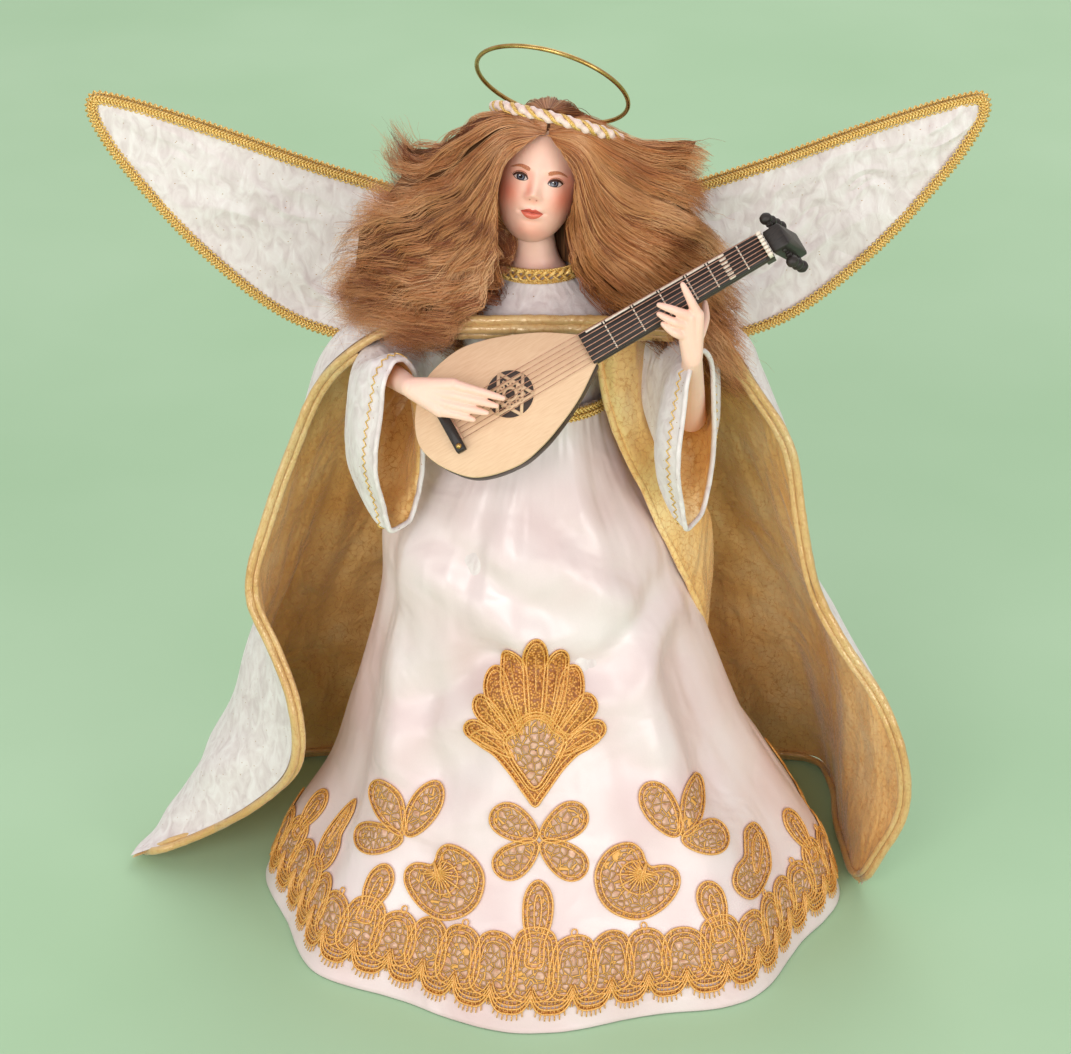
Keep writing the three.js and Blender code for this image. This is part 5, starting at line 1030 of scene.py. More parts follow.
def plait(shape, path, outward, width, pitch, radius=0.5, strands=3, loop=True, weave=0.45):
    """A flat braid along a path: strands that swing across it and pass over each other."""
    path = np.asarray(path, float)
    steps = np.linalg.norm(np.roll(path, -1, 0) - path, axis=1)
    along = np.concatenate([[0], np.cumsum(steps)])[:-1]
    whole = along[-1] + (steps[-1] if loop else 0)
    turns = TAU * along * round(whole / pitch) / whole
    tangent = unit(np.roll(path, -1, 0) - np.roll(path, 1, 0)) if loop else frames(path)[0]
    side = unit(np.cross(tangent, outward))
    for k in range(strands):
        phase = turns + TAU * k / strands
        swing = (width / 2) * np.sin(phase)[:, None] * side
        over = weave * np.sin(2 * phase)[:, None] * outward
        shape.tube(path + swing + over, radius, 6, loop)
    return side


def make_collar():
    collar = Shape()
    ring = ellipse(COLLAR - 0.5, COLLAR_HALF, COLLAR_DEPTH, 300)
    outward = unit(ring * [1, 1 / COLLAR_DEPTH ** 2, 0])
    plait(collar, ring, outward, 4.8, 12, 0.7, 3)
    plait(collar, ring + 0.3 * outward, outward, 3.6, 12, 0.5, 3, True, 0.7)
    for z in (-2.9, 2.9):
        collar.rope(ring + [0, 0, z], 0.36, 0.4, 2, 2.6, 5, True)
    piece(collar, "collar_gimp", gold_cord, nodes=["collar_braid"])


def make_belt():
    belt = Shape()
    half = skirt_point(0.0, WAIST, ripple=0)[0] + 2.6
    ring = ellipse(WAIST - 0.5, half, BELT_DEPTH, 420)
    outward = unit(ring * [1, 1.2, 0])
    for z in (-1.6, 1.6):
        plait(belt, ring + [0, 0, z], outward, 2.2, 6.0, 0.55, 3)
    piece(belt, "belt_gimp", gold_cord, nodes=["waist_cord"])


# Head and face

HEAD = np.array([0.2, -1.0, 365.5])
HALF = np.array([18.5, 22.5, 28.5])
CHIN = 30.4
HEAD_ROLL, HEAD_NOD, HEAD_TURN = math.radians(9.5), math.radians(-14), math.radians(-4)
head_place = (
    Matrix.Translation(HEAD) @ Matrix.Rotation(HEAD_ROLL, 4, "Y") @ Matrix.Rotation(HEAD_NOD, 4, "X")
    @ Matrix.Rotation(HEAD_TURN, 4, "Z")
)
EYES = [(-6.9, -0.2), (7.6, -0.9)]


NOSE_BUMPS = [[0.9, -0.1, -1.0, 2.3, 4.2], [1.3, -0.3, -4.4, 2.5, 2.9], [2.5, -0.7, -6.9, 2.5, 2.2]]
# Bumps that come twice: height, distance from the middle, shift, place up, half width and half height.
PAIRED_BUMPS = [
    [1.0, 2.6, -0.5, -7.9, 1.6, 1.5], [-1.5, 6.8, 0, 0.6, 4.0, 3.0], [1.2, 7.3, 0, -0.5, 3.4, 2.3],
    [0.9, 9.5, 0, -8.5, 5.5, 4.5], [0.5, 7.5, 0, 4.2, 5.0, 1.7], [0.9, 1.7, 0, -13.6, 1.9, 0.95],
    [-0.5, 5.2, 0, -14.8, 1.2, 1.2],
]
CHIN_BUMPS = [
    [1.2, 0, -16.4, 3.3, 1.3], [-0.6, 0, -14.9, 4.4, 0.42], [-0.3, 0, -11.4, 0.9, 1.2],
    [-0.7, 0, -18.9, 4.0, 1.1], [1.5, 0, -24.0, 4.8, 3.4], [0.5, 0, -15.5, 6.0, 4.5],
]
# Pink spots: height, place across and up, half width and half height. The spot along the nose's left side and
# the one under the nose are painted shade; the rest are painted blush.
BLUSH_AND_SHADE_SPOTS = [
    [0.78, -11.0, -8.0, 5.4, 6.4], [0.78, 12.0, -8.4, 5.6, 6.4], [0.3, 0, -24, 7, 3.5],
    [0.3, 0, -8.4, 2.4, 1.8],
    [0.3, 15, 3, 4, 8], [0.3, -15, 3, 4, 8], [0.55, -2.9, -4.0, 1.3, 4.4], [0.25, 0, -10.4, 3.6, 1.2],
    [0.2, 0, -19.4, 4.0, 1.2],
]


def face_relief(x, z):
    """How far the face stands out in front of the plain head."""
    bumps = list(NOSE_BUMPS)
    for way in (-1, 1):
        bumps += [[high, way * away + shift, *rest] for high, away, shift, *rest in PAIRED_BUMPS]
    return pile_bumps(x, z, bumps + CHIN_BUMPS)


def blush_and_shade_at(x, z):
    """How pink the painted cheeks, lids, nose tip and chin are, with painted shade along and under the nose,
    and warm painted shade towards the face's sides and its lower half.
    """
    lids = [[0.5, cx, cz + 1.9, 4.3, 1.8] for cx, cz in EYES]
    # Warm painted shade towards the face's sides and over its lower half.
    edges = 0.1 * smoothstep(np.abs(x), 9, 17) + 0.22 * smoothstep(-z, 8, 26)
    return pile_bumps(x, z, BLUSH_AND_SHADE_SPOTS + lids) + edges


def head_width(share):
    """Half the head's width at a share of its height below or above its middle."""
    low = np.minimum(share, 0)
    lower = np.sqrt(np.maximum(1 - np.abs(low) ** 2.5, 1e-9)) * (1 - 0.07 * smoothstep(-low, 0, 1))
    return HALF[0] * np.where(share < 0, lower, np.sqrt(np.maximum(1 - share ** 2, 1e-9)))


def head_depth(share):
    """How far the plain face stands in front of the head's middle."""
    low = np.minimum(share, 0)
    lower = np.sqrt(np.maximum(1 - np.abs(low) ** 3.4, 1e-9)) * (1 - 0.17 * smoothstep(-low, 0, 0.95))
    return HALF[1] * np.where(share < 0, lower, np.sqrt(np.maximum(1 - share ** 2, 1e-9)))


def head_point(turn, rise):
    """A point of the head: turn from the middle of the face, rise from the chin's side to the crown."""
    turn, rise = np.broadcast_arrays(turn, rise)
    share = np.sin(rise)
    z = share * np.where(share < 0, CHIN, HALF[2])
    x = head_width(share) * np.sin(turn)
    ahead = np.cos(turn)
    behind = HALF[1] * np.cos(rise) * (1 - 0.5 * smoothstep(-share, 0, 1))
    deep = np.where(ahead > 0, head_depth(share), behind) * ahead
    relief = face_relief(x, z) * smoothstep(ahead, 0.15, 0.7)
    return np.stack([x, -deep - relief, z], axis=-1)


def on_face(x, z, lift=0.05):
    """A point of the face at a place across and up, a little in front of it."""
    x, z = np.asarray(x, float), np.asarray(z, float)
    share = z / np.where(z < 0, CHIN, HALF[2])
    ahead = np.sqrt(np.maximum(1 - (x / head_width(share)) ** 2, 1e-4))
    y = -head_depth(share) * ahead - face_relief(x, z) * smoothstep(ahead, 0.15, 0.7)
    return np.stack([x, y - lift, z], axis=-1)


def paint_area(name, outline, material, lift=0.05, rings=8):
    middle = outline.mean(0)
    scale = np.linspace(0.01, 1, rings)
    rows = middle + scale[:, None, None] * (outline - middle)
    shape = Shape().grid(on_face(rows[..., 0], rows[..., 1], lift), round_=True).moved(head_place)
    return piece(shape, name, material)


def paint_line(shape, path, width, lift=0.05):
    """A flat brush stroke along a path of places on the face, as wide as stated."""
    path, width = np.asarray(path, float), np.broadcast_to(width, (len(path),))
    ahead = np.gradient(path, axis=0)
    side = unit(np.stack([-ahead[:, 1], ahead[:, 0]], axis=1))
    rows = np.stack([path - side * width[:, None] / 2, path, path + side * width[:, None] / 2])
    shape.grid(on_face(rows[..., 0], rows[..., 1], lift))


def disc(centre, radius, count=36):
    turn = np.linspace(0, TAU, count, endpoint=False)
    return np.asarray(centre) + radius * np.stack([np.cos(turn), np.sin(turn)], axis=1)


UPPER_LID = [(-2.9, -0.55), (-2.0, 0.6), (-0.4, 1.2), (1.3, 1.15), (2.6, 0.6), (3.4, -0.2)]
LOWER_LID = [(3.4, -0.2), (2.3, -1.1), (0.6, -1.5), (-1.2, -1.4), (-2.3, -1.0), (-2.9, -0.55)]
LID_STEPS, LASHES = 24, 9
IRIS_AT, IRIS_HALF, PUPIL_HALF, GLINT_AT, GLINT_HALF = (-0.2, -0.05), 1.85, 0.75, (-0.5, 0.45), 0.27
BROW = [(-3.2, 3.5), (-2.0, 4.0), (1.0, 4.6), (4.8, 3.4)]
BROW_STEPS = 30


def make_eyeball(number, way, top, foot):
    paint_area(f"eye_white_{number}", np.vstack([top[:-1], foot[:-1]]), eye_white, 0.05)
    centre = np.array(EYES[number]) + IRIS_AT
    iris = disc(centre, IRIS_HALF)
    order = slice(None, None, way)
    iris[:, 1] = np.minimum(iris[:, 1], np.interp(iris[:, 0], *top[order].T))
    iris[:, 1] = np.maximum(iris[:, 1], np.interp(iris[:, 0], *foot[::-1][order].T))
    paint_area(f"eye_iris_{number}", iris, eye_iris, 0.08)
    paint_area(f"eye_ring_{number}", centre + 0.7 * (iris - centre), eye_light, 0.1)
    paint_area(f"eye_pupil_{number}", disc(centre, PUPIL_HALF, 24), eye_dark, 0.12)
    paint_area(f"eye_glint_{number}", disc(centre + GLINT_AT, GLINT_HALF, 16), eye_glint, 0.14)


def make_lids(number, way, top, foot):
    lines, crease = Shape(), Shape()
    paint_line(lines, top + [0, 0.12], 0.45 + 0.6 * np.sin(np.linspace(0.2, 2.6, LID_STEPS)), 0.13)
    paint_line(lines, foot, 0.24, 0.11)
    for k in range(LASHES):
        root = top[7 + 2 * k]
        tip = root + [way * (0.3 + 0.1 * k), 0.85]
        paint_line(lines, [root, (root + tip) / 2 + [0, 0.05], tip], [0.2, 0.14, 0.02], 0.1)
    piece(lines.moved(head_place), f"eye_lines_{number}", lash_paint)
    paint_line(crease, top + [way * 0.1, 1.0], 0.5 * np.sin(np.linspace(0.1, 3.0, LID_STEPS)), 0.05)
    piece(crease.moved(head_place), f"eye_crease_{number}", crease_paint)


def make_brow(number, way):
    brow = Shape()
    cx, cz = EYES[number]
    last = BROW_STEPS - 1
    spine = curve_through([(cx + way * x, cz + z) for x, z in BROW], BROW_STEPS)
    thick = np.interp(np.linspace(0, 1, BROW_STEPS), [0, 0.12, 0.4, 0.75, 1], [1.2, 2.0, 1.65, 0.95, 0.2])
    for k in range(BROW_STEPS - 3):
        ahead = unit(spine[min(k + 2, last)] - spine[k])
        start = spine[k] + np.array([0, rng.uniform(-0.4, 0.3)]) * thick[k]
        tip = start + 1.5 * ahead + [0, 0.3 - 0.025 * k]
        paint_line(brow, [start, (start + tip) / 2, tip], [0.24, 0.3, 0.03], 0.06 + 0.002 * k)
    paint_line(brow, spine, thick, 0.05)
    piece(brow.moved(head_place), f"brow_{number}", brow_paint)


def make_eye(number):
    way = -1 if number == 0 else 1
    place = lambda spots: np.array(EYES[number]) + np.asarray(spots) * [way, 1]
    top = curve_through(place(UPPER_LID), LID_STEPS)
    foot = curve_through(place(LOWER_LID), LID_STEPS)
    make_eyeball(number, way, top, foot)
    make_lids(number, way, top, foot)
    make_brow(number, way)


MOUTH_CORNER = (-4.9, -14.9)
UPPER_LIP = [(-3.2, -13.9), (-1.3, -13.1), (0, -13.5), (1.3, -13.1), (3.2, -13.9)]
LIP_SEAM = [(2.6, -15.0), (0.9, -14.8), (0, -15.05), (-0.9, -14.8), (-2.6, -15.0)]
LOWER_LIP = [(-3.0, -16.8), (0, -17.9), (3.0, -16.8)]
LIP_STEPS = 30
NOSTRIL = (1.45, -0.3, -9.1, 0.42)


def make_mouth():
    left, right = MOUTH_CORNER, (-MOUTH_CORNER[0], MOUTH_CORNER[1])
    top = curve_through([left] + UPPER_LIP + [right], LIP_STEPS)
    line = curve_through([right] + LIP_SEAM + [left], LIP_STEPS)
    foot = curve_through([left] + LOWER_LIP + [right], LIP_STEPS)
    paint_area("lip_upper", np.vstack([top[:-1], line[:-1]]), lip_paint, 0.05)
    paint_area("lip_lower", np.vstack([foot[:-1], line[:-1]]), lip_light, 0.05)
    lines = Shape()
    paint_line(lines, line[::-1], 0.22 * np.sin(np.linspace(0.2, 2.94, LIP_STEPS)) + 0.06, 0.12)
    piece(lines.moved(head_place), "lip_seam", lip_dark)
    away, shift, up, radius = NOSTRIL
    for way in (-1, 1):
        outline = disc((way * away + shift, up), radius, 16)
        paint_area(f"nostril_{way + 1}", outline, nostril_paint, 0.06, 4)


HEAD_COLUMNS, HEAD_ROWS, NECK_ROWS, NECK_TALL = 300, 280, 60, 25
# Height in the neck's share, then half width as a share of the torso's.
NECK_SHARES = [
    [0, 0.95], [0.27, 0.8], [0.45, 0.61], [0.63, 0.52], [0.8, 0.42], [1, 0.36], [1.35, 0.325], [1.75, 0.315],
]


def head_grid():
    """Places all over the head, closest together at the middle of the face."""
    warp, level = np.linspace(-1, 1, HEAD_COLUMNS), np.linspace(-1, 1, HEAD_ROWS)
    turn = math.pi * (0.45 * warp + 0.55 * warp ** 3)
    rise = (math.pi / 2) * (0.72 * level + 0.28 * level ** 3) * 0.999 - 0.1 * (1 - level ** 2)
    return head_point(turn[None, :-1], rise[:, None])


def neck_rings():
    rings = []
    for level in np.linspace(0, NECK_SHARES[-1][0], NECK_ROWS):
        half = TORSO_HALF * share_at(NECK_SHARES, level, 1)
        depth = TORSO_DEPTH + 0.16 * min(level, 1)
        rings.append(ellipse(TORSO_TOP + 0.3 + NECK_TALL * level, half, depth, 80, -1.4 * level))
    return rings


def make_head():
    grid = head_grid()
    blush_and_shade = blush_and_shade_at(grid[..., 0], grid[..., 2]) * smoothstep(-grid[..., 1], 0, 8)
    head = Shape().grid(grid, round_=True).moved(head_place)
    head.grid(neck_rings(), round_=True)
    made = piece(head, "head", skin, nodes=["shoulder_head"])
    pink = made.data.attributes.new("blush_and_shade", "FLOAT", "POINT")
    values = np.zeros(len(made.data.vertices), dtype=np.float32)
    values[:blush_and_shade.size] = np.clip(blush_and_shade, 0, 1).ravel()
    pink.data.foreach_set("value", values)
    for number in range(len(EYES)):
        make_eye(number)
    make_mouth()


eye_white = make_flat_paint("eye_white", (0.62, 0.52, 0.50), 0.25, 1.5, 0.05)
eye_iris = make_flat_paint("eye_iris", (0.028, 0.03, 0.042), 0.2, 0.3, 0.3)
eye_light = make_flat_paint("eye_light", (0.11, 0.125, 0.17), 0.2, 0.25, 0.35)
eye_dark = make_flat_paint("eye_dark", (0.008, 0.008, 0.01), 0.15)
eye_glint = make_flat_paint("eye_glint", (0.95, 0.95, 0.95), 0.2, 1, 0.02)
lash_paint = make_flat_paint("lash_paint", (0.055, 0.018, 0.01), 0.45)
crease_paint = make_flat_paint("crease_paint", (0.50, 0.17, 0.09), 0.45)
brow_paint = make_flat_paint("brow_paint", (0.56, 0.20, 0.10), 0.5, 0.4, 0.25)
lip_paint = make_flat_paint("lip_paint", (0.62, 0.095, 0.06), 0.3, 0.8, 0.12)
lip_light = make_flat_paint("lip_light", (0.76, 0.17, 0.11), 0.25, 0.8, 0.12)
lip_dark = make_flat_paint("lip_dark", (0.28, 0.04, 0.03), 0.4)
nostril_paint = make_flat_paint("nostril_paint", (0.66, 0.27, 0.19), 0.5)


# Hair, headband and halo

LEFT_LOCKS = [
    [(3.0, -8, 388), (-14, -10, 396), (-27, -10, 393), (-38, -8, 383), (-48, -6, 378), (-57, -4, 379),
     (-61, -2, 387)],
    [(3.0, -14, 389), (-14, -18, 394), (-27, -18, 385), (-38, -16, 373), (-51, -12, 366), (-59, -8, 366),
     (-63, -6, 373)],
    [(2, -18, 389), (-13, -22, 389), (-24, -24, 378), (-35, -22, 364), (-55, -18, 353), (-75, -12, 343),
     (-85, -6, 334)],
    [(1, -20, 389), (-13, -26, 386), (-20, -28, 373), (-31, -28, 357), (-51, -24, 341), (-73, -16, 329),
     (-89, -10, 317)],
    [(1, -21, 388), (-13, -27, 382), (-19, -30, 367), (-26, -30, 349), (-42, -28, 329), (-64, -22, 315),
     (-83, -14, 302)],
    [(1, -22, 388), (-14, -27, 378), (-18, -30, 360), (-23, -32, 343), (-34, -32, 324), (-49, -30, 309),
     (-66, -24, 298)],
    [(0.4, -22, 388), (-15, -26, 373), (-17, -28, 355), (-20, -32, 337), (-25, -34, 320), (-36, -34, 306),
     (-49, -30, 295)],
]
RIGHT_LOCKS = [
    [(5, -8, 388), (20, -10, 394), (31, -10, 389), (43, -8, 383), (55, -6, 381), (65, -4, 381),
     (74, -2, 376)],
    [(5, -14, 389), (20, -18, 391), (32, -18, 385), (45, -16, 377), (56, -12, 373), (64, -8, 370),
     (69, -6, 366)],
    [(5, -18, 389), (18, -22, 388), (29, -24, 378), (43, -22, 368), (54, -18, 361), (63, -12, 355),
     (70, -8, 347)],
    [(4, -20, 389), (18, -26, 385), (26, -28, 371), (38, -28, 359), (55, -24, 351), (73, -16, 338),
     (86, -10, 321)],
    [(4, -21, 388), (17, -27, 381), (23, -30, 365), (31, -30, 351), (48, -28, 338), (70, -22, 319),
     (86, -16, 298)],
    [(4, -22, 388), (16, -27, 377), (19, -30, 360), (25, -32, 345), (43, -30, 330), (68, -26, 305),
     (89, -24, 275)],
    [(4, -22, 388), (16, -26, 372), (18, -28, 355), (21, -32, 340), (33, -34, 327), (50, -32, 317),
     (70, -28, 296)],
]


def back_locks():
    """Guide lines from the crown down the back, spread like a fan."""
    locks = []
    for t in np.linspace(-1, 1, 9):
        deep, drop = 1 - 0.4 * t * t, t * t
        locks.append([
            (4 + 4 * t, -6, 396 - 2 * drop), (4 + 17 * t, 10 * deep, 394 - 9 * drop),
            (3 + 29 * t, 24 * deep, 380 - 14 * drop), (2 + 41 * t, 31 * deep, 358 - 12 * drop),
            (1 + 53 * t, 34 * deep, 337 - 8 * drop), (65 * t, 33 * deep, 318 - 3 * drop),
            (75 * t, 30 * deep, 300),
        ])
    return locks


def sheet_of(locks, shift=(0, 0, 0), steps=30):
    paths = np.array([curve_through(lock, steps) for lock in locks])
    fade = smoothstep(np.linspace(0, 1, steps), 0, 0.3)[None, :, None]
    return paths + np.array(shift) * fade


def read_sheet(sheet, across):
    across = np.clip(across, 0, len(sheet) - 1.001)
    i = across.astype(int)
    t = (across - i)[:, None, None]
    return sheet[i] * (1 - t) + sheet[i + 1] * t


# Tables along a strand: places from its root to its tip as shares, then a value at each.
LOW_SHARES = ([0, 0.35, 0.7, 1], [0.55, 0.7, 1.6, 1.7])
WAVE_SHARES = ([0, 0.25, 0.5, 1], [0, 0.08, 0.75, 1.9])
WIDTH_SHARES = ([0, 0.12, 0.5, 0.85, 1], [0.3, 0.75, 1.0, 1.2, 1.9])
FRIZZ_SHARES = ([0, 0.35, 0.7, 1], [0.0, 0.04, 0.35, 0.75])
TAPER_SHARES = ([0, 0.1, 0.7, 1], [0.8, 1, 0.9, 0.25])


def make_strands(sheet, locks, per_lock, spread, curly=1.0):
    """Strands that lie in wavy locks along a sheet of guide lines, by strand, step and place."""
    steps = sheet.shape[1]
    along = np.linspace(0, 1, steps)
    seat = rng.uniform(0, len(sheet) - 1, locks)
    offset = rng.normal(0, 1, (locks, 3)) * spread
    phase, length = rng.uniform(0, TAU, (locks, 1)), rng.uniform(14, 30, (locks, 1))
    low = np.interp(seat / (len(sheet) - 1), *LOW_SHARES)
    size = rng.uniform(0.5, 2.4, (locks, 1)) * curly * low[:, None]
    of = np.repeat(np.arange(locks), per_lock)
    count = len(of)
    base = read_sheet(sheet, seat[of] + rng.normal(0, 0.05, count))
    base = base + offset[of][:, None] * smoothstep(along, 0, 0.75)[None, :, None]
    run = np.linalg.norm(np.diff(base, axis=1), axis=2).cumsum(1)
    run = np.concatenate([np.zeros((count, 1)), run], axis=1)
    grow = np.interp(along, *WAVE_SHARES)[None]
    wave = [size[of] * grow * np.sin(TAU * run / length[of] + phase[of] + c * TAU / 3.2) for c in range(3)]
    own = rng.normal(0, 1, (count, 3))
    width = np.interp(along, *WIDTH_SHARES)[None, :, None] * np.sqrt(low)[of][:, None, None]
    curl = [np.sin(TAU * run / draw(5, 11, count) + draw(0, TAU, count)) for _ in range(3)]
    frizz = np.stack(curl, -1) * np.interp(along, *FRIZZ_SHARES)[None, :, None]
    frizz = frizz * curly * low[of][:, None, None]
    wild = np.where(rng.random(count) < 0.07, 2.8, 1.0)[:, None, None]
    width = width * (1 + (wild - 1) * smoothstep(along, 0.45, 1)[None, :, None])
    return base + np.stack(wave, -1) + own[:, None] * width + frizz * (0.6 + 0.4 * wild)


def draw(low, high, count):
    """A column of random values."""
    return rng.uniform(low, high, (count, 1))


# Heights from below the chin to the parting, then half the width of the open face there.
FACE_HALF = ([-34, -20, -8, 5, 14, 19], [12, 14.5, 16.2, 15.0, 7.5, 2])
FACE_MIDDLE, HAIR_OFF_HEAD = 0.3, 1.2


def keep_off_face(strands):
    """Strands pushed out of the head and the neck, and away from the open face."""
    inverse, forward = np.array(head_place.inverted()), np.array(head_place)
    local = strands @ inverse[:3, :3].T + inverse[:3, 3]
    inside = np.linalg.norm(local / (HALF + HAIR_OFF_HEAD), axis=-1, keepdims=True)
    local = np.where(inside < 1, local / np.maximum(inside, 0.2), local)
    across, height = local[..., 0] - FACE_MIDDLE, local[..., 2]
    face = (local[..., 1] < -4) & (height < FACE_HALF[0][-1]) & (height > FACE_HALF[0][0])
    edge = np.interp(height, *FACE_HALF)
    side = np.where(local[..., 0] < FACE_MIDDLE, -1.0, 1.0)
    aside = FACE_MIDDLE + side * edge + 0.15 * across
    local[..., 0] = np.where(face & (np.abs(across) < edge), aside, local[..., 0])
    return local @ forward[:3, :3].T + forward[:3, 3]


def add_strands(shape, strands, radius):
    """Three-sided tubes, all at once."""
    count, steps = strands.shape[:2]
    tangent = unit(np.gradient(strands, axis=1))
    side = unit(np.cross(tangent, np.array([0.21, 0.93, 0.3])))
    up = np.cross(tangent, side)
    taper = radius[:, None] * np.interp(np.linspace(0, 1, steps), *TAPER_SHARES)
    rows = []
    for k in range(3):
        turn = TAU * k / 3
        rows.append(strands + taper[..., None] * (math.cos(turn) * side + math.sin(turn) * up))
    points = np.stack(rows, axis=2)
    index = np.arange(count * steps * 3).reshape(count, steps, 3)
    index = np.concatenate([index, index[..., :1]], axis=2)
    faces = np.stack([index[:, :-1, :-1], index[:, :-1, 1:], index[:, 1:, 1:], index[:, 1:, :-1]], axis=-1)
    shape.add(points, faces)


UNDER_COLUMNS, LOCK_STEPS = 60, 30


def add_under(under, sheet):
    """A sheet inside the hair, coloured dark as painted shade, which shows only between the strands."""
    places = np.linspace(0, len(sheet) - 1.001, UNDER_COLUMNS)
    fine = read_sheet(sheet, places)
    lumps = noise(np.arange(UNDER_COLUMNS)[:, None] / 5, np.arange(LOCK_STEPS)[None] / 9, 12, 2)
    fade = smoothstep(np.linspace(0, 1, LOCK_STEPS), 0, 0.3)[None, :, None]
    inside = (3.6 + 2.2 * lumps)[..., None] * fade
    fine = keep_off_face(fine + np.array([0, 1, -0.3]) * inside)[:, 5:27]
    marks = np.zeros_like(fine)
    marks[..., 0] = np.arange(fine.shape[0])[:, None] * 1.6
    marks[..., 1] = np.arange(fine.shape[1])[None] * 3.5
    under.grid(fine, marks=marks)


# Turns from the middle of the face to the back, then the hairline's rise there.
HAIRLINE = ([0, 0.16, 0.3, 0.5, 1.1, 1.7, math.pi], [0.76, 0.8, 0.86, 0.74, 0.2, -0.6, -0.9])


def add_scalp(under):
    """Hair close to the crown and the back of the head, down to the hairline."""
    turn = np.linspace(-math.pi, math.pi, 120)
    hairline = np.interp(np.abs(turn), *HAIRLINE)
    level = np.linspace(0, 1, 40)[:, None]
    rise = hairline + (1.57 - hairline) * level
    rows = head_point(turn, rise) * (1.002 + 0.048 * smoothstep(level, 0, 0.3))[..., None]
    marks = np.stack([np.broadcast_to(turn * 24, rise.shape), rise * 28, 0 * rise], axis=-1)
    scalp = Shape().grid(rows, marks=marks).moved(head_place)
    under.add(scalp.points[0], scalp.faces[0], scalp.marks[0])


NAPE_HALF, NAPE_DEEP, NAPE_TOP, NAPE_DROP = 21, 8.5, 352, 30.5


def add_nape(under):
    """Hair that hangs behind the neck, in front of the collar's back."""
    across, down = np.meshgrid(np.linspace(-1, 1, 40), np.linspace(0, 1, 30))
    x = (NAPE_HALF - 4.2 * down) * across
    y = NAPE_DEEP - 9 * across ** 2 + 0.6 * noise(across * 9, down * 2, 4)
    z = NAPE_TOP - NAPE_DROP * down
    marks = np.stack([x * 1.6, z, 0 * z], axis=-1)
    under.grid(np.stack([x, y, z], axis=-1), marks=marks)


# How much of each tone of hair the layers have, the front one first. The deeper layers take more of the dark
# tone, as painted shade, and the front one more of the light tone, as painted highlight.
HAIR_MIX_AND_SHADE_SHARES = [[0.50, 0.36, 0.14], [0.24, 0.44, 0.32], [0.06, 0.38, 0.56], [0.2, 0.4, 0.4]]
# Each layer's shift, mirrored for the other side, its number of locks, their spread, curl and mix.
LEFT_LAYERS = [
    ((0, 0, 0), 78, 1.7, 0.8, 0), ((2, 8, -5), 44, 2.4, 1.0, 1), ((4, 18, -12), 26, 3.6, 1.2, 2),
    ((6, 27, -18), 22, 4.0, 1.2, 3),
]
RIGHT_LAYERS = [
    ((0, 0, 0), 78, 1.6, 0.5, 0), ((-2, 8, -5), 44, 2.2, 0.8, 1), ((-4, 18, -12), 26, 3.4, 1.0, 2),
    ((-6, 27, -18), 22, 4.0, 1.0, 3),
]
BACK_LAYER = (80, 2.6, 0.9, 3)
PER_LOCK, STRAYS = 26, 0.14


def hair_layers():
    layers = []
    for left, right in zip(LEFT_LAYERS, RIGHT_LAYERS):
        for locks, (shift, *facts) in ((LEFT_LOCKS, left), (RIGHT_LOCKS, right)):
            layers.append((sheet_of(locks, shift, LOCK_STEPS), *facts))
    return layers + [(sheet_of(back_locks(), steps=LOCK_STEPS), *BACK_LAYER)]


def pick_tones(locks, mix, tones):
    """A tone for each strand: one for each lock, but for a few strays."""
    pick = np.repeat(rng.choice(tones, locks, p=HAIR_MIX_AND_SHADE_SHARES[mix]), PER_LOCK)
    stray = rng.random(len(pick)) < STRAYS
    return np.where(stray, rng.integers(0, tones, len(pick)), pick)


def make_hair_pieces():
    layers = hair_layers()
    shapes = [Shape() for _ in hair_tones]
    under = Shape()
    for sheet, locks, spread, curly, mix in layers:
        strands = keep_off_face(make_strands(sheet, locks, PER_LOCK, spread, curly))
        pick = pick_tones(locks, mix, len(shapes))
        radius = rng.uniform(0.085, 0.16, len(strands))
        for k, shape in enumerate(shapes):
            add_strands(shape, strands[pick == k], radius[pick == k])
    for sheet, *_ in layers:
        add_under(under, sheet)
    add_scalp(under)
    add_nape(under)
    # The sheets, the scalp and the nape are all dark, as painted shade under the strands.
    piece(under, "hair_under", hair_under, nodes=["wig"])
    for k, shape in enumerate(shapes):
        piece(shape, f"hair_strands_{k + 1}", hair_tones[k])


def tilted_hoop(centre, roll, lean, across_half, deep_half, count):
    across = np.array([math.cos(roll), 0, -math.sin(roll)])
    back = np.array([0, math.cos(lean), -math.sin(lean)])
    back = unit(back - across * (back @ across))
    turn = np.linspace(0, TAU, count, endpoint=False)[:, None]
    return np.asarray(centre) + across_half * np.cos(turn) * across + deep_half * np.sin(turn) * back


BAND_STEPS, BAND_TWISTS, BAND_TWIST, BAND_PUFF, CORD_AT = 480, 11, 1.0, 1.75, 2.1
BAND_PLACE, BAND_HALVES = (9, 4, 385.5), (28.5, 29.8)
BAND_ROLL, BAND_LEAN = math.radians(16.5), math.radians(25)
HALO_PLACE, HALO_ROLL, HALO_LEAN, HALO_HALF = (6, 13, 400), math.radians(22), math.radians(45), 33.8
HALO_WIRE, HALO_STEPS = 1.0, 240
HALO_STEM = [(0, 0, 0), (0, -3, -9), (0, -9, -18), (0, -14, -26)]


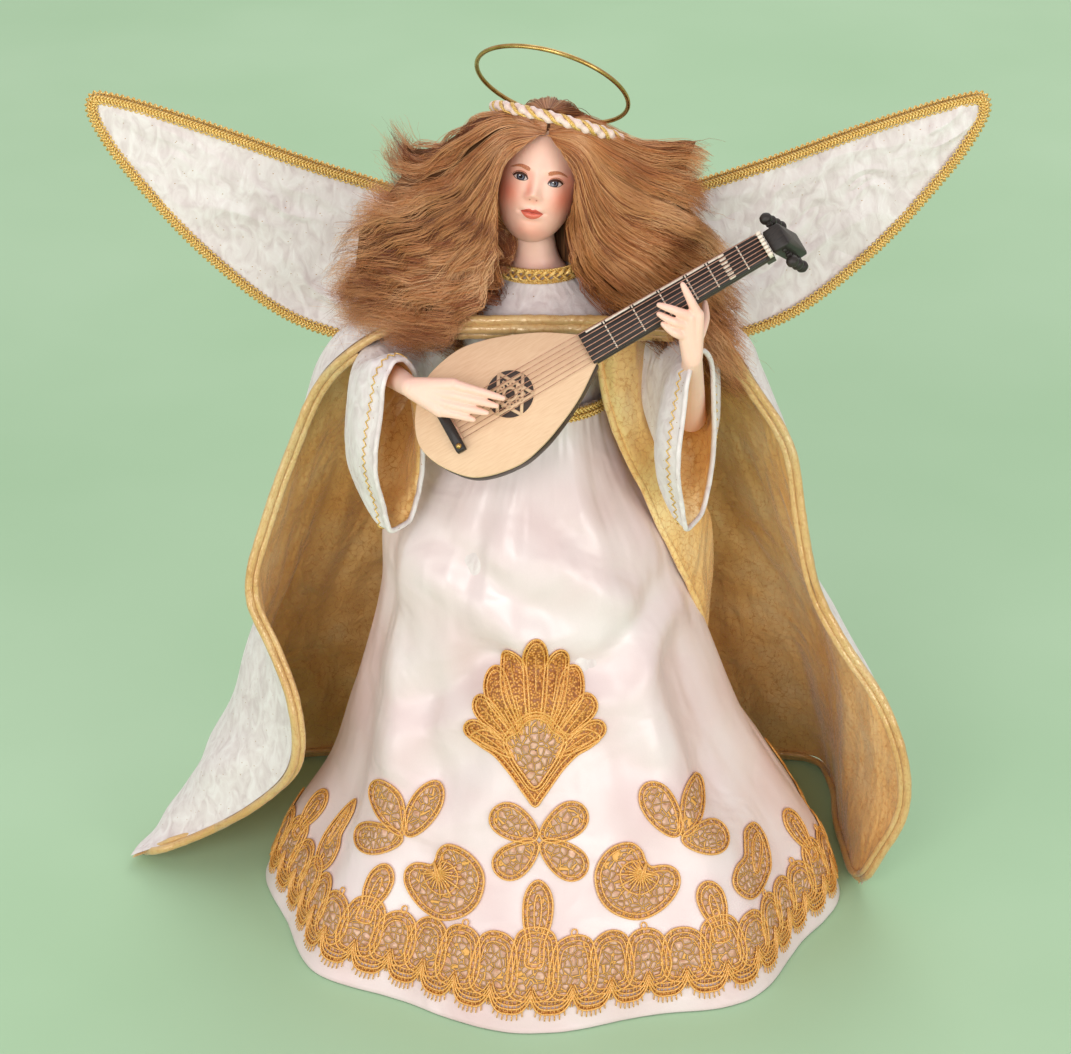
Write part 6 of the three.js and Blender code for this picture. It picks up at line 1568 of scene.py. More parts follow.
def make_headband():
    ring = tilted_hoop(BAND_PLACE, BAND_ROLL, BAND_LEAN, *BAND_HALVES, BAND_STEPS)
    _, side, up = frames(ring, True)
    along = TAU * np.arange(BAND_STEPS) / BAND_STEPS
    way = lambda angle: np.cos(angle)[:, None] * side + np.sin(angle)[:, None] * up
    round_ring = lambda angle, away: ring + away * way(angle)
    puff = BAND_PUFF * (0.72 + 0.38 * np.cos(2 * BAND_TWISTS * along) ** 2)
    band, cord = Shape(), Shape()
    for k in range(2):
        band.tube(round_ring(BAND_TWISTS * along + math.pi * k, BAND_TWIST), puff, 12, True)
        for shift in (-0.2, 0.2):
            angle = BAND_TWISTS * along + math.pi * k + math.pi / 2 + shift
            cord.rope(round_ring(angle, CORD_AT), 0.26, 0.34, 2, 2.0, 5, True)
    piece(band, "headband_ribbon", ribbon, nodes=["headband"])
    piece(cord, "headband_cord", gold_cord)


def make_halo():
    ring = tilted_hoop(HALO_PLACE, HALO_ROLL, HALO_LEAN, HALO_HALF, HALO_HALF, HALO_STEPS)
    wire = Shape().tube(ring, HALO_WIRE, 12, True)
    foot = ring[HALO_STEPS // 4]
    wire.tube(curve_through([foot + np.array(step) for step in HALO_STEM], 24), HALO_WIRE, 12)
    piece(wire, "halo_wire", brass, nodes=["halo"])


# Arms, hands and sleeves

ARM_REACH, ARM_FORWARD, SHOULDER, SLEEVE_TALL, SLEEVE_WIDE, HAND = 66, 62, 296, 38, 17, 35
SLEEVE_ROWS, SLEEVE_COLUMNS, SLEEVE_THICK, CUFF_ROLL = 80, 144, 1.3, 1.15
STITCH_STEPS, STITCH_ROW = 480, -7
ARM_AT_ELBOW, WRIST, UPPER_ARM, KNUCKLE, THUMB_ROOT = 6.8, 4.4, 3.4, 2.9, 2.1
# Thickness of a finger from its knuckle to its tip: places as shares, then radii.
FINGER = ([0, 0.35, 0.6, 0.85, 1], [2.7, 2.1, 1.85, 1.6, 1.2])
FINGER_STEPS, SKIN_VOXEL = 9, 0.4
# Places are shares of the reach, the forward reach and the sleeve's height. A ring adds its half height
# and half width as shares, then the way that it faces. Digits are shares of the hand's length from the wrist.
ARMS = {
    "right": {
        "side": -1, "elbow": [1.06, -0.24, 0.42], "wrist": [0.82, -1.03, 0.08],
        "rings": [
            [0.58, 0, 0.1, 0.32, 0.7, -1, -0.1, -0.1], [0.82, -0.05, 0.42, 0.45, 0.82, -0.75, -0.35, -0.55],
            [1, -0.23, 0.74, 0.68, 0.94, -0.45, -0.8, -0.35], [1.045, -0.48, 0.95, 0.87, 0.94, 0, -1, -0.15],
            [1, -0.69, 0.94, 1.04, 0.94, 0.45, -0.88, 0], [0.91, -0.81, 0.95, 1.08, 0.94, 0.8, -0.6, 0],
        ],
        "digits": [
            [[0.52, -0.17, 0.12], [0.84, -0.26, 0.07], [1.12, -0.28, -0.01]],
            [[0.52, -0.21, 0.0], [0.82, -0.29, -0.04], [1.04, -0.3, -0.1]],
            [[0.45, -0.24, -0.11], [0.72, -0.31, -0.14], [0.92, -0.33, -0.18]],
            [[0.36, -0.25, -0.19], [0.58, -0.31, -0.22], [0.76, -0.33, -0.27]],
        ],
    },
    "left": {
        "side": 1, "elbow": [1.02, -0.33, 0.86], "wrist": [0.99, -0.9, -0.18],
        "rings": [
            [0.58, 0, 0.1, 0.32, 0.7, 1, -0.1, -0.1], [0.79, -0.05, 0.37, 0.45, 0.82, 0.7, -0.4, -0.5],
            [0.94, -0.19, 0.63, 0.68, 1.04, 0.5, -0.82, -0.3], [1, -0.39, 0.84, 0.87, 1.06, 0.58, -0.8, -0.1],
            [0.98, -0.61, 0.92, 0.97, 1.3, 0.78, -0.62, 0], [1.04, -0.77, 0.91, 1.1, 1.2, 0.91, -0.42, 0],
        ],
        "digits": [
            [[0.05, -0.06, 0.6], [-0.05, -0.12, 0.84], [-0.14, -0.1, 1.02]],
            [[-0.05, -0.1, 0.6], [-0.24, -0.2, 0.73], [-0.42, -0.16, 0.78]],
            [[-0.1, -0.1, 0.49], [-0.27, -0.22, 0.6], [-0.42, -0.18, 0.67]],
            [[-0.1, -0.08, 0.34], [-0.24, -0.2, 0.44], [-0.37, -0.18, 0.54]],
            [[0.08, 0.04, 0.3], [0.16, 0.22, 0.42], [0.16, 0.4, 0.56]],
        ],
    },
}


def arm_spot(arm, at):
    return np.array([arm["side"] * at[0] * ARM_REACH, at[1] * ARM_FORWARD, SHOULDER - at[2] * SLEEVE_TALL])


def sleeve_rings(arm, inset):
    """The sleeve's cross sections from the shoulder to the cuff, with soft folds that run down it."""
    turn = np.linspace(0, TAU, SLEEVE_COLUMNS, endpoint=False)
    around, rise = np.cos(turn), np.sin(turn)
    made = []
    for k, (reach, forward, drop, tall, wide, *facing) in enumerate(smooth_table(arm["rings"], SLEEVE_ROWS)):
        facing = unit(np.array(facing))
        up = unit(np.array([0, 0, 1.0]) - facing * facing[2])
        across = np.cross(up, facing)
        share = k / (SLEEVE_ROWS - 1)
        fold = 1.0 * share * np.cos(5 * turn + 2.2 * share)
        fold = fold + 0.8 * noise(3 * around + 5, 3 * rise + 6 * share, 4, 3)
        wide_half, tall_half = wide * SLEEVE_WIDE - inset + fold, tall * SLEEVE_TALL - inset + fold
        square = 1 - 0.42 * share * smoothstep(-rise, -0.1, 0.6)
        spread = np.sign(around) * np.abs(around) ** square
        spot = arm_spot(arm, (reach, forward, drop))
        made.append(spot + (spread * wide_half)[:, None] * across + (rise * tall_half)[:, None] * up)
    return np.array(made)


def make_stitches(name, ring):
    """A zigzag of gold thread round the sleeve, a little above its cuff."""
    middle = ring.mean(0)
    path = spaced(ring + 0.45 * unit(ring - middle), STITCH_STEPS, True)
    ahead = unit(np.roll(path, -1, 0) - np.roll(path, 1, 0))
    side = unit(np.cross(ahead, unit(path - middle)))
    zigzag = np.abs((np.arange(STITCH_STEPS) / 5.0) % 2 - 1) * 2 - 1
    stitches = Shape().tube(path + 1.0 * zigzag[:, None] * side, 0.3, 5, True)
    piece(stitches, f"sleeve_stitches_{name}", gold_cord)


def make_sleeve(name, arm):
    outer, lining = sleeve_rings(arm, 0.0), sleeve_rings(arm, SLEEVE_THICK)
    cloth = Shape().grid(outer, round_=True)
    cloth = piece(cloth, f"sleeve_cloth_{name}", crinkle, nodes=[f"sleeve_{name}"])
    inside = Shape().grid(lining, round_=True)
    inside = piece(inside, f"sleeve_inside_{name}", brocade, nodes=[f"sleeve_lining_{name}"])
    roll = Shape().tube((outer[-1] + lining[-1]) / 2, CUFF_ROLL, 10, True)
    roll = piece(roll, f"sleeve_edge_{name}", crinkle)
    make_stitches(name, outer[STITCH_ROW])
    return cloth, inside, roll


def capsule(shape, start, end, start_radius, end_radius, sides=14):
    start, end = np.asarray(start, float), np.asarray(end, float)
    along = unit(end - start)
    angle = np.linspace(0, math.pi / 2, 5)
    path = [start - along * start_radius * math.cos(a) for a in angle]
    radii = [start_radius * math.sin(a) for a in angle]
    path += [end + along * end_radius * math.sin(a) for a in angle]
    radii += [end_radius * math.cos(a) for a in angle]
    shape.tube(path, np.maximum(radii, 0.02), sides)


def add_digit(limb, wrist, joints, thumb):
    """A digit through its joints, and its share of the palm from the wrist to the knuckle."""
    capsule(limb, wrist + 0.1 * (joints[0] - wrist), joints[0], WRIST, THUMB_ROOT if thumb else KNUCKLE, 16)
    fine = curve_through(joints, FINGER_STEPS)
    radii = np.interp(np.linspace(0, 1, FINGER_STEPS), *FINGER)
    for k in range(FINGER_STEPS - 1):
        capsule(limb, fine[k], fine[k + 1], radii[k], radii[k + 1], 10)


def make_hand(name, arm):
    wrist, elbow = arm_spot(arm, arm["wrist"]), arm_spot(arm, arm["elbow"])
    start = elbow - 0.25 * (wrist - elbow)
    limb = Shape()
    capsule(limb, start, wrist, ARM_AT_ELBOW, WRIST, 20)
    for i, joints in enumerate(arm["digits"]):
        add_digit(limb, wrist, [wrist + HAND * np.array(joint) for joint in joints], i == 4)
    made = piece(limb, f"hand_{name}_skin", skin, nodes=[f"hand_{name}"])
    remesh = made.modifiers.new("Remesh", "REMESH")
    remesh.mode = "VOXEL"
    remesh.voxel_size = SKIN_VOXEL * MM
    remesh.use_smooth_shade = True
    soften = made.modifiers.new("Smooth", "SMOOTH")
    soften.factor, soften.iterations = 0.5, 5
    shoulder = np.array([arm["side"] * TORSO_HALF, 0, SHOULDER])
    spots = [shoulder, shoulder * 0.4 + elbow * 0.6, elbow, start]
    sleeve = Shape().tube(curve_through(spots, 30), UPPER_ARM, 12)
    piece(sleeve, f"arm_wrap_{name}", crinkle, nodes=[f"upper_arm_{name}"])


# The mantle

MANTLE_WIDE, MANTLE_DEEP, MANTLE_TALL, MANTLE_FOOT, PIPING = 197, 120, 313, 4.6, 2
MANTLE_ROWS, MANTLE_COLUMNS, MANTLE_OUT, MANTLE_IN = 170, 300, 0.75, -0.65
ROLL, INNER_ROLL, ROLL_STEPS, ROLL_OUT, ROLL_GAP, SOFTEN = 1.95, 1.5, 1500, 2.9, 3.1, 10
ROLL_CENTRE = 150
# Height, then seven places along the cloth from the right edge to the left one, across and back.
MANTLE_SHARES = [
    [0, -1, 0.1, -0.975, 0.217, -0.69, 0.867, 0, 1, 0.701, 0.867, 0.761, 0.233, 0.782, -0.1],
    [0.064, -0.838, 0.017, -0.904, 0.183, -0.67, 0.85, 0, 0.967, 0.68, 0.85, 0.761, 0.233, 0.812, -0.15],
    [0.16, -0.68, -0.133, -0.822, 0.133, -0.619, 0.817, 0, 0.9, 0.64, 0.817, 0.772, 0.217, 0.863, -0.208],
    [0.256, -0.584, -0.25, -0.741, 0.117, -0.558, 0.767, 0, 0.817, 0.589, 0.767, 0.761, 0.183, 0.858, -0.233],
    [0.361, -0.579, -0.25, -0.69, 0.133, -0.508, 0.717, 0, 0.733, 0.528, 0.717, 0.741, 0.15, 0.802, -0.2],
    [0.447, -0.62, -0.183, -0.65, 0.183, -0.467, 0.65, 0, 0.65, 0.477, 0.65, 0.68, 0.217, 0.711, -0.142],
    [0.527, -0.665, -0.125, -0.609, 0.267, -0.426, 0.6, 0, 0.583, 0.437, 0.6, 0.609, 0.25, 0.645, -0.108],
    [0.64, -0.62, -0.079, -0.57, 0.217, -0.386, 0.5, 0, 0.486, 0.386, 0.5, 0.569, 0.203, 0.605, -0.086],
    [0.76, -0.555, -0.067, -0.525, 0.16, -0.353, 0.385, 0, 0.38, 0.353, 0.385, 0.535, 0.16, 0.57, -0.067],
    [0.863, -0.49, -0.075, -0.497, 0.067, -0.325, 0.3, 0, 0.333, 0.335, 0.3, 0.497, 0.067, 0.482, -0.075],
    [0.927, -0.405, -0.12, -0.437, 0, -0.295, 0.25, 0, 0.315, 0.305, 0.25, 0.447, 0, 0.416, -0.12],
    [0.968, -0.305, -0.15, -0.335, -0.02, -0.23, 0.2, 0, 0.27, 0.23, 0.2, 0.345, -0.02, 0.305, -0.15],
    [1, -0.16, -0.15, -0.2, -0.02, -0.15, 0.14, 0, 0.21, 0.15, 0.14, 0.2, -0.02, 0.16, -0.15],
]


def mantle_form():
    """The mantle without its folds: smooth across each row of places, then smooth up its height."""
    knots = []
    for height, *shares in MANTLE_SHARES:
        z = MANTLE_FOOT + (MANTLE_TALL - MANTLE_FOOT) * height
        spots = [(x * MANTLE_WIDE, y * MANTLE_DEEP, z) for x, y in zip(shares[::2], shares[1::2])]
        knots.append([height, *curve_through(spots, MANTLE_COLUMNS).ravel()])
    knots, wanted = np.array(knots), np.linspace(0, 1, MANTLE_ROWS)
    grid = np.stack([share_at(knots, wanted, c) for c in range(1, knots.shape[1])], axis=1)
    return grid.reshape(MANTLE_ROWS, MANTLE_COLUMNS, 3)


def mantle_grid():
    grid = mantle_form()
    across, height = np.linspace(0, 1, MANTLE_COLUMNS)[None, :], np.linspace(0, 1, MANTLE_ROWS)[:, None]
    outward = unit(np.cross(np.gradient(grid, axis=1), (0, 0, 1))) * -1
    fold = 4 * np.sin(math.pi * across) * (1 - height) * np.cos(TAU * 5 * across)
    loose = np.sin(math.pi * across) ** 0.5
    fold = fold + 2.4 * loose * noise(across * 18 + 2, height * 4 + 6 * across, 6, 2)
    fold = fold + 1.1 * loose * noise(across * 40 + 5 * height, height * 9, 16, 2)
    fold = fold + 0.9 * np.cos(TAU * 13 * across + 3 * height) * loose * smoothstep(height, 1, 0.6)
    return grid + fold[..., None] * outward


def pushed(grid, distance):
    normal = unit(np.cross(np.gradient(grid, axis=0), np.gradient(grid, axis=1)))
    return grid + distance * normal


def edge_path(grid):
    """The way of the rolled edge: down one side of the cloth, along its hem and up the other side."""
    sides = grid[4:-4]
    left = sides[:, 0] + ROLL_OUT * unit((sides[:, 0] - sides[:, 8]) * [1, 1, 0])
    right = sides[:, -1] + ROLL_OUT * unit((sides[:, -1] - sides[:, -9]) * [1, 1, 0])
    hem = grid[0].copy()
    hem[:, 2] = PIPING
    path = spaced(np.vstack([left[::-1], hem[6:-6], right]), ROLL_STEPS)
    kernel = np.ones(2 * SOFTEN + 1) / (2 * SOFTEN + 1)
    padded = np.pad(path, ((SOFTEN, SOFTEN), (0, 0)), mode="edge")
    soft = np.stack([np.convolve(padded[:, c], kernel, "valid") for c in range(3)], axis=1)
    soft[:, 2] = np.maximum(soft[:, 2], PIPING + 0.1)
    return soft


def make_mantle():
    grid = mantle_grid()
    outer, lining = pushed(grid, MANTLE_OUT), pushed(grid, MANTLE_IN)[:, ::-1]
    face = piece(Shape().grid(outer), "mantle_face", crinkle, nodes=["mantle_outer"])
    back = piece(Shape().grid(lining), "mantle_inside", brocade, nodes=["mantle_lining"])
    path = edge_path(grid)
    along = np.linspace(0, 260, len(path))
    roll = Shape().tube(path, ROLL + 0.12 * noise(along, along * 0, 2, 2), 12)
    tangent = unit(np.gradient(path, axis=0))
    inward = unit(np.cross(tangent, unit(np.cross(tangent, path - [0, 0, ROLL_CENTRE]))))
    inner, along = (path + ROLL_GAP * inward)[40:-40], along[40:-40]
    inner[:, 2] = np.maximum(inner[:, 2], PIPING + 0.1)
    roll.tube(inner, INNER_ROLL + 0.1 * noise(along, along * 0, 3, 2), 12)
    piece(roll, "mantle_rolls", brocade_fine, nodes=["mantle_piping"])
    return face, back


# Places of the band across the chest, as shares of the torso's half width.
BAND_SHARES = [
    [-2.2, -0.8, -0.12], [-1.5, -0.98, -0.02], [-0.75, -1.1, 0.04], [0, -1.14, 0.06], [0.75, -1.1, 0.04],
    [1.5, -0.98, -0.03], [2.2, -0.8, -0.14],
]
# Each of its rolls: how far up, how far out, and its radius.
CHEST_ROLLS = ((3.1, 0, 2.3), (-0.4, 1.2, 2.4), (-3.6, 0.2, 2.0))
CHEST_STEPS = 160


def make_chest_band():
    base = np.array([0, 0, TORSO_TOP + 0.3])
    path = curve_through(base + TORSO_HALF * np.array(BAND_SHARES), CHEST_STEPS)
    shape = Shape()
    along = np.linspace(0, 30, CHEST_STEPS)
    for up, out, radius in CHEST_ROLLS:
        wobble = 0.25 * noise(along, along * 0 + up, 5, 2)
        shape.tube(path + np.stack([along * 0, -out + wobble, up + wobble], axis=1), radius, 14)
    piece(shape, "chest_rolls", brocade_fine, nodes=["chest_band"])


FOLD = [
    [(24, -29, 304), (34, -27, 304), (42, -22, 303), (47, -14, 302)],
    [(26, -28, 285), (35, -27, 285), (42, -23, 285), (47, -14, 285)],
    [(30, -27, 265), (38, -26, 265), (44, -21, 265), (49, -12, 265)],
    [(36, -25, 246), (43, -23, 245), (50, -17, 246), (56, -7, 247)],
    [(47, -21, 223), (53, -17, 223), (60, -9, 225), (66, 1, 227)],
    [(56, -17, 201), (63, -11, 201), (68, -2, 203), (74, 9, 206)],
    [(66, -13, 178), (71, -5, 178), (76, 6, 180), (80, 18, 184)],
    [(74, -4, 154), (78, 5, 154), (80, 16, 156), (82, 28, 160)],
    [(79, 14, 124), (80, 21, 124), (80, 28, 126), (80, 34, 130)],
]


FOLD_ROWS, FOLD_COLUMNS, FOLD_ROLL = 160, 60, 1.5


def make_fold():
    """The mantle's lining where it hangs before the left upper arm and down the skirt's side."""
    across = np.array([curve_through(row, FOLD_COLUMNS) for row in FOLD])
    grid = np.array([curve_through(across[:, k], FOLD_ROWS) for k in range(FOLD_COLUMNS)]).transpose(1, 0, 2)
    share, down = np.linspace(0, 1, FOLD_COLUMNS)[None], np.linspace(0, 1, FOLD_ROWS)[:, None]
    wave = 1.3 * np.cos(TAU * 1.8 * share + 4.5 * down)
    wave = wave + 1.2 * noise(share * 4 + 5 * down, down * 9 + share, 21)
    grid[..., 1] += wave
    grid[..., 0] += 0.5 * wave
    fold = piece(Shape().grid(grid), "mantle_fold", brocade)
    roll = Shape().tube(grid[:, 0] + [0, -0.4, 0], FOLD_ROLL, 12)
    roll = piece(roll, "mantle_fold_roll", brocade)
    return fold, roll


brocade_fine = make_brocade("brocade_fine", 0.6, 0.74)


# Wings

WING_SPAN, WING_RISE, WING_FOOT, HINGE_GAP, HINGE_DEEP = 190, 128, 252, 24, 48.5
WING_TURN = math.radians(4.3)
WING_ROWS, WING_COLUMNS, WING_STEPS, GIMP_STEPS, SCALLOPS = 110, 240, 560, 1500, 190
WING_INSET, GIMP_INSET, SCALLOP_OUT, SCALLOP_IN, GIMP_DEEP = 2.6, 2.2, 0.3, 4.1, 1.7
WING_EDGE_SHARES = [
    (0.07, 0.52), (0.25, 0.65), (0.48, 0.76), (0.73, 0.89), (0.93, 0.975), (0.985, 0.98), (1, 0.93),
    (0.965, 0.8),
    (0.875, 0.61), (0.74, 0.38), (0.55, 0.15), (0.38, 0.06), (0.2, 0.01), (0.07, 0.1),
]


def wing_place(side):
    return (
        Matrix.Translation((side * HINGE_GAP / 2, HINGE_DEEP, 0))
        @ Matrix.Rotation(side * WING_TURN, 4, "Z")
        @ Matrix.Diagonal((side, 1, 1, 1))
    )


def wing_outline(inset, count):
    knots = [(x * WING_SPAN, 0, WING_FOOT + z * WING_RISE) for x, z in WING_EDGE_SHARES]
    edge = curve_through(knots, count, True)
    ahead = unit(np.roll(edge, -1, 0) - np.roll(edge, 1, 0))
    inward = np.stack([ahead[:, 2], 0 * ahead[:, 0], -ahead[:, 0]], axis=1)
    return edge + inset * inward, inward


def wing_sheet():
    """The wing's flat cloth, between the upper and the lower run of its wire, from root to tip."""
    edge, _ = wing_outline(WING_INSET, WING_STEPS)
    root = [0.07 * WING_SPAN, 0, WING_FOOT + 0.3 * WING_RISE]
    start = int(np.argmin(np.linalg.norm(edge - root, axis=1)))
    around = np.roll(edge, -start, axis=0)
    tip = (int(np.argmax(edge[:, 0])) - start) % len(edge)
    top = spaced(around[:tip + 1], WING_COLUMNS)
    foot = spaced(np.vstack([around[tip:], around[:1]])[::-1], WING_COLUMNS)
    share = np.linspace(0, 1, WING_ROWS)[:, None, None]
    return top[None] * (1 - share) + foot[None] * share


def wing_crumples(x, z, seed):
    """How far the crumpled cloth stands off the middle of the wing."""
    u, v = (x * 0.82 + z * 0.57), (z * 0.82 - x * 0.57)
    u, v = u + 9 * noise(x / 40, z / 40, seed + 2), v + 9 * noise(x / 34 + 5, z / 34, seed + 3)
    big = 1 - np.abs(noise(u / 46, v / 17, seed, 1)) * 2.6
    middle = 1 - np.abs(noise(u / 24, v / 10, seed + 7, 1)) * 2.2
    small = noise(u / 8, v / 5, seed + 5, 3)
    return 1.3 + 1.25 * big + 0.7 * middle + 0.28 * small


def make_wing_gimp(name, side):
    braid = Shape()
    path, inward = wing_outline(GIMP_INSET, GIMP_STEPS)
    out = np.tile([0.0, 1.0, 0.0], (GIMP_STEPS, 1))
    for depth in (-GIMP_DEEP, GIMP_DEEP):
        plait(braid, path + [0, depth, 0], out, 2.6, 4.4, 0.5, 3)
    turns = TAU * np.arange(GIMP_STEPS) * SCALLOPS / GIMP_STEPS
    wide, _ = wing_outline(SCALLOP_OUT, GIMP_STEPS)
    swing = (0.55 + 0.65 * np.cos(turns))[:, None]
    braid.tube(wide - inward * swing + out * 0.5 * np.sin(turns)[:, None], 0.42, 5, True)
    inner, _ = wing_outline(SCALLOP_IN, GIMP_STEPS)
    inner = inner + inward * (0.4 + 0.5 * np.cos(turns))[:, None]
    for depth in (-1.6, 1.6):
        braid.tube(inner + [0, depth, 0], 0.36, 5, True)
    nodes = [f"wing_braid_{name}"]
    piece(braid.moved(wing_place(side)), f"wing_gimp_{name}", gold_cord, f"wing_{name}", nodes)


def make_wing(name, side):
    flat = wing_sheet()
    share, along = np.linspace(0, 1, WING_ROWS)[:, None], np.linspace(1, 0, WING_COLUMNS)
    pin = (np.sin(math.pi * share) ** 0.35) * smoothstep(along, 0, 0.06)[None]
    crumples = wing_crumples(flat[..., 0], flat[..., 2], 3 if side < 0 else 9)
    shape = Shape()
    for way in (-1, 1):
        puff = way * crumples * pin
        rows = flat + np.stack([0 * puff, puff, 0 * puff], axis=-1)
        shape.grid(rows if way < 0 else rows[:, ::-1])
    shape, nodes = shape.moved(wing_place(side)), [f"wing_cloth_{name}"]
    cloth = piece(shape, f"wing_fabric_{name}", crinkle, f"wing_{name}", nodes)
    make_wing_gimp(name, side)
    return cloth


# The lute, drawn with X along its neck, Y across it and Z out of the soundboard

ROSE_PLACE = np.array([-12.0, -62.0, 289.0])
LUTE_LENGTH, TAIL, LUTE_HALF, BOARD, BOWL = 83, 44.6, 29, 2, 25
# Length along the body as a share, then half width as a share of the widest.
LUTE_SHARES = [
    [0, 0], [0.02, 0.26], [0.08, 0.56], [0.18, 0.84], [0.4, 1], [0.55, 0.93], [0.7, 0.77], [0.84, 0.57],
    [1, 0.25],
]
BOWL_SHARES = [[0, 1], [0.3, 0.97], [0.6, 0.84], [0.85, 0.6], [1, 0.32]]
NECK_FROM, NECK_TO, NECK_AT_BODY, NECK_AT_NUT = 37.5, 123.5, 15, 12.6
NECK_WOOD_FROM, NECK_DEEP, BOARD_FOOT, BOARD_TOP, STRINGS, FRET = 38.9, 7, 0.3, 1.9, 7, 0.36
LUTE_STEPS, BOWL_STEPS, BOWL_RIBS, RIB = 160, 22, 5.5, 0.35
# Frets and the capo, the fret that stands widest, as shares of the neck's length.
FRET_SHARES, CAPO = (0.14, 0.3, 0.45, 0.6, 0.72, 0.8, 0.89), 5
BRIDGE_AT, BRIDGE_LOW, BRIDGE_HIGH = -29.5, (-31.7, -12, 0.3), (-27.3, 12, 3.5)
STRING_AT, STRING_MIDDLE, STRING_HIGH = -26.7, 50, 2.8
SPREAD_AT_BRIDGE, SPREAD_AT_MIDDLE, SPREAD_AT_NUT = 15, 13.2, 10.6
PEGBOX_LONG, PEGBOX_HALF, PEGBOX_DEEP, PEGBOX_TURN = 27, 5.5, 8, math.radians(78)
# A peg from its end to its head: place along it, then radius.
PEG = [
    (-6.3, 0.9), (5.5, 0.95), (6.6, 1.0), (7.4, 1.5), (8.2, 1.1), (9.0, 2.2), (10.4, 2.75), (12.0, 2.4),
    (12.9, 1.2), (13.3, 0.3),
]


def lute_place():
    face = unit(np.array([-0.2, -0.754, 0.627]))
    neck = np.array([0.866, 0.167, 0.477])
    neck = unit(neck - face * (neck @ face))
    return as_matrix(neck, np.cross(face, neck), face, ROSE_PLACE)


def lute_outline(scale=1.0):
    """The body's closed outline, scaled about its widest place."""
    upper = [(a * LUTE_LENGTH - TAIL, w * LUTE_HALF) for a, w in LUTE_SHARES]
    outline = curve_through(upper[::-1] + [(x, -y) for x, y in upper[1:]], LUTE_STEPS)
    middle = np.array([0.4 * LUTE_LENGTH - TAIL, 0])
    return middle + (outline - middle) * scale


def lute_piece(shape, name, material, nodes=()):
    shape.marks = [points.copy() for points in shape.points]
    return piece(shape.moved(lute_place()), name, material, nodes=nodes)


def rounded_plate(shape, outline, low, high, edge=0.5):
    """A flat plate with softened rims, from a closed outline of X and Y."""
    middle = outline.mean(0)
    eased = 1 - edge / np.linalg.norm(outline - middle, axis=1).mean()
    levels = ((low, 0.001), (low, eased), (low + edge, 1), (high - edge, 1), (high, eased), (high, 0.001))
    rows = [np.c_[middle + (outline - middle) * scale, np.full(len(outline), z)] for z, scale in levels]
    shape.grid(np.array(rows), round_=True)


def neck_half(x):
    share = (np.asarray(x) - NECK_FROM) / (NECK_TO - NECK_FROM)
    return (NECK_AT_BODY + (NECK_AT_NUT - NECK_AT_BODY) * share) / 2


def block(shape, low, high, round_edge=0.3, matrix=None):
    """A block with eased edges, from one corner to the other."""
    low, high = np.asarray(low, float), np.asarray(high, float)
    centre, half = (low + high) / 2, (high - low) / 2
    turn = (np.arange(24) + 0.5) * TAU / 24
    power = lambda v: np.sign(v) * np.abs(v) ** 0.12
    outline = np.stack([power(np.cos(turn)) * half[0], power(np.sin(turn)) * half[1]], axis=1)
    rows = []
    for z, scale in ((-1, 0.01), (-1, 0), (-1, 1), (1, 1), (1, 0), (1, 0.01)):
        ease = round_edge if scale == 0 else 0
        ring = outline * (0.01 if scale == 0.01 else 1) - (np.sign(outline) * ease if scale != 0.01 else 0)
        level = z * (half[2] - (round_edge if scale == 1 else 0))
        rows.append(np.c_[ring, np.full(24, level)] + centre)
    rows = np.array(rows)
    if matrix is not None:
        rows = np.c_[rows.reshape(-1, 3), np.ones(rows.size // 3)] @ np.asarray(matrix).T[:, :3]
        rows = rows.reshape(6, 24, 3)
    shape.grid(rows, round_=True)


def make_rose():
    dark, bars = Shape(), Shape()
    turn = np.linspace(0, TAU, 72, endpoint=False)
    ring = lambda r, z: np.stack([r * np.cos(turn), r * np.sin(turn), np.full(72, z)], axis=1)
    dark.grid(np.array([ring(0.01, 0.06), ring(5, 0.06), ring(10.6, 0.06)]), round_=True)
    lute_piece(dark, "rose_shade", walnut)
    at = lambda r, a: np.array([r * math.cos(a), r * math.sin(a), 0.14])
    bar = lambda path, wide: bars.tube(np.array(path), wide, 6, flat=0.4)
    for k in range(6):
        a = TAU * (k + 0.5) / 6
        bar([at(10.5, a), at(5.3, a + TAU / 6), at(10.5, a + TAU / 3)], 0.75)
        bar([at(5.9, a + TAU / 12), at(3.0, a + TAU / 12)], 0.6)
        bar([at(6.6, a), at(2.9, a + TAU / 12)], 0.42)
        bar([at(6.6, a), at(2.9, a - TAU / 12)], 0.42)
    bars.tube(ring(10.65, 0.08), 0.3, 6, True)
    bars.tube(ring(2.75, 0.14), 0.7, 6, True, 0.5)
    lute_piece(bars, "rose_lattice", spruce)


def make_bowl():
    rows = []
    for share in np.linspace(0, 1, BOWL_STEPS):
        ring = lute_outline(share_at(BOWL_SHARES, share, 1))
        rows.append(np.c_[ring, np.full(len(ring), -BOARD - 0.3 - BOWL * share)])
    last = rows[-1]
    rows.append(last.mean(0) + (last - last.mean(0)) * 0.02 - [0, 0, 0.4])
    rows = np.array(rows)
    ribs = RIB * np.abs(np.sin(np.linspace(0, BOWL_RIBS * math.pi, LUTE_STEPS)))[None, :, None]
    rows[1:] += ribs * unit(rows[1:] - rows[1:].mean(1, keepdims=True))
    lute_piece(Shape().grid(rows[:, ::-1], round_=True), "bowl_ribs", walnut, ["lute_bowl"])


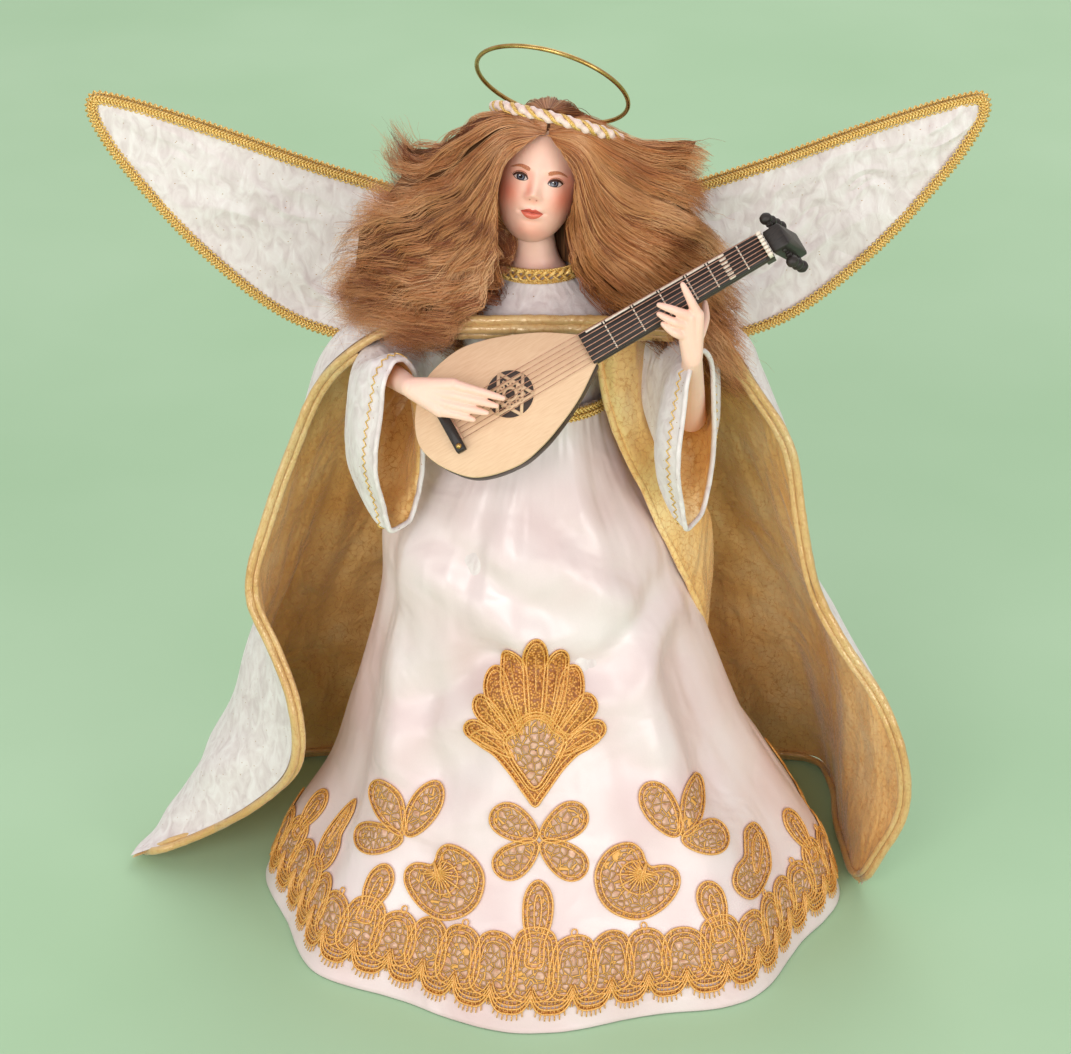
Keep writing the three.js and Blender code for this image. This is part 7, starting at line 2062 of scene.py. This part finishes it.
def make_neck():
    neck, rows = Shape(), []
    turn = np.linspace(0, math.pi, 20)
    for x in np.linspace(NECK_WOOD_FROM, NECK_TO, 30):
        deep = -0.1 - NECK_DEEP * np.sin(turn) ** 0.7
        rows.append(np.stack([np.full_like(turn, x), neck_half(x) * np.cos(turn), deep], axis=1))
    neck.grid(np.array(rows), round_=True)
    block(neck, (NECK_TO - 1.5, -6, -NECK_DEEP), (NECK_TO + 2.6, 6, -0.2))
    lute_piece(neck, "neck_wood", walnut, ["lute_neck"])


def make_lute():
    plate = Shape()
    rounded_plate(plate, lute_outline(), -BOARD, 0.0, 0.35)
    lute_piece(plate, "soundboard", spruce, ["lute_soundboard"])
    make_rose()
    make_bowl()
    make_neck()
    make_fingerboard()
    make_nut()
    make_strings()
    make_bridge()
    make_pegbox()


def add_fret(wires, x, capo):
    """A fret's row of knots, one under each string's place. The capo's lie along the neck."""
    half = float(neck_half(x)) - 0.25
    for k in range(STRINGS):
        y = -half + 2 * half * (k + 0.5) / STRINGS
        if capo:
            capsule(wires, (x - 0.9, y, BOARD_TOP + 0.3), (x + 0.9, y, BOARD_TOP + 0.3), 0.7, 0.7, 8)
        else:
            low, high = (x, y - 0.5, BOARD_TOP + 0.22), (x, y + 0.5, BOARD_TOP + 0.22)
            capsule(wires, low, high, FRET, FRET, 8)


def make_fingerboard():
    board, edge_highlights, wires = Shape(), Shape(), Shape()
    foot, top = neck_half(np.array([NECK_FROM, NECK_TO]))
    corners = [(NECK_FROM, -foot), (NECK_TO, -top), (NECK_TO, top), (NECK_FROM, foot)]
    rounded_plate(board, spaced(corners, 80, True), BOARD_FOOT, BOARD_TOP, 0.3)
    frets = [NECK_FROM + share * (NECK_TO - NECK_FROM) for share in FRET_SHARES]
    edges = [NECK_FROM + 2.5] + frets[:CAPO] + [frets[CAPO] + 1]
    # Pale strips along one edge of the board's top, between the frets: painted highlights of that edge.
    for x0, x1 in zip(edges[:-1], edges[1:]):
        y = float(neck_half((x0 + x1) / 2)) - 1.5
        block(edge_highlights, (x0 + 0.9, y, BOARD_TOP - 0.2), (x1 - 0.9, y + 1.1, BOARD_TOP + 0.25), 0.15)
    for i, x in enumerate(frets):
        add_fret(wires, x, i == CAPO)
    lute_piece(board, "fingerboard_wood", ebony, ["fingerboard"])
    lute_piece(edge_highlights, "fingerboard_inlay", bone)
    lute_piece(wires, "frets", bone)


def make_nut():
    nut = Shape()
    block(nut, (NECK_TO + 0.4, -6.2, 0.2), (NECK_TO + 2.2, 6.2, 3.0), 0.3)
    for y in np.linspace(-SPREAD_AT_NUT / 2, SPREAD_AT_NUT / 2, STRINGS):
        capsule(nut, (NECK_TO + 0.9, y, 3.3), (NECK_TO + 1.7, y, 3.3), 0.85, 0.85, 10)
    lute_piece(nut, "nut_beads", bone, ["nut"])


def make_strings():
    strings = Shape()
    for share in np.linspace(-0.5, 0.5, STRINGS):
        strings.tube([
            (STRING_AT, share * SPREAD_AT_BRIDGE, STRING_HIGH),
            (STRING_MIDDLE, share * SPREAD_AT_MIDDLE, STRING_HIGH),
            (NECK_TO + 1.3, share * SPREAD_AT_NUT, STRING_HIGH + 0.9),
        ], 0.2, 6)
    strings.tube([(STRING_AT, -7.7, STRING_HIGH), (STRING_AT, 7.7, STRING_HIGH)], 0.24, 6)
    lute_piece(strings, "string_set", string, ["lute_strings"])


def make_bridge():
    bridge = Shape()
    block(bridge, BRIDGE_LOW, BRIDGE_HIGH, 0.5)
    lute_piece(bridge, "bridge_wood", ebony, ["bridge"])
    for way, node in ((1, "bridge_rivet_upper"), (-1, "bridge_rivet_lower")):
        rivet = Shape()
        capsule(rivet, (BRIDGE_AT, way * 9.8, 3.75), (BRIDGE_AT, way * 9.8, 4.0), 1.25, 1.25, 16)
        lute_piece(rivet, node + "_head", brass, [node])


def make_pegbox():
    foot = Matrix.Translation((NECK_TO + 2.6, 0, BOARD_TOP))
    turn = foot @ Matrix.Rotation(PEGBOX_TURN, 4, "Y")
    box = Shape()
    block(box, (0, -PEGBOX_HALF, 0), (PEGBOX_LONG, PEGBOX_HALF, PEGBOX_DEEP), 0.6, turn)
    lute_piece(box, "pegbox_wood", ebony, ["pegbox"])
    places = smooth_table(PEG, 40)
    for i in range(STRINGS):
        side = -1 if i % 2 else 1
        x = PEGBOX_LONG * (0.14 + 0.74 * i / (STRINGS - 1))
        spots = [(x, side * y, PEGBOX_DEEP / 2) for y, _ in places]
        peg = Shape().tube(spots, [radius for _, radius in places], 16).moved(turn)
        lute_piece(peg, f"peg_{i + 1}", ebony, [f"lute_peg_{i + 1}"])


# Putting it together

def dress_cad_node(name, material):
    holder = bpy.data.objects[name]
    for slot in holder.material_slots:
        slot.material = material


BRASS_NODES = (
    "wing_bracket", "wing_bolt", "hinge_pin_right", "hinge_pin_left", "wing_frame_right", "wing_frame_left",
)

set_camera()
set_floor()
set_light()
skirt = make_skirt()
petticoat = make_petticoat()
laces = make_motifs() + make_hem_lace()
bodice = make_bodice()
make_collar()
make_belt()
make_head()
make_hair_pieces()
make_headband()
make_halo()
for name, arm in ARMS.items():
    make_sleeve(name, arm)
    make_hand(name, arm)
mantle, lining = make_mantle()
make_chest_band()
fold, fold_roll = make_fold()
wings = {name: make_wing(name, side) for name, side in (("right", -1), ("left", 1))}
make_lute()
for name in BRASS_NODES:
    dress_cad_node(name, brass)
dress_cad_node("base_cone", card)
